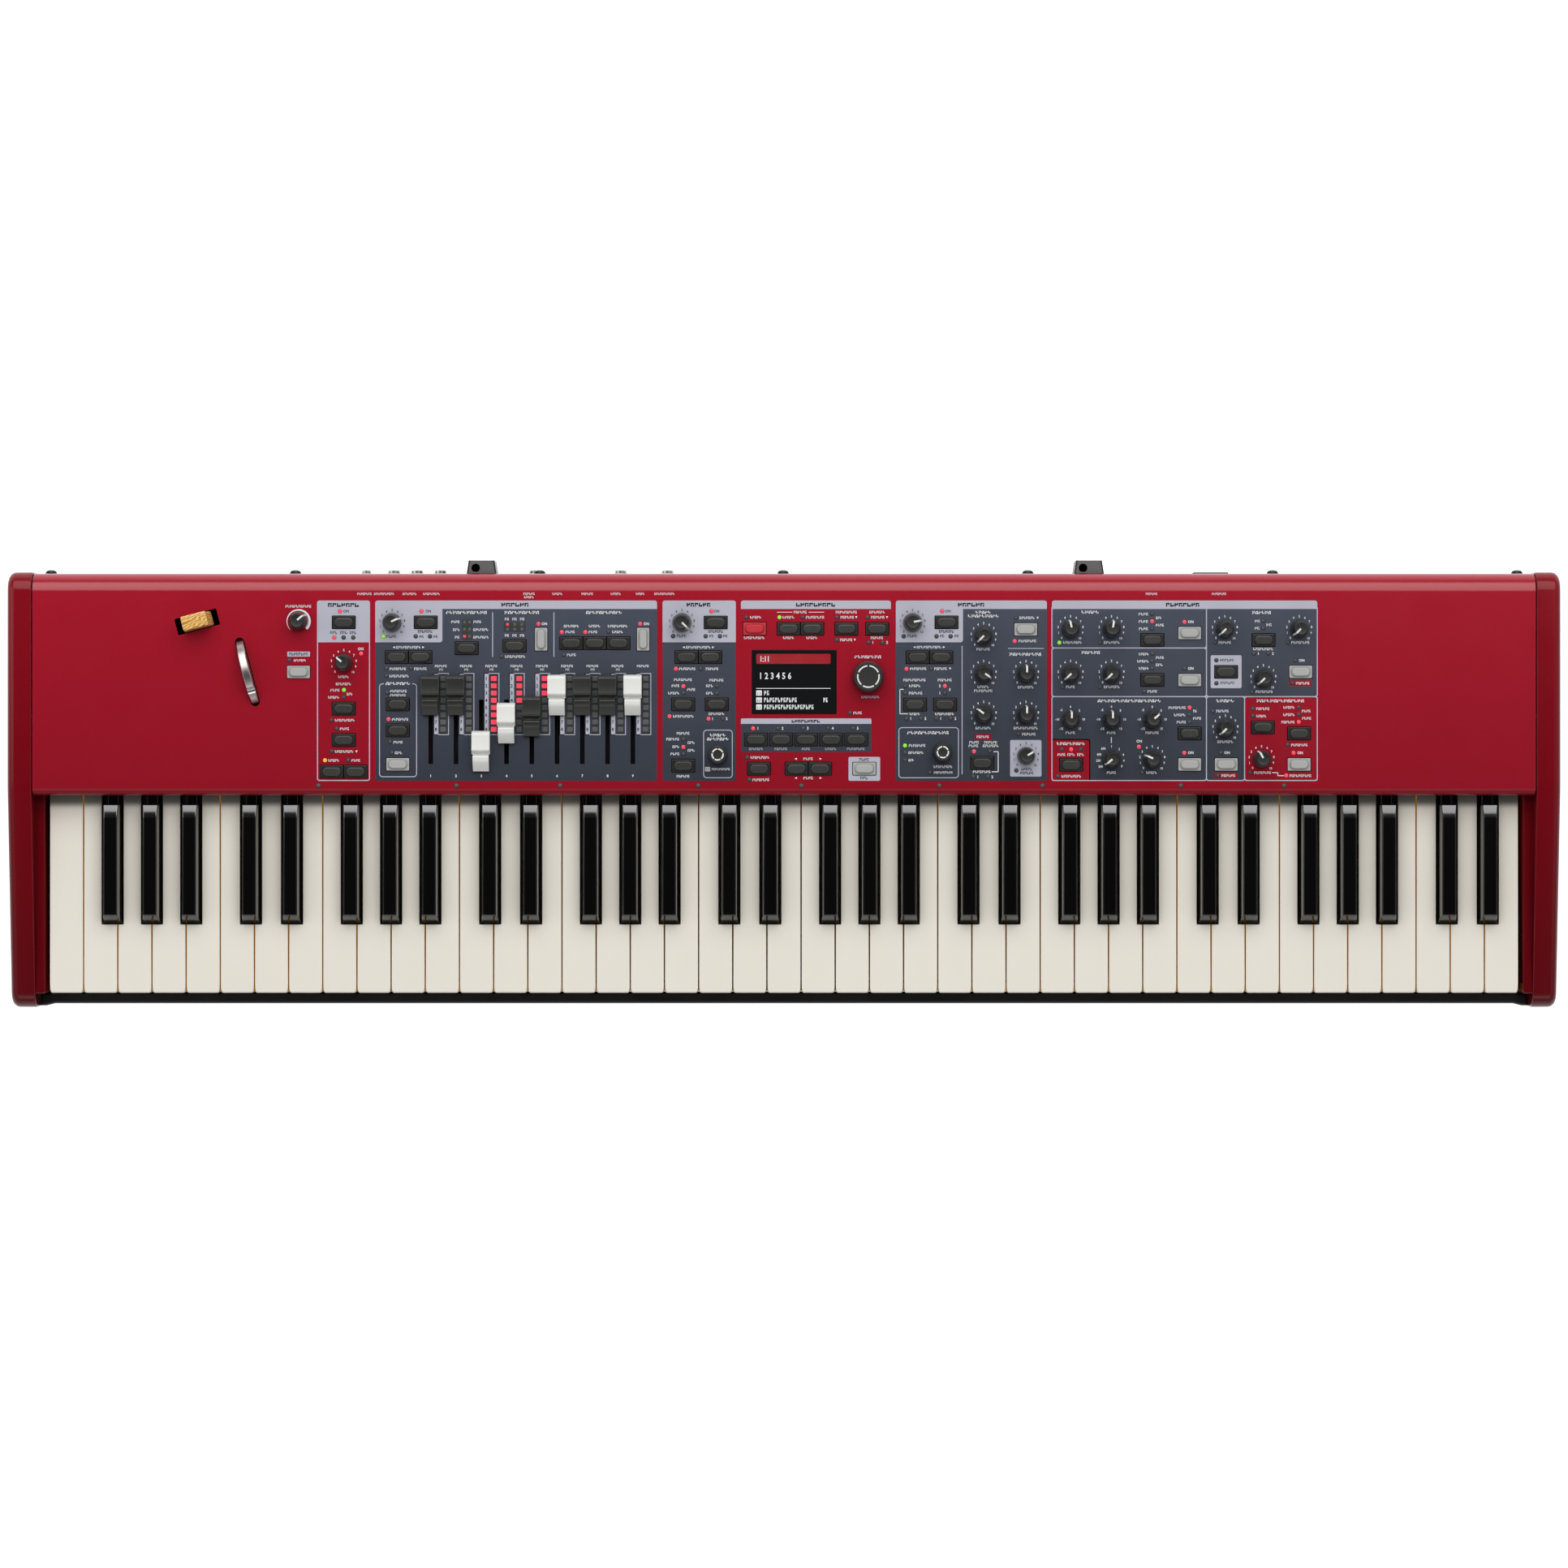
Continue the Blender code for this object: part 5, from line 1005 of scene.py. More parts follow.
def makeKnobs():
    levelLow = potBand[1] + gap["seat"]
    for name, (x, y, turn) in levelKnobs.items():
        addPiece(f"{name}_cap", knobShape((x, y), *knobSizes["level"], levelLow, turn), knobLooks, name, 30.0,
                 (name,))
    shape = dialShape(programDial["at"], programDial["radius"], programDial["ring"], levelLow)
    addPiece("program_dial_cap", shape, knobLooks, "program_dial", 30.0, ("program_dial",))
    for side, knobs in (("left", leftKnobs), ("right", rightKnobs)):
        node = f"{side}_control_board"
        left, right, front, rear = boardEdges[side]
        plate = roundedPrism(roundedRect(left, right, front, rear, 0.001, 3), 0.0660, 0.0676, 0.0002, 2)
        addPiece(f"{side}_board_plate", plate, "boardGreen", "case", replaces=(node,))
        pots = [turnedRings((x, y), [(0.0048, potBand[0]), (0.0048, potBand[1] - 0.0003), (0.0045, potBand[1])])
                for x, y, _ in levelKnobs.values() if left < x < right]
        if left < programDial["at"][0] < right:
            pots.append(turnedRings(programDial["at"], [(0.0048, potBand[0]), (0.0048, potBand[1])]))
        pots += [turnedRings(at, [(0.0016, potBand[0]), (0.0016, underDeck - gap["seat"])], 16)
                 for at in pillars[side]]
        addPiece(f"{side}_board_pots", joined(pots), "nickel", "case")
        for number, (x, y, turn) in enumerate(knobs):
            addPiece(f"{side}_knob_{number + 1:02d}", knobShape((x, y), *knobSizes["small"], potBand[0], turn),
                     knobLooks, "case", 30.0)
        shape = dialShape(smallDials[side], smallDial["radius"], smallDial["ring"], potBand[0])
        addPiece(f"{side}_small_dial", shape, knobLooks, "case", 30.0)


makeKnobs()
print("knobs are on their shafts")


# Drawbars: a cap with a raised flat behind, a valley and a lower grip in front
def drawbarShape(x, middle):
    width, length = drawbar["cap"]
    low, top = drawbar["low"], drawbar["top"]
    front, rear = middle - length / 2, middle + length / 2
    block = [(front + 0.0118, low), (rear - 0.0004, low), (rear, low + 0.0008), (rear - 0.0002, top - 0.0030),
             (rear - 0.0012, top - 0.0010), (rear - 0.0026, top), (rear - 0.0060, top - 0.00025),
             (rear - 0.0100, top - 0.00025), (front + 0.0148, top), (front + 0.0140, top - 0.0006),
             (front + 0.0128, top - 0.0030), (front + 0.0118, top - 0.0034)]
    grip = [(front + 0.0006, low), (front + 0.0125, low), (front + 0.0125, top - 0.0034),
            (front + 0.0114, top - 0.0034), (front + 0.0108, top - 0.0014), (front + 0.0102, top - 0.0010),
            (front + 0.0080, top - 0.0012), (front + 0.0062, top - 0.0018), (front + 0.0030, top - 0.0046),
            (front + 0.0002, top - 0.0072), (front, low + 0.0008)]
    shape = sidePrism(block, x - width / 2, x + width / 2)
    return merge(shape, sidePrism(grip, x - width / 2 + 0.0007, x + width / 2 - 0.0007))


def makeDrawbars():
    bladeWidth, bladeLength = drawbar["blade"]
    for number, steps in enumerate(drawbar["steps"]):
        name = f"drawbar_{number + 1}"
        x = drawbarX(number)
        bladeY = drawbar["slotRear"] - gap["slide"] - bladeLength / 2 - drawbar["stroke"] * steps / 8
        look = "capWhite" if number + 1 in drawbar["white"] else "capBlack"
        cap = addPiece(f"{name}_cap", drawbarShape(x, bladeY + drawbar["stemShift"]), look, name, 40.0, (name,))
        soften(cap, 0.00045, 3, 25.0)
        blade = prism(rectAt((x, bladeY), bladeWidth, bladeLength, 0.0003, 2), 0.0716, drawbar["low"] + 0.001)
        foot = prism(rectAt((x, bladeY), 0.0080, 0.0080, 0.0006, 3), 0.0680, underDeck - gap["slide"])
        addPiece(f"{name}_blade", joined([blade, foot]), "socketPlastic", name)
    # a black plate over the board, seen through the slots
    track = prism(roundedRect(*drawbar["track"], 0.0006, 3), 0.06765, 0.0679)
    addPiece("drawbar_track", track, "footRubber", "case")


makeDrawbars()
print("drawbars are in their slots")


# Pitch stick and modulation wheel, both set askew
def makeStick():
    length, thick = stick["size"]
    half, top, pivot = thick / 2, stick["top"], stick["pivot"]
    side = [(0.0040, pivot - 0.0040), (0.0040, underDeck - 0.008), (length / 2 + 0.0010, underDeck - 0.0045),
            (length / 2 + 0.0015, underDeck - 0.0030), (length / 2 + 0.0015, deck["top"] - 0.0010),
            (length / 2 + 0.0006, deck["top"] + 0.0030), (length / 2 - 0.0006, deck["top"] + 0.0070),
            (length / 2 - 0.0009, deck["top"] + 0.0105), (length / 2 - 0.0006, top - 0.0040), (length / 2, top)]
    profile = side + [(-a, z) for a, z in reversed(side)]
    item = addPiece("pitch_stick_wood", moved(rearPrism(profile, -half, half), tiltedMove(stick["at"])),
                    "figuredBirch", "pitch_stick", 30.0, ("pitch_stick",))
    soften(item, 0.0011, 4, 45.0)
    pin = rearTurned(0.0, pivot, [(0.0017, -half - 0.003), (0.002, -half - 0.0027), (0.002, half + 0.0027),
                                  (0.0017, half + 0.003)], 24)
    addPiece("pitch_stick_pin", moved(pin, tiltedMove(stick["at"])), "nickel", "pitch_stick")


def makeWheel():
    radius, axle, thick = wheel["radius"], wheel["axle"], wheel["thick"]
    half = [(0.0110, 0.0006), (0.0120, 0.0), (radius - 0.0008, 0.0), (radius - 0.0003, 0.00015),
            (radius, 0.0006)]
    rings = [(r, -(thick / 2 - d)) for r, d in half] + [(r, thick / 2 - d) for r, d in half[::-1]]
    disc = loft([sideways(circleAt((0, axle), r, 128), x) for r, x in rings])
    turn, reach = math.radians(121), radius + 0.0015
    hollow = circleAt((reach * math.cos(turn), axle + reach * math.sin(turn)), 0.003, 36)
    move = tiltedMove(wheel["at"])
    item = addPiece("mod_wheel_disc", moved(disc, move), "wheelAlloy", "mod_wheel", 30.0, ("mod_wheel",))
    carve(item, [moved(sidePrism(hollow, -thick, thick), move)], 30.0)
    soften(item, 0.0004, 2, 40.0)
    stub = sidePrism(circleAt((0, axle), 0.002, 24), -thick / 2 - 0.003, thick / 2 + 0.003)
    addPiece("mod_wheel_axle", moved(stub, move), "nickel", "mod_wheel")


makeStick()
makeWheel()
print("stick and wheel are set")


# Rear wall, sockets, switch, brackets and feet
sockets = {"height": 0.034, "wall": (0.143, 0.145), "output": (-0.2713, -0.2552, -0.2389), "mini": -0.2905,
           "control": (-0.1731, -0.1136, -0.0810), "din": (-0.1573, -0.1365), "usb": -0.0988, "inlet": 0.2555,
           "switch": 0.2962, "body": (0.0219, 0.0460), "deep": 0.024, "proud": 0.0036}
rearScrews = {"x": (-0.5067, -0.3378, -0.1689, -0.0006, 0.1686, 0.3378, 0.5068), "z": 0.0560, "radius": 0.0040,
              "proud": 0.0028}


def rearPlate(x, width, height, front, rear, radius=0.001):
    return rearPrism(rectAt((x, sockets["height"]), width, height, radius, 4), front, rear)


def rearHole(x, radius, front, rear, sides=32):
    return rearTurned(x, sockets["height"], [(radius, front), (radius, rear)], sides)


def makeRearWall():
    low, high = caseBottom, deck["top"] - deck["roll"] - gap["seat"]
    half = cheek["inner"] - gap["seat"]
    wall = prism(roundedRect(-half, half, *sockets["wall"], 0.0004, 2), low, high)
    item = addPiece("rear_wall", wall, "deckRed", "case", replaces=("rear_panel",))
    front, rear = sockets["wall"][0] - 0.002, sockets["wall"][1] + 0.002
    holes = [rearHole(x, 0.0046, front, rear) for x in sockets["output"] + sockets["control"]]
    holes.append(rearHole(sockets["mini"], 0.0036, front, rear))
    holes += [rearHole(x, 0.0079, front, rear, 48) for x in sockets["din"]]
    for kind, width, height in (("usb", 0.0128, 0.0118), ("inlet", 0.0283, 0.0208), ("switch", 0.0253, 0.0208)):
        holes.append(rearPlate(sockets[kind], width, height, front, rear))
    carve(item, [joined(holes)])
    places = [((x, sockets["wall"][1], rearScrews["z"]), i * 0.9) for i, x in enumerate(rearScrews["x"])]
    heads = screwsFacing(rearScrews["radius"], rearScrews["proud"], places, Matrix.Rotation(-math.pi / 2, 4, "X"))
    addPiece("rear_screws", heads, ["screwBlack", "lampRim"], "case")


def jackShapes(x, bush, bore):
    # a threaded bush with a nut around it and a dark bore
    wall, z, tip = sockets["wall"][1], sockets["height"], sockets["wall"][1] + sockets["proud"]
    start = sockets["wall"][0] - 0.0023
    tube = [(bore, start - 0.013), (bore, tip - 0.0003), (bore + 0.0003, tip), (bush - 0.0003, tip),
            (bush, tip - 0.0004), (bush, start)]
    nut = ((bush + 0.0020, wall), (bush + 0.0022, wall + 0.0003), (bush + 0.0022, wall + 0.0011),
           (bush + 0.0018, wall + 0.0014))
    return [painted(rearTurned(x, z, tube, 36, False), 1), rearHole(x, bore, start - 0.0130, start - 0.0128, 24),
            painted(loft([facing(circleAt((x, z), r, 6, 0.5), y) for r, y in nut]), 1)]


def makeSockets():
    low, high = sockets["body"]
    rear = sockets["wall"][0] - gap["seat"]
    for name, xs, mini in (("output_jack_block", sockets["output"], sockets["mini"]),
                           ("control_jack_block", sockets["control"], None)):
        edges = [xs[0] if mini is None else mini, xs[-1]]
        box = roundedRect(edges[0] - 0.0072, edges[1] + 0.0072, rear - sockets["deep"], rear, 0.0008, 3)
        block = addPiece(f"{name}_body", roundedPrism(box, low, high, 0.0006, 2, True), "socketPlastic", "case",
                         replaces=(name,))
        holes = [rearHole(x, 0.0033, rear - 0.015, rear + 0.002, 28) for x in xs]
        shapes = [shape for x in xs for shape in jackShapes(x, 0.0042, 0.0032)]
        if mini is not None:
            holes.append(rearHole(mini, 0.0023, rear - 0.015, rear + 0.002, 24))
            shapes += jackShapes(mini, 0.0032, 0.0022)
        else:
            holes += [rearHole(x, 0.0066, rear - 0.010, rear + 0.002, 40) for x in sockets["din"]]
            holes.append(rearPlate(sockets["usb"], 0.0086, 0.0079, rear - 0.011, rear + 0.002, 0.0004))
            shapes += dinShapes() + usbShapes()
        carve(block, [joined(holes)])
        addPiece(f"{name}_bushes", joined(shapes), ["socketPlastic", "nickel"], "case")


def dinShapes():
    shapes = []
    flush, z, back = sockets["wall"][1] - 0.0002, sockets["height"], sockets["wall"][0] - 0.0023
    for x in sockets["din"]:
        ring = [(0.0065, back - 0.008), (0.0065, flush - 0.0003), (0.0067, flush), (0.0073, flush),
                (0.0075, flush - 0.0003), (0.0075, back)]
        shapes.append(painted(rearTurned(x, z, ring, 48, False), 1))
        shapes.append(rearHole(x, 0.0064, back - 0.0080, back - 0.0072, 40))
        for number in range(5):
            turn = math.radians(180 + 45 * number)
            hole = [(0.0009, back - 0.0074), (0.0009, back - 0.0066), (0.0006, back - 0.0066)]
            shapes.append(painted(rearTurned(x + 0.0043 * math.cos(turn), z - 0.0043 * math.sin(turn), hole, 16,
                                             False), 1))
        shapes.append(rearPlate(x, 0.0022, 0.0012, back - 0.0074, back - 0.0055, 0.0003))
    return shapes


def usbShapes():
    x, z = sockets["usb"], sockets["height"]
    flush, back = sockets["wall"][1] - 0.0002, sockets["wall"][0] - 0.0023
    outer, inner = rectAt((x, z), 0.0120, 0.0110, 0.0004, 3), rectAt((x, z), 0.0085, 0.0078, 0.0004, 3)
    rings = [facing(outer, back), facing(outer, flush), facing(inner, flush), facing(inner, back - 0.009)]
    tongue = rearPrism(rectAt((x, z), 0.0058, 0.0032, 0.0002, 2), back - 0.0085, flush - 0.0012)
    return [painted(loft(rings, False), 1), tongue]


def makePower():
    wall, z = sockets["wall"][1], sockets["height"]
    rear = sockets["wall"][0] - gap["seat"]
    low, high = sockets["body"]
    shapes = []
    plate = prism(roundedRect(sockets["inlet"] - 0.018, sockets["switch"] + 0.016, rear - 0.003, rear, 0.0004, 2),
                  low, high)
    for x, outerSize, innerSize, back, proud, floor in (
            (sockets["inlet"], (0.0275, 0.0200), (0.0235, 0.0160), rear - 0.0240, 0.0010, rear - 0.0160),
            (sockets["switch"], (0.0245, 0.0200), (0.0200, 0.0150), rear - 0.0140, 0.0020, rear - 0.0110)):
        outer, inner = rectAt((x, z), *outerSize, 0.0014), rectAt((x, z), *innerSize, 0.0012)
        tip = wall + proud
        rings = [facing(outer, back), facing(outer, tip - 0.0005), facing(inset(outer, 0.0005), tip),
                 facing(inset(inner, -0.0003), tip), facing(inner, tip - 0.0003), facing(inner, floor)]
        shapes.append(painted(loft(rings), 2 if x == sockets["switch"] else 0))
    for shift in (-0.007, 0.0, 0.007):
        outline, tip = rectAt((sockets["inlet"] + shift, z), 0.002, 0.004, 0.0003, 2), rear - 0.002
        shapes.append(painted(loft([facing(outline, rear - 0.018), facing(outline, tip - 0.0006),
                                    facing(inset(outline, 0.0003), tip)]), 1))
    addPiece("power_inlet_plate", plate, "socketPlastic", "case", replaces=("power_inlet",))
    addPiece("power_inlet_frames", joined(shapes), ["socketPlastic", "nickel", "bracketGrey"], "case")
    half, face = 0.0075 - 0.0008, wall + 0.0015
    back = face - 0.0065
    outline = [(back, -half * 0.55), (face - 0.0005, -half + 0.0001), (face, -half + 0.0007),
               (face - 0.0008, -half * 0.5), (face - 0.0012, 0.0), (face - 0.0008, half * 0.5),
               (face, half - 0.0007), (face - 0.0005, half - 0.0001), (back, half * 0.55)]
    pivot, turn = (face + back) / 2, math.radians(10)
    turned = [(pivot + (y - pivot) * math.cos(turn) - h * math.sin(turn),
               z + (y - pivot) * math.sin(turn) + h * math.cos(turn)) for y, h in outline]
    rocker = sidePrism(turned, sockets["switch"] - 0.0096, sockets["switch"] + 0.0096)
    soften(addPiece("power_switch_rocker", rocker, "screwBlack", "power_switch", 30.0, ("power_switch",)), 0.0004, 3, 30.0)


brackets = {"left_stand_bracket": -0.2089, "right_stand_bracket": 0.2107}
bracketPlan = {"shift": (-0.0041, 0.1492), "widths": (0.0207, 0.0178), "near": 0.1453, "far": 0.1545,
               "top": 0.060, "low": 0.034, "sheet": 0.0015, "hole": 0.0030, "line": 0.0011, "cup": 0.016}


def makeBrackets():
    # folded ears behind the wall: a top with dark lines of painted shade along its bends, its flanges, and a hole
    # over a dark cup
    plan = bracketPlan
    near, far, top, low, sheet = *[width / 2 for width in plan["widths"]], plan["top"], plan["low"], plan["sheet"]
    for name, x in brackets.items():
        outline = [(x - near, plan["near"]), (x + near, plan["near"]), (x + far, plan["far"]),
                   (x - far, plan["far"])]
        item = addPiece(f"{name}_ear", roundedPrism(outline, low, top, 0.0003, 2), "bracketGrey", "case", 30.0,
                        (name,))
        hole = (x + plan["shift"][0], plan["shift"][1])
        carve(item, [prism(inset(outline, sheet), low - 0.002, top - 0.002)])
        carve(item, [prism(circleAt(hole, plan["hole"], 36), top - 0.004, top + 0.002)])
        soften(item, 0.0002, 2, 40.0)
        radius, under = plan["hole"], top - 0.0021
        cup = turnedRings(hole, [(radius + 0.0003, under - plan["cup"] - 0.001), (radius + 0.0003, under),
                                 (radius, under), (radius, under - plan["cup"])], 36)
        addPiece(f"{name}_cup", cup, "footRubber", "case")
        # painted shade: dark strips along the top's bends, where it turns down into the flanges
        lines = [prism([(x + side * (near - plan["line"]), plan["near"]), (x + side * near, plan["near"]),
                        (x + side * far, plan["far"]), (x + side * (far - plan["line"]), plan["far"])],
                       top - 0.0001, top + 0.00003) for side in (-1, 1)]
        addPiece(f"{name}_painted_bend_shade", joined(lines), "lampRim", "case")


footRings = [(0.0105, 0.0), (0.0120, 0.0003), (0.0132, 0.0012), (0.0140, 0.0026), (0.0140, 0.0074),
             (0.0137, 0.0080)]


def makeFeet():
    for side, x in (("left", -0.472), ("right", 0.472)):
        for end, y in (("front", -0.122), ("rear", 0.118)):
            name = f"{end}_{side}_foot"
            addPiece(f"{name}_rubber", turnedRings((x, y), footRings, 64), "footRubber", "case", 30.0, (name,))


makeRearWall()
makeSockets()
makePower()
makeBrackets()
makeFeet()
print("rear, brackets and feet are on")


# Printed panels: thin inks let into the deck, each layer a little higher than the one under it
inkLayer = {"panel": 0.00003, "block": 0.00005, "box": 0.00007, "line": 0.00009, "mark": 0.00011}
inkBottom = deck["top"] - 0.00015
panelPlan = {"rear": 0.1260, "header": 0.1202, "block": 0.0973, "front": 0.0021, "radius": 0.0017, "line": 0.0007}
sections = {"rotary": (-0.3207, -0.2843), "organ": (-0.2807, -0.0872), "piano": (-0.0834, -0.0331),
            "program": (-0.0296, 0.0734), "synth": (0.0768, 0.1805), "effects": (0.1840, 0.3662)}


def inkPrism(outline, layer):
    return prism(outline, inkBottom, deck["top"] + inkLayer[layer])


def cornered(left, right, front, rear, corners):
    # a rectangle with its own radius at front left, front right, rear right and rear left
    points = []
    for radius, x, y, start in zip(corners, (left, right, right, left), (front, front, rear, rear),
                                   (180, 270, 0, 90)):
        centre = (x + (radius if x == left else -radius), y + (radius if y == front else -radius))
        points += arc(centre, radius, start, start + 90, 6) if radius > 0 else [(x, y)]
    return points


def ringInk(box, radius, width, layer="line"):
    outer = cornered(*box, (radius,) * 4)
    inner = cornered(*grown(box, -width), (max(radius - width, 0.0002) if radius > 0 else 0,) * 4)
    low, high = inkBottom, deck["top"] + inkLayer[layer]
    loops = [(outer, low), (outer, high), (inner, high), (inner, low), (outer, low)]
    shape = loft([flat(loop, z) for loop, z in loops], False)
    bmesh.ops.remove_doubles(shape, verts=shape.verts, dist=1e-7)
    return shape


def panelShapes():
    # returns the base inks: slate, lavender and red
    plan, edge = panelPlan, panelPlan["line"]
    r, rear, header, block, front = plan["radius"], plan["rear"], plan["header"], plan["block"], plan["front"]
    slate, lavender, red = [], [], []
    for name, (left, right) in sections.items():
        if name in ("organ", "piano", "synth"):
            slate.append(inkPrism(cornered(left, right, front, rear - 0.003, (r, r, 0, 0)), "panel"))
        lavender.append(inkPrism(cornered(left, right, header, rear, (0, 0, r, r)), "block"))
    left, right = sections["rotary"]
    lavender.append(inkPrism(roundedRect(left, right, block, header + 0.001), "block"))
    lavender.append(ringInk((left, right, front, rear - 0.002), r, edge, "block"))
    for left, right, corner in ((sections["organ"][0], -0.2346, r), (*sections["piano"], 0),
                                (sections["synth"][0], 0.1229, r)):
        lavender.append(inkPrism(cornered(left, right, block, header + 0.001, (0, corner, 0, 0)), "block"))
    lavender.append(inkPrism(cornered(-0.0296, 0.0600, 0.0413, 0.0450, (0, 0, 0.001, 0.001)), "block"))
    slate.append(inkPrism(roundedRect(-0.0296, 0.0600, 0.0219, 0.0420), "panel"))
    for at, width, depth, radius, layer in (((0.05515, 0.0104), 0.0217, 0.0164, 0.001, "block"),
                                            ((0.16605, 0.01765), 0.0215, 0.0251, 0.001, "box"),
                                            ((0.3036, 0.0771), 0.0212, 0.0226, 0.001, "line"),
                                            ((-0.3333, 0.0892), 0.0156, 0.0034, 0.0005, "block")):
        lavender.append(inkPrism(rectAt(at, width, depth, radius), layer))
    boxes = [((0.1840, 0.2901, 0.0934, 0.1210), (r, r, 0, 0)), ((0.1840, 0.2901, 0.0600, 0.0934), (r,) * 4),
             ((0.1840, 0.2901, 0.0024, 0.0600), (r,) * 4), ((0.2901, 0.3662, 0.0600, 0.1210), (r, r, 0, 0)),
             ((0.2901, 0.3163, 0.0024, 0.0600), (r,) * 4)]
    for box, corners in boxes:
        lavender.append(inkPrism(cornered(*grown(box, edge / 2), corners), "block"))
        left, right, low, high = grown(box, -edge / 2)
        inner = tuple(max(c - edge / 2, 0) for c in corners)
        slate.append(inkPrism(cornered(left, right, low, min(high, header), inner), "box"))
    for box, layer, above in (((0.1840, 0.2100, 0.0024, 0.0306), "box", "line"),
                              ((0.3163, 0.3662, 0.0024, 0.0600), "block", "box")):
        lavender.append(inkPrism(cornered(*grown(box, edge / 2), (r,) * 4), layer))
        red.append(inkPrism(cornered(*grown(box, -edge / 2), (r - edge / 2,) * 4), above))
    for x, y, width in ((0.3546, 0.0692, 0.0158), (0.30335, 0.0058, 0.0159), (0.1366, 0.03245, 0.0116)):
        red.append(inkPrism(rectAt((x, y), width, 0.0040, 0.0004), "line"))
    return slate, lavender, red


def makePanels():
    for name, shapes, look in zip(("slate", "lavender", "red"), panelShapes(),
                                  ("slateInk", "lavenderInk", "redInk")):
        item = addPiece(f"print_{name}", joined(shapes), look, "case", 20.0)
        carve(item, deckCutters(deck["top"] - 0.0006, deck["top"] + 0.0006, 0.00003), 20.0)


makePanels()
print("panels are printed")


glyphs = {}


def glyphShape(text):
    # the built-in letterforms, used for plain numbers and ON, as a flat mesh one unit high
    if text not in glyphs:
        curve = bpy.data.curves.new("glyph", "FONT")
        curve.body, curve.size, curve.offset, curve.extrude = text, 1.0, 0.022, 0.0
        curve.resolution_u, curve.space_character = 2, 1.04
        item = bpy.data.objects.new("glyph", curve)
        scene.collection.objects.link(item)
        bpy.context.view_layer.update()
        mesh = bpy.data.meshes.new_from_object(item.evaluated_get(bpy.context.evaluated_depsgraph_get()))
        bpy.data.objects.remove(item)
        bpy.data.curves.remove(curve)
        xs, ys = [v.co.x for v in mesh.vertices], [v.co.y for v in mesh.vertices]
        middle = Vector(((min(xs) + max(xs)) / 2, (min(ys) + max(ys)) / 2, 0))
        mesh.transform(Matrix.Translation(-middle))
        mesh.transform(Matrix.Scale(1 / (max(ys) - min(ys)), 4))
        glyphs[text] = mesh
    return glyphs[text]


def stamp(shape, text, x, y, height, z, wide=1.0):
    mesh = glyphShape(text).copy()
    mesh.transform(Matrix.Translation((x, y, z)) @ Matrix.Diagonal((height * wide, height, 1, 1)))
    shape.from_mesh(mesh)
    bpy.data.meshes.remove(mesh)


def hatch(shape, x, y, width, height, z, heavy=False):
    # a generic mark in a caption's place: cells of a full stroke, a half stroke and a bar across
    part, wide = (0.33, 1.15) if heavy else (0.21, 0.82)
    if height > 0.003:
        part, wide = 0.17, 0.62
    count = max(1, round(width / (height * wide)))
    step, thick = width / count, height * part
    for i in range(count):
        kind = (i * 5 + count) % 4
        left, right = x - width / 2 + step * i, x - width / 2 + step * (i + 1) - height * 0.2
        bar = (0.5 - part, -0.5, -part / 2, 0.5 - part)[kind]
        half = (-0.5, 0.04) if kind % 2 else (-0.04, 0.5)
        for start, end, low, high in ((left, left + thick, -0.5, 0.5), (right - thick, right, *half),
                                      (left, right, bar, bar + part)):
            corners = roundedRect(start, end, y + height * low, y + height * high)
            shape.faces.new([shape.verts.new(point) for point in flat(corners, z)])


def arrowInk(shape, x, y, size, z, turn):
    points = [(math.cos(math.radians(turn + a)), math.sin(math.radians(turn + a))) for a in (0, 130, 230)]
    shape.faces.new([shape.verts.new((x + size * a, y + size * b, z)) for a, b in points])


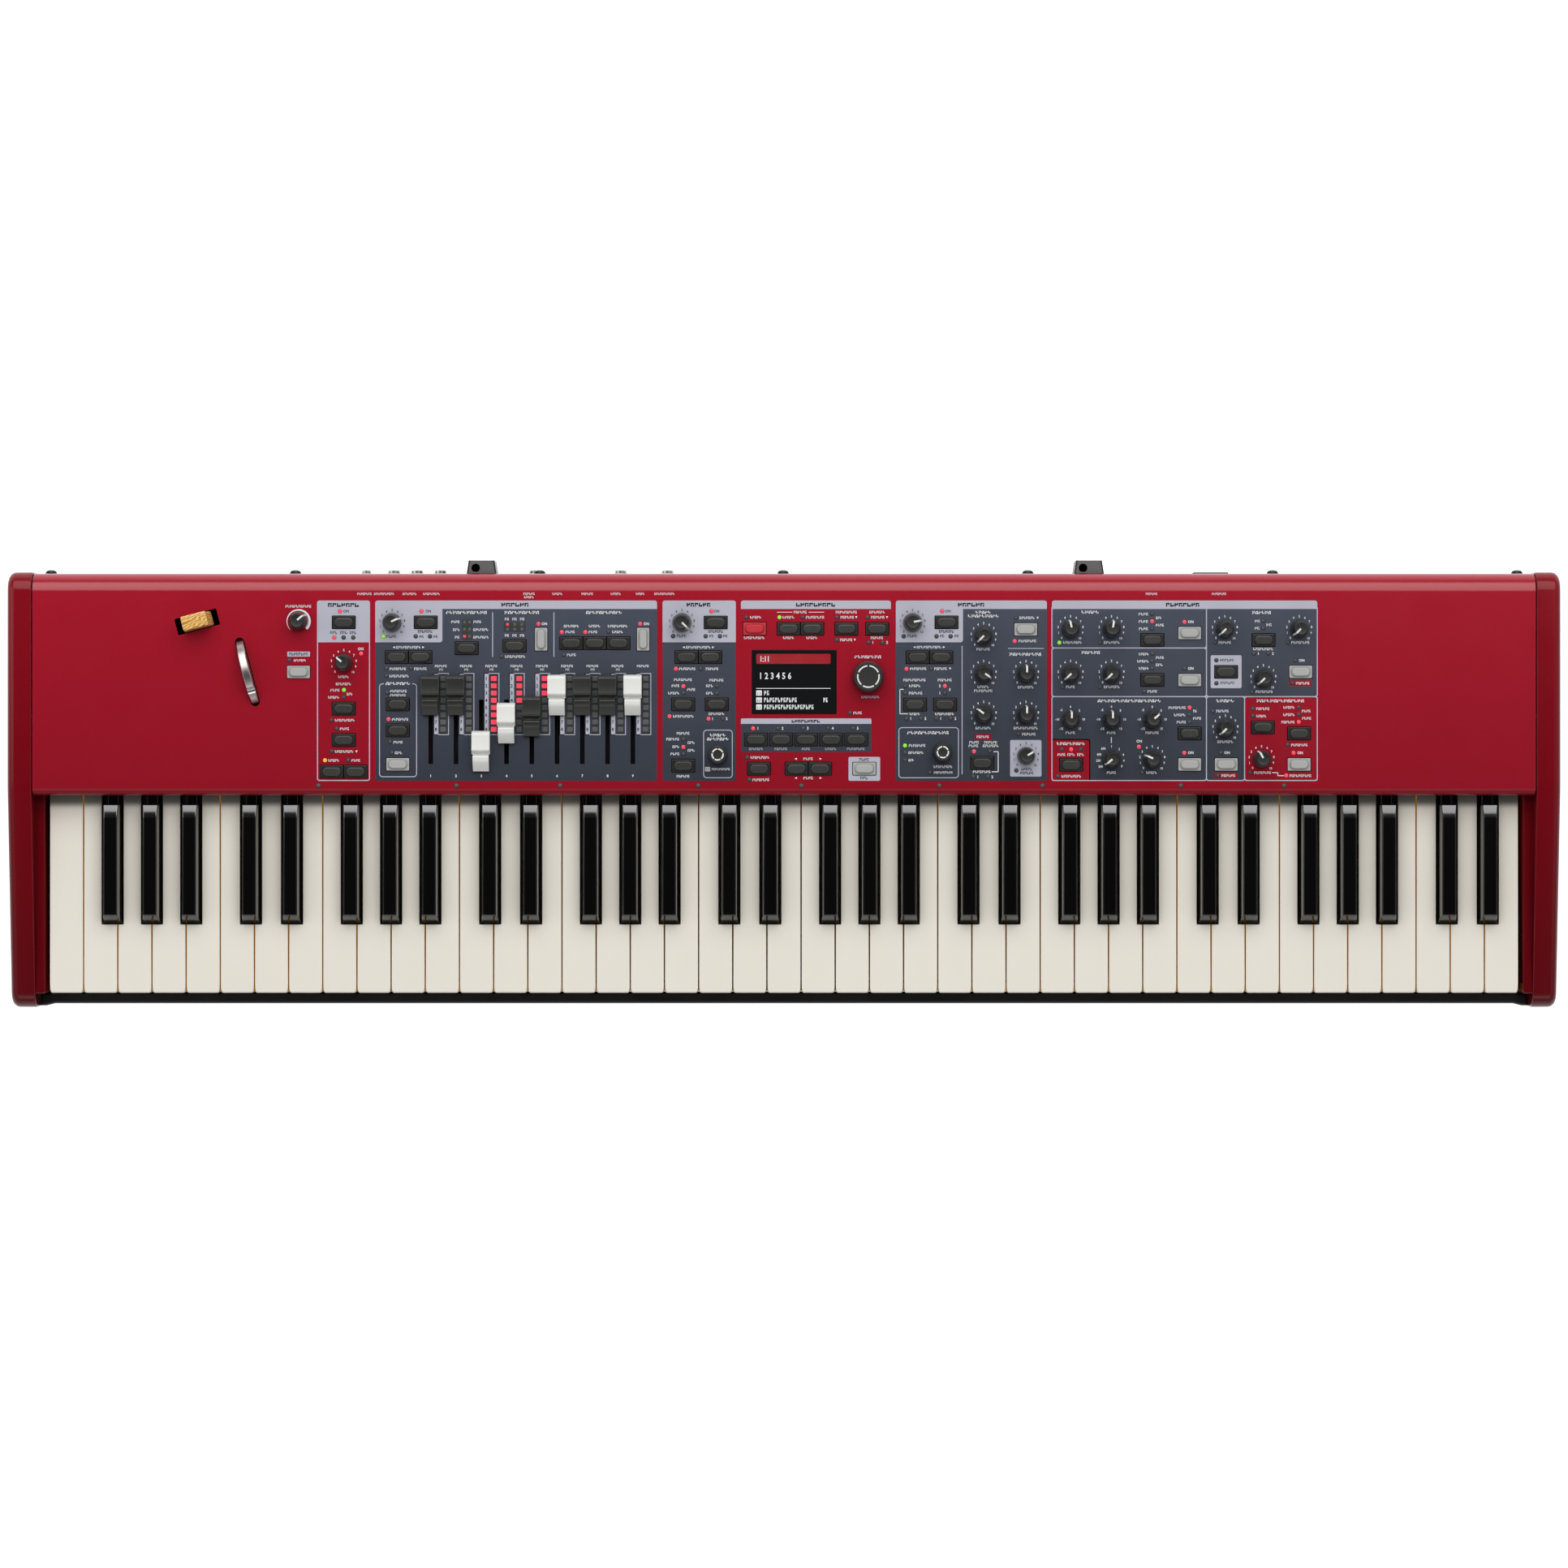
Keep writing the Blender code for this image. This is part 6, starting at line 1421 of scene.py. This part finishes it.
# Captions' places in millimetres: (x, y, width); "on" and "numbers" are stamped, the others are hatched
captionPlan = {
    "master": {"white": [(-333.4, 122.0, 17.8)], "dark": [(-333.3, 89.2, 13.0)],
               "small": [(-332.3, 84.9, 8.6)]},
    "sockets": {"small": [(-288.0, 130.6, 10.0), (-274.5, 130.6, 14.0), (-257.0, 130.6, 9.8),
                          (-242.0, 130.6, 11.6), (-175.0, 130.6, 8.0), (-155.5, 130.6, 7.0),
                          (-135.0, 130.6, 8.0), (-115.4, 130.6, 7.0), (-98.6, 130.6, 6.0), (-82.0, 130.6, 14.0),
                          (252.5, 130.6, 8.0), (298.8, 130.6, 10.0), (-175.0, 128.3, 6.8)]},
    "rotary": {
        "head": [(-302.4, 122.9, 21.5)], "on": [(-300.7, 118.7, "dark"), (-290.7, 92.8, "white")],
        "dark": [(-309.1, 103.9, 5.1), (-302.3, 103.9, 5.1), (-295.8, 103.9, 4.6)],
        "white": [(-302.4, 73.6, 7.4), (-302.4, 68.7, 10.6), (-308.2, 64.4, 6.4), (-298.2, 61.8, 4.1),
                  (-309.1, 59.5, 7.7), (-301.5, 43.8, 13.7), (-301.7, 37.9, 6.5), (-301.9, 22.3, 12.9),
                  (-309.1, 16.2, 7.5), (-293.9, 16.2, 6.1)],
    },
    "organ": {
        "head": [(-184.5, 123.1, 19.0)],
        "on": [(-244.3, 118.7, "dark"), (-164.6, 110.0, "white"), (-94.6, 110.0, "white")],
        "dark": [(-246.3, 104.7, 10.2), (-248.8, 101.2, 3.1), (-239.0, 101.2, 3.1), (-269.5, 101.2, 7.0)],
        "heavy": [(-217.9, 117.8, 28.2), (-179.9, 117.8, 24.0), (-123.5, 117.8, 24.9), (-265.0, 69.0, 17.0)],
        "white": [(-257.8, 93.9, 17.2), (-265.1, 79.1, 11.4), (-249.6, 79.1, 8.8), (-264.2, 74.1, 13.5),
                  (-264.6, 63.8, 11.4), (-263.5, 44.4, 11.4), (-265.0, 28.7, 6.5), (-264.6, 21.4, 5.2),
                  (-225.5, 111.4, 5.9), (-224.9, 106.0, 4.9), (-224.3, 100.8, 3.3), (-210.5, 111.4, 5.4),
                  (-208.1, 106.0, 10.5), (-207.9, 100.8, 10.8), (-190.2, 113.3, 3.0), (-184.9, 113.3, 3.2),
                  (-179.7, 113.3, 3.2), (-190.2, 102.0, 3.0), (-184.9, 102.0, 3.2), (-179.7, 102.0, 3.2),
                  (-184.5, 87.5, 14.0), (-145.9, 108.4, 10.6), (-130.0, 108.4, 8.0), (-114.1, 108.4, 13.7),
                  (-146.8, 104.4, 6.5), (-131.1, 104.4, 6.1), (-114.2, 104.4, 7.5), (-145.9, 88.7, 6.4)],
        "small": [(-265.1, 61.0, 10.6)],
    },
    "piano": {
        "head": [(-58.5, 123.1, 16.7)], "on": [(-46.3, 118.7, "dark")],
        "dark": [(-46.8, 104.7, 10.2), (-49.7, 101.6, 3.1), (-40.1, 101.6, 3.1), (-70.3, 101.6, 6.8)],
        "white": [(-58.8, 93.9, 17.2), (-66.3, 79.1, 11.4), (-49.3, 79.1, 8.8), (-69.3, 71.6, 12.5),
                  (-74.4, 67.5, 5.4), (-75.6, 62.4, 8.0), (-63.6, 64.9, 5.6), (-46.3, 71.3, 9.8),
                  (-51.0, 67.4, 5.0), (-51.0, 62.4, 5.0), (-69.0, 46.5, 14.4), (-46.2, 48.2, 11.0),
                  (-69.2, 34.8, 9.0), (-76.3, 30.8, 9.0), (-74.1, 25.6, 4.9), (-74.8, 20.7, 6.2),
                  (-63.6, 28.4, 5.0), (-63.6, 23.1, 5.0), (-69.2, 5.3, 9.0)],
        "heavy": [(-45.3, 33.6, 11.0), (-45.3, 30.9, 15.2)], "small": [(-43.3, 10.2, 12.6)],
        "numbers": [(-49.1, 44.8, "1"), (-39.4, 44.9, "2")],
    },
    "program": {
        "head": [(21.9, 123.1, 27.2)], "headSmall": [(15.1, 43.1, 19.6)],
        "white": [(11.2, 118.0, 9.0), (-19.3, 114.5, 7.8), (3.2, 114.5, 8.2), (21.4, 114.5, 12.7),
                  (42.9, 118.0, 14.7), (64.1, 118.0, 10.8), (43.5, 114.5, 9.4), (64.5, 114.5, 9.4),
                  (-20.3, 100.4, 14.3), (3.2, 100.4, 7.6), (19.2, 100.4, 7.6), (42.8, 99.0, 8.6),
                  (63.9, 100.4, 8.6), (50.6, 48.8, 5.9), (-16.4, 18.2, 13.1), (16.7, 17.3, 6.7),
                  (16.7, 4.1, 6.7), (-15.8, 2.9, 11.7)],
        "heavy": [(57.7, 87.3, 18.4)], "dark": [(55.1, 16.8, 6.9), (55.1, 4.1, 5.4)],
        "numbers": [(61.0, 97.2, "1"), (70.8, 97.2, "2"), (-17.9, 38.3, "1"), (-1.0, 38.3, "2"),
                    (16.3, 38.3, "3"), (33.4, 38.3, "4"), (50.6, 38.3, "5")],
        "lavender": [(-19.1, 24.1, 9.8), (-2.1, 24.1, 8.8), (15.1, 24.1, 5.7), (32.2, 24.1, 7.9),
                     (49.4, 24.1, 12.4), (59.4, 59.7, 12.6)],
    },
    "synth": {
        "head": [(128.7, 123.1, 18.4)], "on": [(112.6, 118.7, "dark")],
        "dark": [(111.6, 104.7, 10.2), (108.7, 101.6, 3.1), (118.7, 101.6, 3.1), (88.1, 101.6, 6.8),
                 (166.8, 10.2, 7.8), (166.8, 7.5, 9.4)],
        "heavy": [(136.9, 117.9, 10.6), (137.1, 115.3, 21.4), (165.9, 89.1, 22.0), (99.0, 35.2, 28.6)],
        "white": [(99.7, 94.0, 17.0), (92.2, 79.2, 11.4), (107.6, 79.2, 8.8), (89.7, 71.4, 15.5),
                  (110.5, 71.4, 9.8), (89.9, 67.4, 8.0), (90.5, 62.4, 9.5), (89.9, 48.1, 7.2),
                  (110.3, 48.1, 13.0), (91.5, 26.4, 11.6), (90.7, 21.5, 10.5), (87.4, 16.4, 3.8),
                  (109.3, 11.9, 13.0), (136.9, 92.6, 9.4), (136.9, 66.7, 8.0), (136.9, 64.0, 12.7),
                  (136.9, 38.4, 10.6), (130.6, 28.6, 6.7), (130.2, 26.2, 6.7), (142.0, 28.6, 9.0),
                  (142.0, 26.2, 11.0), (135.9, 8.4, 12.3), (167.0, 114.1, 10.6), (167.2, 98.2, 12.3),
                  (166.1, 66.5, 11.0), (166.1, 38.4, 16.8), (168.2, 34.2, 9.4), (136.6, 32.45, 8.6)],
        "small": [(109.5, 7.9, 13.0)],
        "numbers": [(107.0, 67.4, "2"), (113.8, 64.9, "3"), (107.0, 62.4, "1"), (87.0, 45.0, "1"),
                    (97.1, 45.0, "2"), (107.6, 45.0, "1"), (117.7, 45.0, "2"), (133.1, 4.9, "1"),
                    (143.0, 4.9, "2")],
    },
    "effects": {
        "head": [(274.0, 123.1, 23.3)],
        "on": [(279.3, 111.4, "white"), (279.3, 79.4, "white"), (279.3, 21.5, "white"),
               (243.9, 29.4, "white"), (304.2, 21.5, "white"), (354.4, 21.4, "white"),
               (355.5, 84.9, "white")],
        "heavy": [(210.5, 118.0, 12.3), (210.8, 90.3, 12.8), (237.3, 57.1, 43.7), (197.2, 27.7, 19.6),
                  (328.1, 117.7, 13.1), (303.2, 57.1, 12.3), (341.0, 57.1, 32.7)],
        "white": [(246.9, 116.7, 6.7), (257.4, 114.1, 3.9), (246.9, 111.6, 6.5), (258.2, 109.1, 5.6),
                  (246.9, 106.6, 6.4), (247.2, 89.2, 7.0), (258.2, 86.8, 5.6), (246.6, 84.3, 8.0),
                  (257.8, 81.8, 4.9), (247.2, 79.4, 6.9), (253.0, 63.6, 6.7), (325.2, 111.8, 3.7),
                  (333.2, 109.3, 3.7), (325.0, 106.9, 3.4), (329.2, 92.7, 13.9), (302.8, 97.2, 8.7),
                  (354.7, 97.2, 12.7), (329.9, 63.4, 11.9), (356.3, 69.2, 9.4), (252.9, 35.2, 9.2),
                  (252.6, 7.8, 7.5), (270.0, 52.4, 11.9), (282.3, 50.1, 2.5), (271.9, 47.4, 8.0),
                  (283.8, 45.1, 5.7), (272.9, 42.5, 6.4), (301.1, 50.1, 8.7), (303.2, 29.0, 11.0),
                  (305.2, 5.8, 9.6), (328.9, 51.7, 9.2), (327.9, 46.6, 6.9), (346.9, 52.6, 7.8),
                  (358.7, 50.1, 6.1), (346.9, 47.6, 8.0), (359.0, 45.1, 6.4), (346.2, 42.5, 9.2),
                  (354.0, 26.8, 11.4), (328.7, 7.8, 11.6), (354.7, 5.7, 15.1), (198.2, 97.2, 12.9),
                  (225.2, 97.2, 11.0), (196.8, 66.7, 6.2), (225.2, 66.7, 11.0), (196.8, 35.2, 6.7),
                  (224.8, 35.2, 6.1), (224.9, 7.8, 6.4), (190.6, 20.2, 5.5), (197.3, 20.2, 5.3),
                  (203.8, 20.2, 4.9), (197.4, 5.3, 13.7)],
        "dark": [(304.3, 85.0, 9.6), (304.6, 69.4, 10.0)],
        "numbers": [(325.7, 89.6, "1"), (335.7, 89.6, "2")],
    },
}
# each kind's ink, height and whether its strokes are heavy
captionKinds = {
    "white": ("white", 0.00185, False), "small": ("white", 0.0016, False), "dark": ("dark", 0.0019, False),
    "heavy": ("white", 0.0020, True), "head": ("dark", 0.0026, True), "headSmall": ("dark", 0.0020, True),
    "lavender": ("lavender", 0.0018, False),
}
# arrowheads: (x, y, turn of the point in degrees)
arrowPlan = [(-267.8, 93.9, 180), (-247.8, 93.9, 0), (-68.8, 93.9, 180), (-48.8, 93.9, 0), (89.7, 94.0, 180),
             (109.7, 94.0, 0), (8.2, 17.3, 180), (25.0, 17.3, 0), (8.2, 4.1, 180), (25.0, 4.1, 0),
             (49.6, 114.6, 270), (70.7, 114.6, 270), (48.6, 99.1, 270), (114.0, 79.3, 270),
             (174.2, 114.2, 270), (-293.6, 22.4, 270)]
# plain lines in white ink: (x, y, width, depth)
whiteLines = [(-52.4, 11.4, 3.4, 0.6), (-52.4, 10.2, 3.4, 0.6), (-52.4, 9.0, 3.4, 0.6),
              (-52.4, 10.2, 0.6, 3.0), (-53.9, 10.2, 0.5, 3.0), (-50.9, 10.2, 0.5, 3.0),
              (0.4, 118.0, 10.6, 0.35), (22.2, 118.0, 10.6, 0.35), (224.8, 30.2, 0.5, 4.1),
              (79.6, 56.6, 0.5, 16.8), (80.9, 65.0, 2.5, 0.5), (82.4, 48.2, 5.7, 0.5),
              (147.1, 15.3, 0.5, 13.9), (145.5, 22.2, 3.3, 0.5), (144.9, 8.4, 4.5, 0.5),
              (337.1, 7.8, 4.1, 0.5), (339.1, 6.8, 0.5, 2.5), (341.4, 5.7, 4.5, 0.5)]
lavenderLines = [(122.3, 50.8, 0.6, 88.1), (166.1, 93.1, 24.6, 0.5), (-200.1, 102.6, 0.6, 30.6),
                 (-158.0, 102.6, 0.6, 30.6)]
# the organ's preset outline stops on both sides of its caption
openBox = {"edges": (-0.2781, -0.2520, 0.0047, 0.0691), "middle": -0.2650, "gap": 0.0195}
outlineBoxes = [(-0.0555, -0.0352, 0.0040, 0.0373), (0.0786, 0.1201, 0.0040, 0.0390)]


def knobScales():
    # numbers around the knobs: (knob, marks, ink)
    tens = [(str(i), -135 + 27 * i) for i in range(11)]
    fifteens = [(str(v), 9 * v) for v in range(-15, 20, 5)]
    labels, turns = "200 250 400 600 1 2 4 6 8".split(), (-125, -97, -70, -38, 0, 38, 70, 97, 125)
    plan = []
    for name, (x, y, _) in levelKnobs.items():
        if name != "master_level_knob":
            plan.append(((x, y), tens, "dark"))
    for x, y, _ in leftKnobs + rightKnobs:
        marks = tens
        if abs(y - 0.0444) < 1e-4 and x < 0.26:
            marks = fifteens
        if abs(x - 0.2249) < 1e-4 and y < 0.02:
            marks = list(zip(labels, turns))
        plan.append(((x, y), marks, "dark" if abs(x - 0.1662) < 1e-4 and y < 0.02 else "white"))
    return plan


def makeMarks():
    inks = {"white": bmesh.new(), "dark": bmesh.new(), "lavender": bmesh.new()}
    z = deck["top"] + inkLayer["mark"]
    for plan in captionPlan.values():
        for kind, (ink, height, heavy) in captionKinds.items():
            for x, y, width in plan.get(kind, ()):
                hatch(inks[ink], x / 1000, y / 1000, width / 1000, height, z, heavy)
        for x, y, ink in plan.get("on", ()):
            stamp(inks[ink], "ON", x / 1000, y / 1000, 0.0019, z, 0.95)
        for x, y, text in plan.get("numbers", ()):
            stamp(inks["white"], text, x / 1000, y / 1000, 0.0019, z)
    for (x, y), marks, ink in knobScales():
        for text, turn in marks:
            reach, turn = 0.0086 if len(text) < 2 else 0.0091, math.radians(turn)
            stamp(inks[ink], text, x + reach * math.sin(turn), y + reach * math.cos(turn), 0.00165, z, 0.92)
    for number in range(9):
        x = drawbarX(number)
        stamp(inks["white"], str(number + 1), x, 0.0056, 0.0018, z)
        hatch(inks["white"], x + 0.0070, 0.0810, 0.0084, 0.00175, z)
        if number < 8:
            hatch(inks["white"], x + 0.0072, 0.0786, 0.0028, 0.0015, z)
    for x, y, turn in arrowPlan:
        arrowInk(inks["white"], x / 1000, y / 1000, 0.00095, z, turn)
    for ink, plan in (("white", whiteLines), ("lavender", lavenderLines)):
        for x, y, width, depth in plan:
            line = rectAt((x / 1000, y / 1000), width / 1000, depth / 1000)
            merge(inks[ink], inkPrism(line, "line"))
    for outline in outlineBoxes:
        merge(inks["lavender"], ringInk(outline, 0.0024, 0.0006))
    box, paths = openBox, []
    for d in (0.0, 0.0006):
        edges = grown(box["edges"], -d)
        points = cornered(*edges, (0.0024 - d,) * 4)
        turn = len(points) * 3 // 4
        paths.append([(box["middle"] - box["gap"] / 2, edges[3])] + points[turn:] + points[:turn]
                     + [(box["middle"] + box["gap"] / 2, edges[3])])
    merge(inks["lavender"], inkPrism(paths[0] + paths[1][::-1], "line"))
    # master knob's crescent, which widens as it turns
    x, y, _ = levelKnobs["master_level_knob"]
    outer, inner, reach, parts = [], [], 0.0083, 40
    for i in range(parts + 1):
        turn, thick = math.radians(-135 + 270 * i / parts), 0.0003 + 0.0016 * i / parts
        outer.append((x + reach * math.sin(turn), y + reach * math.cos(turn)))
        inner.append((x + (reach - thick) * math.sin(turn), y + (reach - thick) * math.cos(turn)))
    merge(inks["white"], inkPrism(outer + inner[::-1], "line"))
    for ink, look in (("white", "whiteInk"), ("dark", "darkInk"), ("lavender", "lavenderInk")):
        addPiece(f"print_{ink}_marks", inks[ink], look, "case", 20.0)


makeMarks()
print("marks are printed")


# Lamps beside the captions, in millimetres, by section and colour
lampPlan = {
    "lampRed": [(-304.9, 118.7), (-308.9, 100.6), (-290.4, 89.6), (-249.0, 118.7), (-271.6, 44.5),
                (-168.6, 110.0), (-152.6, 104.3), (-136.4, 104.3), (-98.8, 110.0), (-49.9, 118.7),
                (-74.2, 79.1), (-69.1, 67.2), (-78.6, 46.5), (-51.8, 44.8), (-69.1, 25.4), (-21.2, 38.2),
                (108.6, 118.8), (84.1, 79.1), (110.5, 67.3), (158.4, 98.1), (130.5, 22.4), (252.8, 111.7),
                (275.0, 111.3), (278.5, 52.5), (274.9, 21.4), (243.7, 25.6), (197.2, 23.8), (353.5, 42.6),
                (349.9, 21.4), (344.9, 5.8)],
    "lampGreen": [(-302.2, 64.6), (-275.1, 101.4), (-3.1, 114.5), (83.1, 26.4), (189.1, 97.1)],
    "lampAmber": [(-315.2, 16.3)],
    "lampDark": [(-339.8, 85.0), (-302.4, 100.6), (-295.8, 100.6), (-302.4, 59.5), (-310.8, 43.9),
                 (-307.2, 38.0), (-310.6, 22.4), (-299.3, 16.3), (-252.9, 101.4), (-243.1, 101.4),
                 (-273.1, 79.4), (-256.2, 79.4), (-273.1, 74.3), (-272.5, 62.7), (-270.5, 28.9),
                 (-269.3, 21.4), (-194.0, 87.6), (-120.5, 104.5), (-151.3, 88.6), (-76.2, 101.5),
                 (-53.8, 101.5), (-44.0, 101.5), (-57.3, 79.1), (-69.1, 62.3), (-46.2, 67.2), (-46.2, 62.3),
                 (-42.1, 44.9), (-69.1, 30.6), (-69.1, 20.6), (-25.9, 114.5), (12.8, 114.5), (36.3, 114.5),
                 (57.4, 114.5), (36.3, 98.9), (58.1, 97.1), (67.7, 97.1), (45.4, 48.8), (-4.1, 38.2),
                 (13.1, 38.2), (30.3, 38.2), (47.5, 38.2), (-25.3, 18.2), (-23.7, 2.9), (82.2, 101.4),
                 (104.7, 101.4), (114.4, 101.4), (101.2, 79.1), (83.3, 67.3), (83.3, 62.4), (110.5, 62.4),
                 (84.1, 44.9), (94.1, 44.9), (104.6, 44.9), (114.5, 44.9), (83.1, 21.5), (83.1, 16.5),
                 (100.3, 7.9), (159.3, 114.0), (141.5, 22.4), (129.9, 5.1), (140.1, 5.1), (161.0, 34.3),
                 (159.5, 9.3), (217.2, 97.1), (252.8, 116.9), (252.8, 106.7), (191.3, 66.6), (217.2, 66.6),
                 (252.8, 89.4), (252.8, 84.3), (252.8, 79.3), (275.0, 79.3), (247.3, 63.5), (278.5, 47.5),
                 (278.5, 42.5), (246.2, 7.7), (190.7, 23.8), (203.8, 23.8), (188.1, 5.4), (296.1, 97.1),
                 (346.2, 97.1), (329.1, 112.0), (329.1, 106.9), (322.6, 89.5), (332.6, 89.5), (296.9, 85.0),
                 (296.9, 69.2), (321.5, 63.3), (351.2, 84.9), (349.3, 69.2), (294.5, 49.9), (300.1, 21.4),
                 (298.0, 5.8), (322.0, 51.6), (322.0, 46.7), (353.5, 52.6), (353.5, 47.7), (345.9, 27.0),
                 (320.2, 7.7)],
}
lampShape = {"rim": 0.00155, "lit": 0.00135, "dark": 0.00100, "rise": 0.00030}


def makeLamps():
    plan, top = lampShape, deck["top"]
    rims = []
    for look, places in lampPlan.items():
        radius = plan["dark"] if look == "lampDark" else plan["lit"]
        domes = []
        for x, y in places:
            at, rise = (x / 1000, y / 1000), plan["rise"]
            domes.append(turnedRings(at, [(radius, top - 0.0002), (radius, top + 0.00010),
                                          (radius * 0.86, top + rise * 0.6), (radius * 0.5, top + rise * 0.9),
                                          (radius * 0.15, top + rise)], 24))
            outer, inner = plan["rim"], radius + 0.00002
            loops = [(outer, top - 0.0001), (outer, top + 0.00014), (outer - 0.0001, top + 0.00018),
                     (inner, top + 0.00016), (inner, top - 0.0001)]
            rims.append(loft([flat(circleAt(at, r, 24), z) for r, z in loops], False))
        addPiece(f"lamps_{look[4:].lower()}", joined(domes), look, "case", 50.0)
    addPiece("lamp_rims", joined(rims), "lampRim", "case", 30.0)


makeLamps()


# Ladders of square lamps beside the drawbars, and the two small lamp blocks
ladder = {"frames": (-0.2407, -0.2233, -0.2061, -0.1887, -0.1712, -0.1541, -0.1367, -0.1192, -0.1018),
          "columns": (-0.2341, -0.2165, -0.1993, -0.1818, -0.1644, -0.1471, -0.1298, -0.1123, -0.0950),
          "width": 0.0106, "front": 0.0336, "rear": 0.0762, "strip": 0.0033, "line": 0.0005, "first": 0.0724,
          "step": 0.00498, "lamp": (0.0039, 0.0033), "lit": {2: 8, 3: 4, 4: 3}}


def lampBlock(x, y, width, depth, low, high):
    return roundedPrism(rectAt((x, y), width, depth, 0.0003, 2), low, high, 0.00015, 2)


def makeLadders():
    plan, top = ladder, deck["top"]
    frames, strips, lit, dim, numbers = [], [], [], [], bmesh.new()
    for number, (left, x) in enumerate(zip(plan["frames"], plan["columns"])):
        right = left + plan["width"]
        frames.append(ringInk((left, right, plan["front"], plan["rear"]), 0, plan["line"]))
        frames.append(inkPrism(roundedRect(left, left + plan["strip"], plan["front"], plan["rear"]), "line"))
        strips.append(inkPrism(roundedRect(x - 0.0024, x + 0.0024, plan["front"] + 0.0008, plan["rear"] - 0.0008),
                               "box"))
        for k in range(8):
            y = plan["first"] - plan["step"] * k
            block = lampBlock(x, y, *plan["lamp"], top - 0.0001, top + 0.0003)
            (lit if k < plan["lit"].get(number, 0) else dim).append(block)
            stamp(numbers, str(k + 1), left + 0.00165, y, 0.0024, top + inkLayer["mark"])
    addPiece("ladder_frames", joined(frames), "lavenderInk", "case", 20.0)
    addPiece("ladder_strips", joined(strips), "lampRim", "case", 20.0)
    addPiece("ladder_numbers", numbers, "darkInk", "case", 20.0)
    for left, right, front, rear, across, down, bright in ((-0.2211, -0.2142, 0.0990, 0.1135, 2, 3, (0, 2)),
                                                           (-0.1923, -0.1775, 0.1045, 0.1113, 3, 2, (0, 0))):
        outline = roundedRect(left, right, front, rear, 0.0008, 4)
        plates = [roundedPrism(outline, top - 0.0001, top + 0.00012, 0.0001, 2),
                  painted(roundedPrism(inset(outline, 0.0005), top - 0.0001, top + 0.00018, 0.0001, 2), 1)]
        addPiece(f"lamp_block_{across}_by_{down}", joined(plates), ["lampRim", "buttonDark"], "case", 20.0)
        for i in range(across):
            for j in range(down):
                x = left + (right - left) * (i + 0.5) / across
                y = rear - (rear - front) * (j + 0.5) / down
                block = lampBlock(x, y, 0.0019, 0.0019, top, top + 0.0003)
                (lit if (i, j) == bright else dim).append(block)
    addPiece("ladder_lamps_lit", joined(lit), "lampRed", "case", 30.0)
    addPiece("ladder_lamps_dim", joined(dim), "lampSmoke", "case", 30.0)


makeLadders()
print("lamps are in")


# Display: the module under the deck, its glass in the window, and plain content on it
def makeDisplay():
    left, right, _, rear = window
    under, glassTop = underDeck - gap["seat"], deck["top"] - 0.0008
    body = roundedPrism(roundedRect(*grown(window, 0.003), 0.0006, 3), under - 0.004, under, 0.0003, 2)
    addPiece("display_body", body, "socketPlastic", "case", replaces=("display_module",))
    glass = roundedRect(*grown(window, -gap["seat"]), 0.0006, 3)
    glass = roundedPrism(glass, under - 0.001, glassTop, 0.0002, 2)
    addPiece("display_glass", glass, "screenBlack", "case")
    z = glassTop + 0.00003
    inner = (left + 0.0031, right - 0.0042)
    bar = prism(roundedRect(inner[0], inner[1], rear - 0.0096, rear - 0.0027, 0.0011, 5), glassTop - 0.0001, z)
    addPiece("display_red_bar", bar, "screenRed", "case", 20.0)
    shape = bmesh.new()
    stamp(shape, "1:11", inner[0] + 0.0058, rear - 0.0062, 0.0040, z + 0.00002, 0.72)
    stamp(shape, "1 2 3 4 5 6", inner[0] + 0.0134, rear - 0.0178, 0.0046, z, 0.80)
    merge(shape, prism(roundedRect(*inner, rear - 0.02665, rear - 0.02625), glassTop - 0.0001, z))
    for width, y in ((0.0040, 0.0296), (0.0230, 0.0344), (0.0345, 0.0392)):
        square = roundedRect(inner[0], inner[0] + 0.0039, rear - y - 0.0018, rear - y + 0.0018, 0.0003, 3)
        merge(shape, prism(square, glassTop - 0.0001, z))
        hatch(shape, inner[0] + 0.0054 + width / 2, rear - y, width, 0.0031, z)
    hatch(shape, inner[1] - 0.0032, rear - 0.0344, 0.0034, 0.0031, z)
    addPiece("display_marks", shape, "screenWhite", "case", 20.0)
    cuts = bmesh.new()
    for row, y in enumerate((0.0296, 0.0344, 0.0392)):
        at = (inner[0] + 0.00195, rear - y)
        for shift in ((-0.0008, 0.0008) if row != 1 else (-0.0010, 0.0, 0.0010)):
            merge(cuts, prism(rectAt((at[0] + shift, at[1] - 0.0005), 0.00035, 0.0018), z - 0.00001, z + 0.00002))
    addPiece("display_icons", cuts, "screenBlack", "case", 20.0)


makeDisplay()
print("display is lit")


# What stays from the CAD gets its own finishes; the underside gets its screws
undersideScrews = {"x": (-0.49, -0.245, 0.0, 0.245, 0.49), "y": (-0.128, 0.012, 0.132), "radius": 0.0032,
                   "proud": 0.0008}


def makeUnderside():
    plan = undersideScrews
    places = [((x, y, caseBottom), x * 9 + y * 40) for x in plan["x"] for y in plan["y"]]
    heads = screwsFacing(plan["radius"], plan["proud"], places, Matrix.Rotation(math.pi, 4, "X"))
    addPiece("underside_screws", heads, ["screwBlack", "lampRim"], "case")


def dressCad():
    looks = {"bottom_pan": "zincBlack", "keybed_chassis": "zincSheet", "main_circuit_board": "boardGreen",
             "controller_bracket": "zincSheet"}
    for item in scene.objects:
        look = looks.get(item.name.split(".")[0])
        for slot in item.material_slots if look and item.type == "MESH" else ():
            slot.material = finishes[look]


makeUnderside()
dressCad()
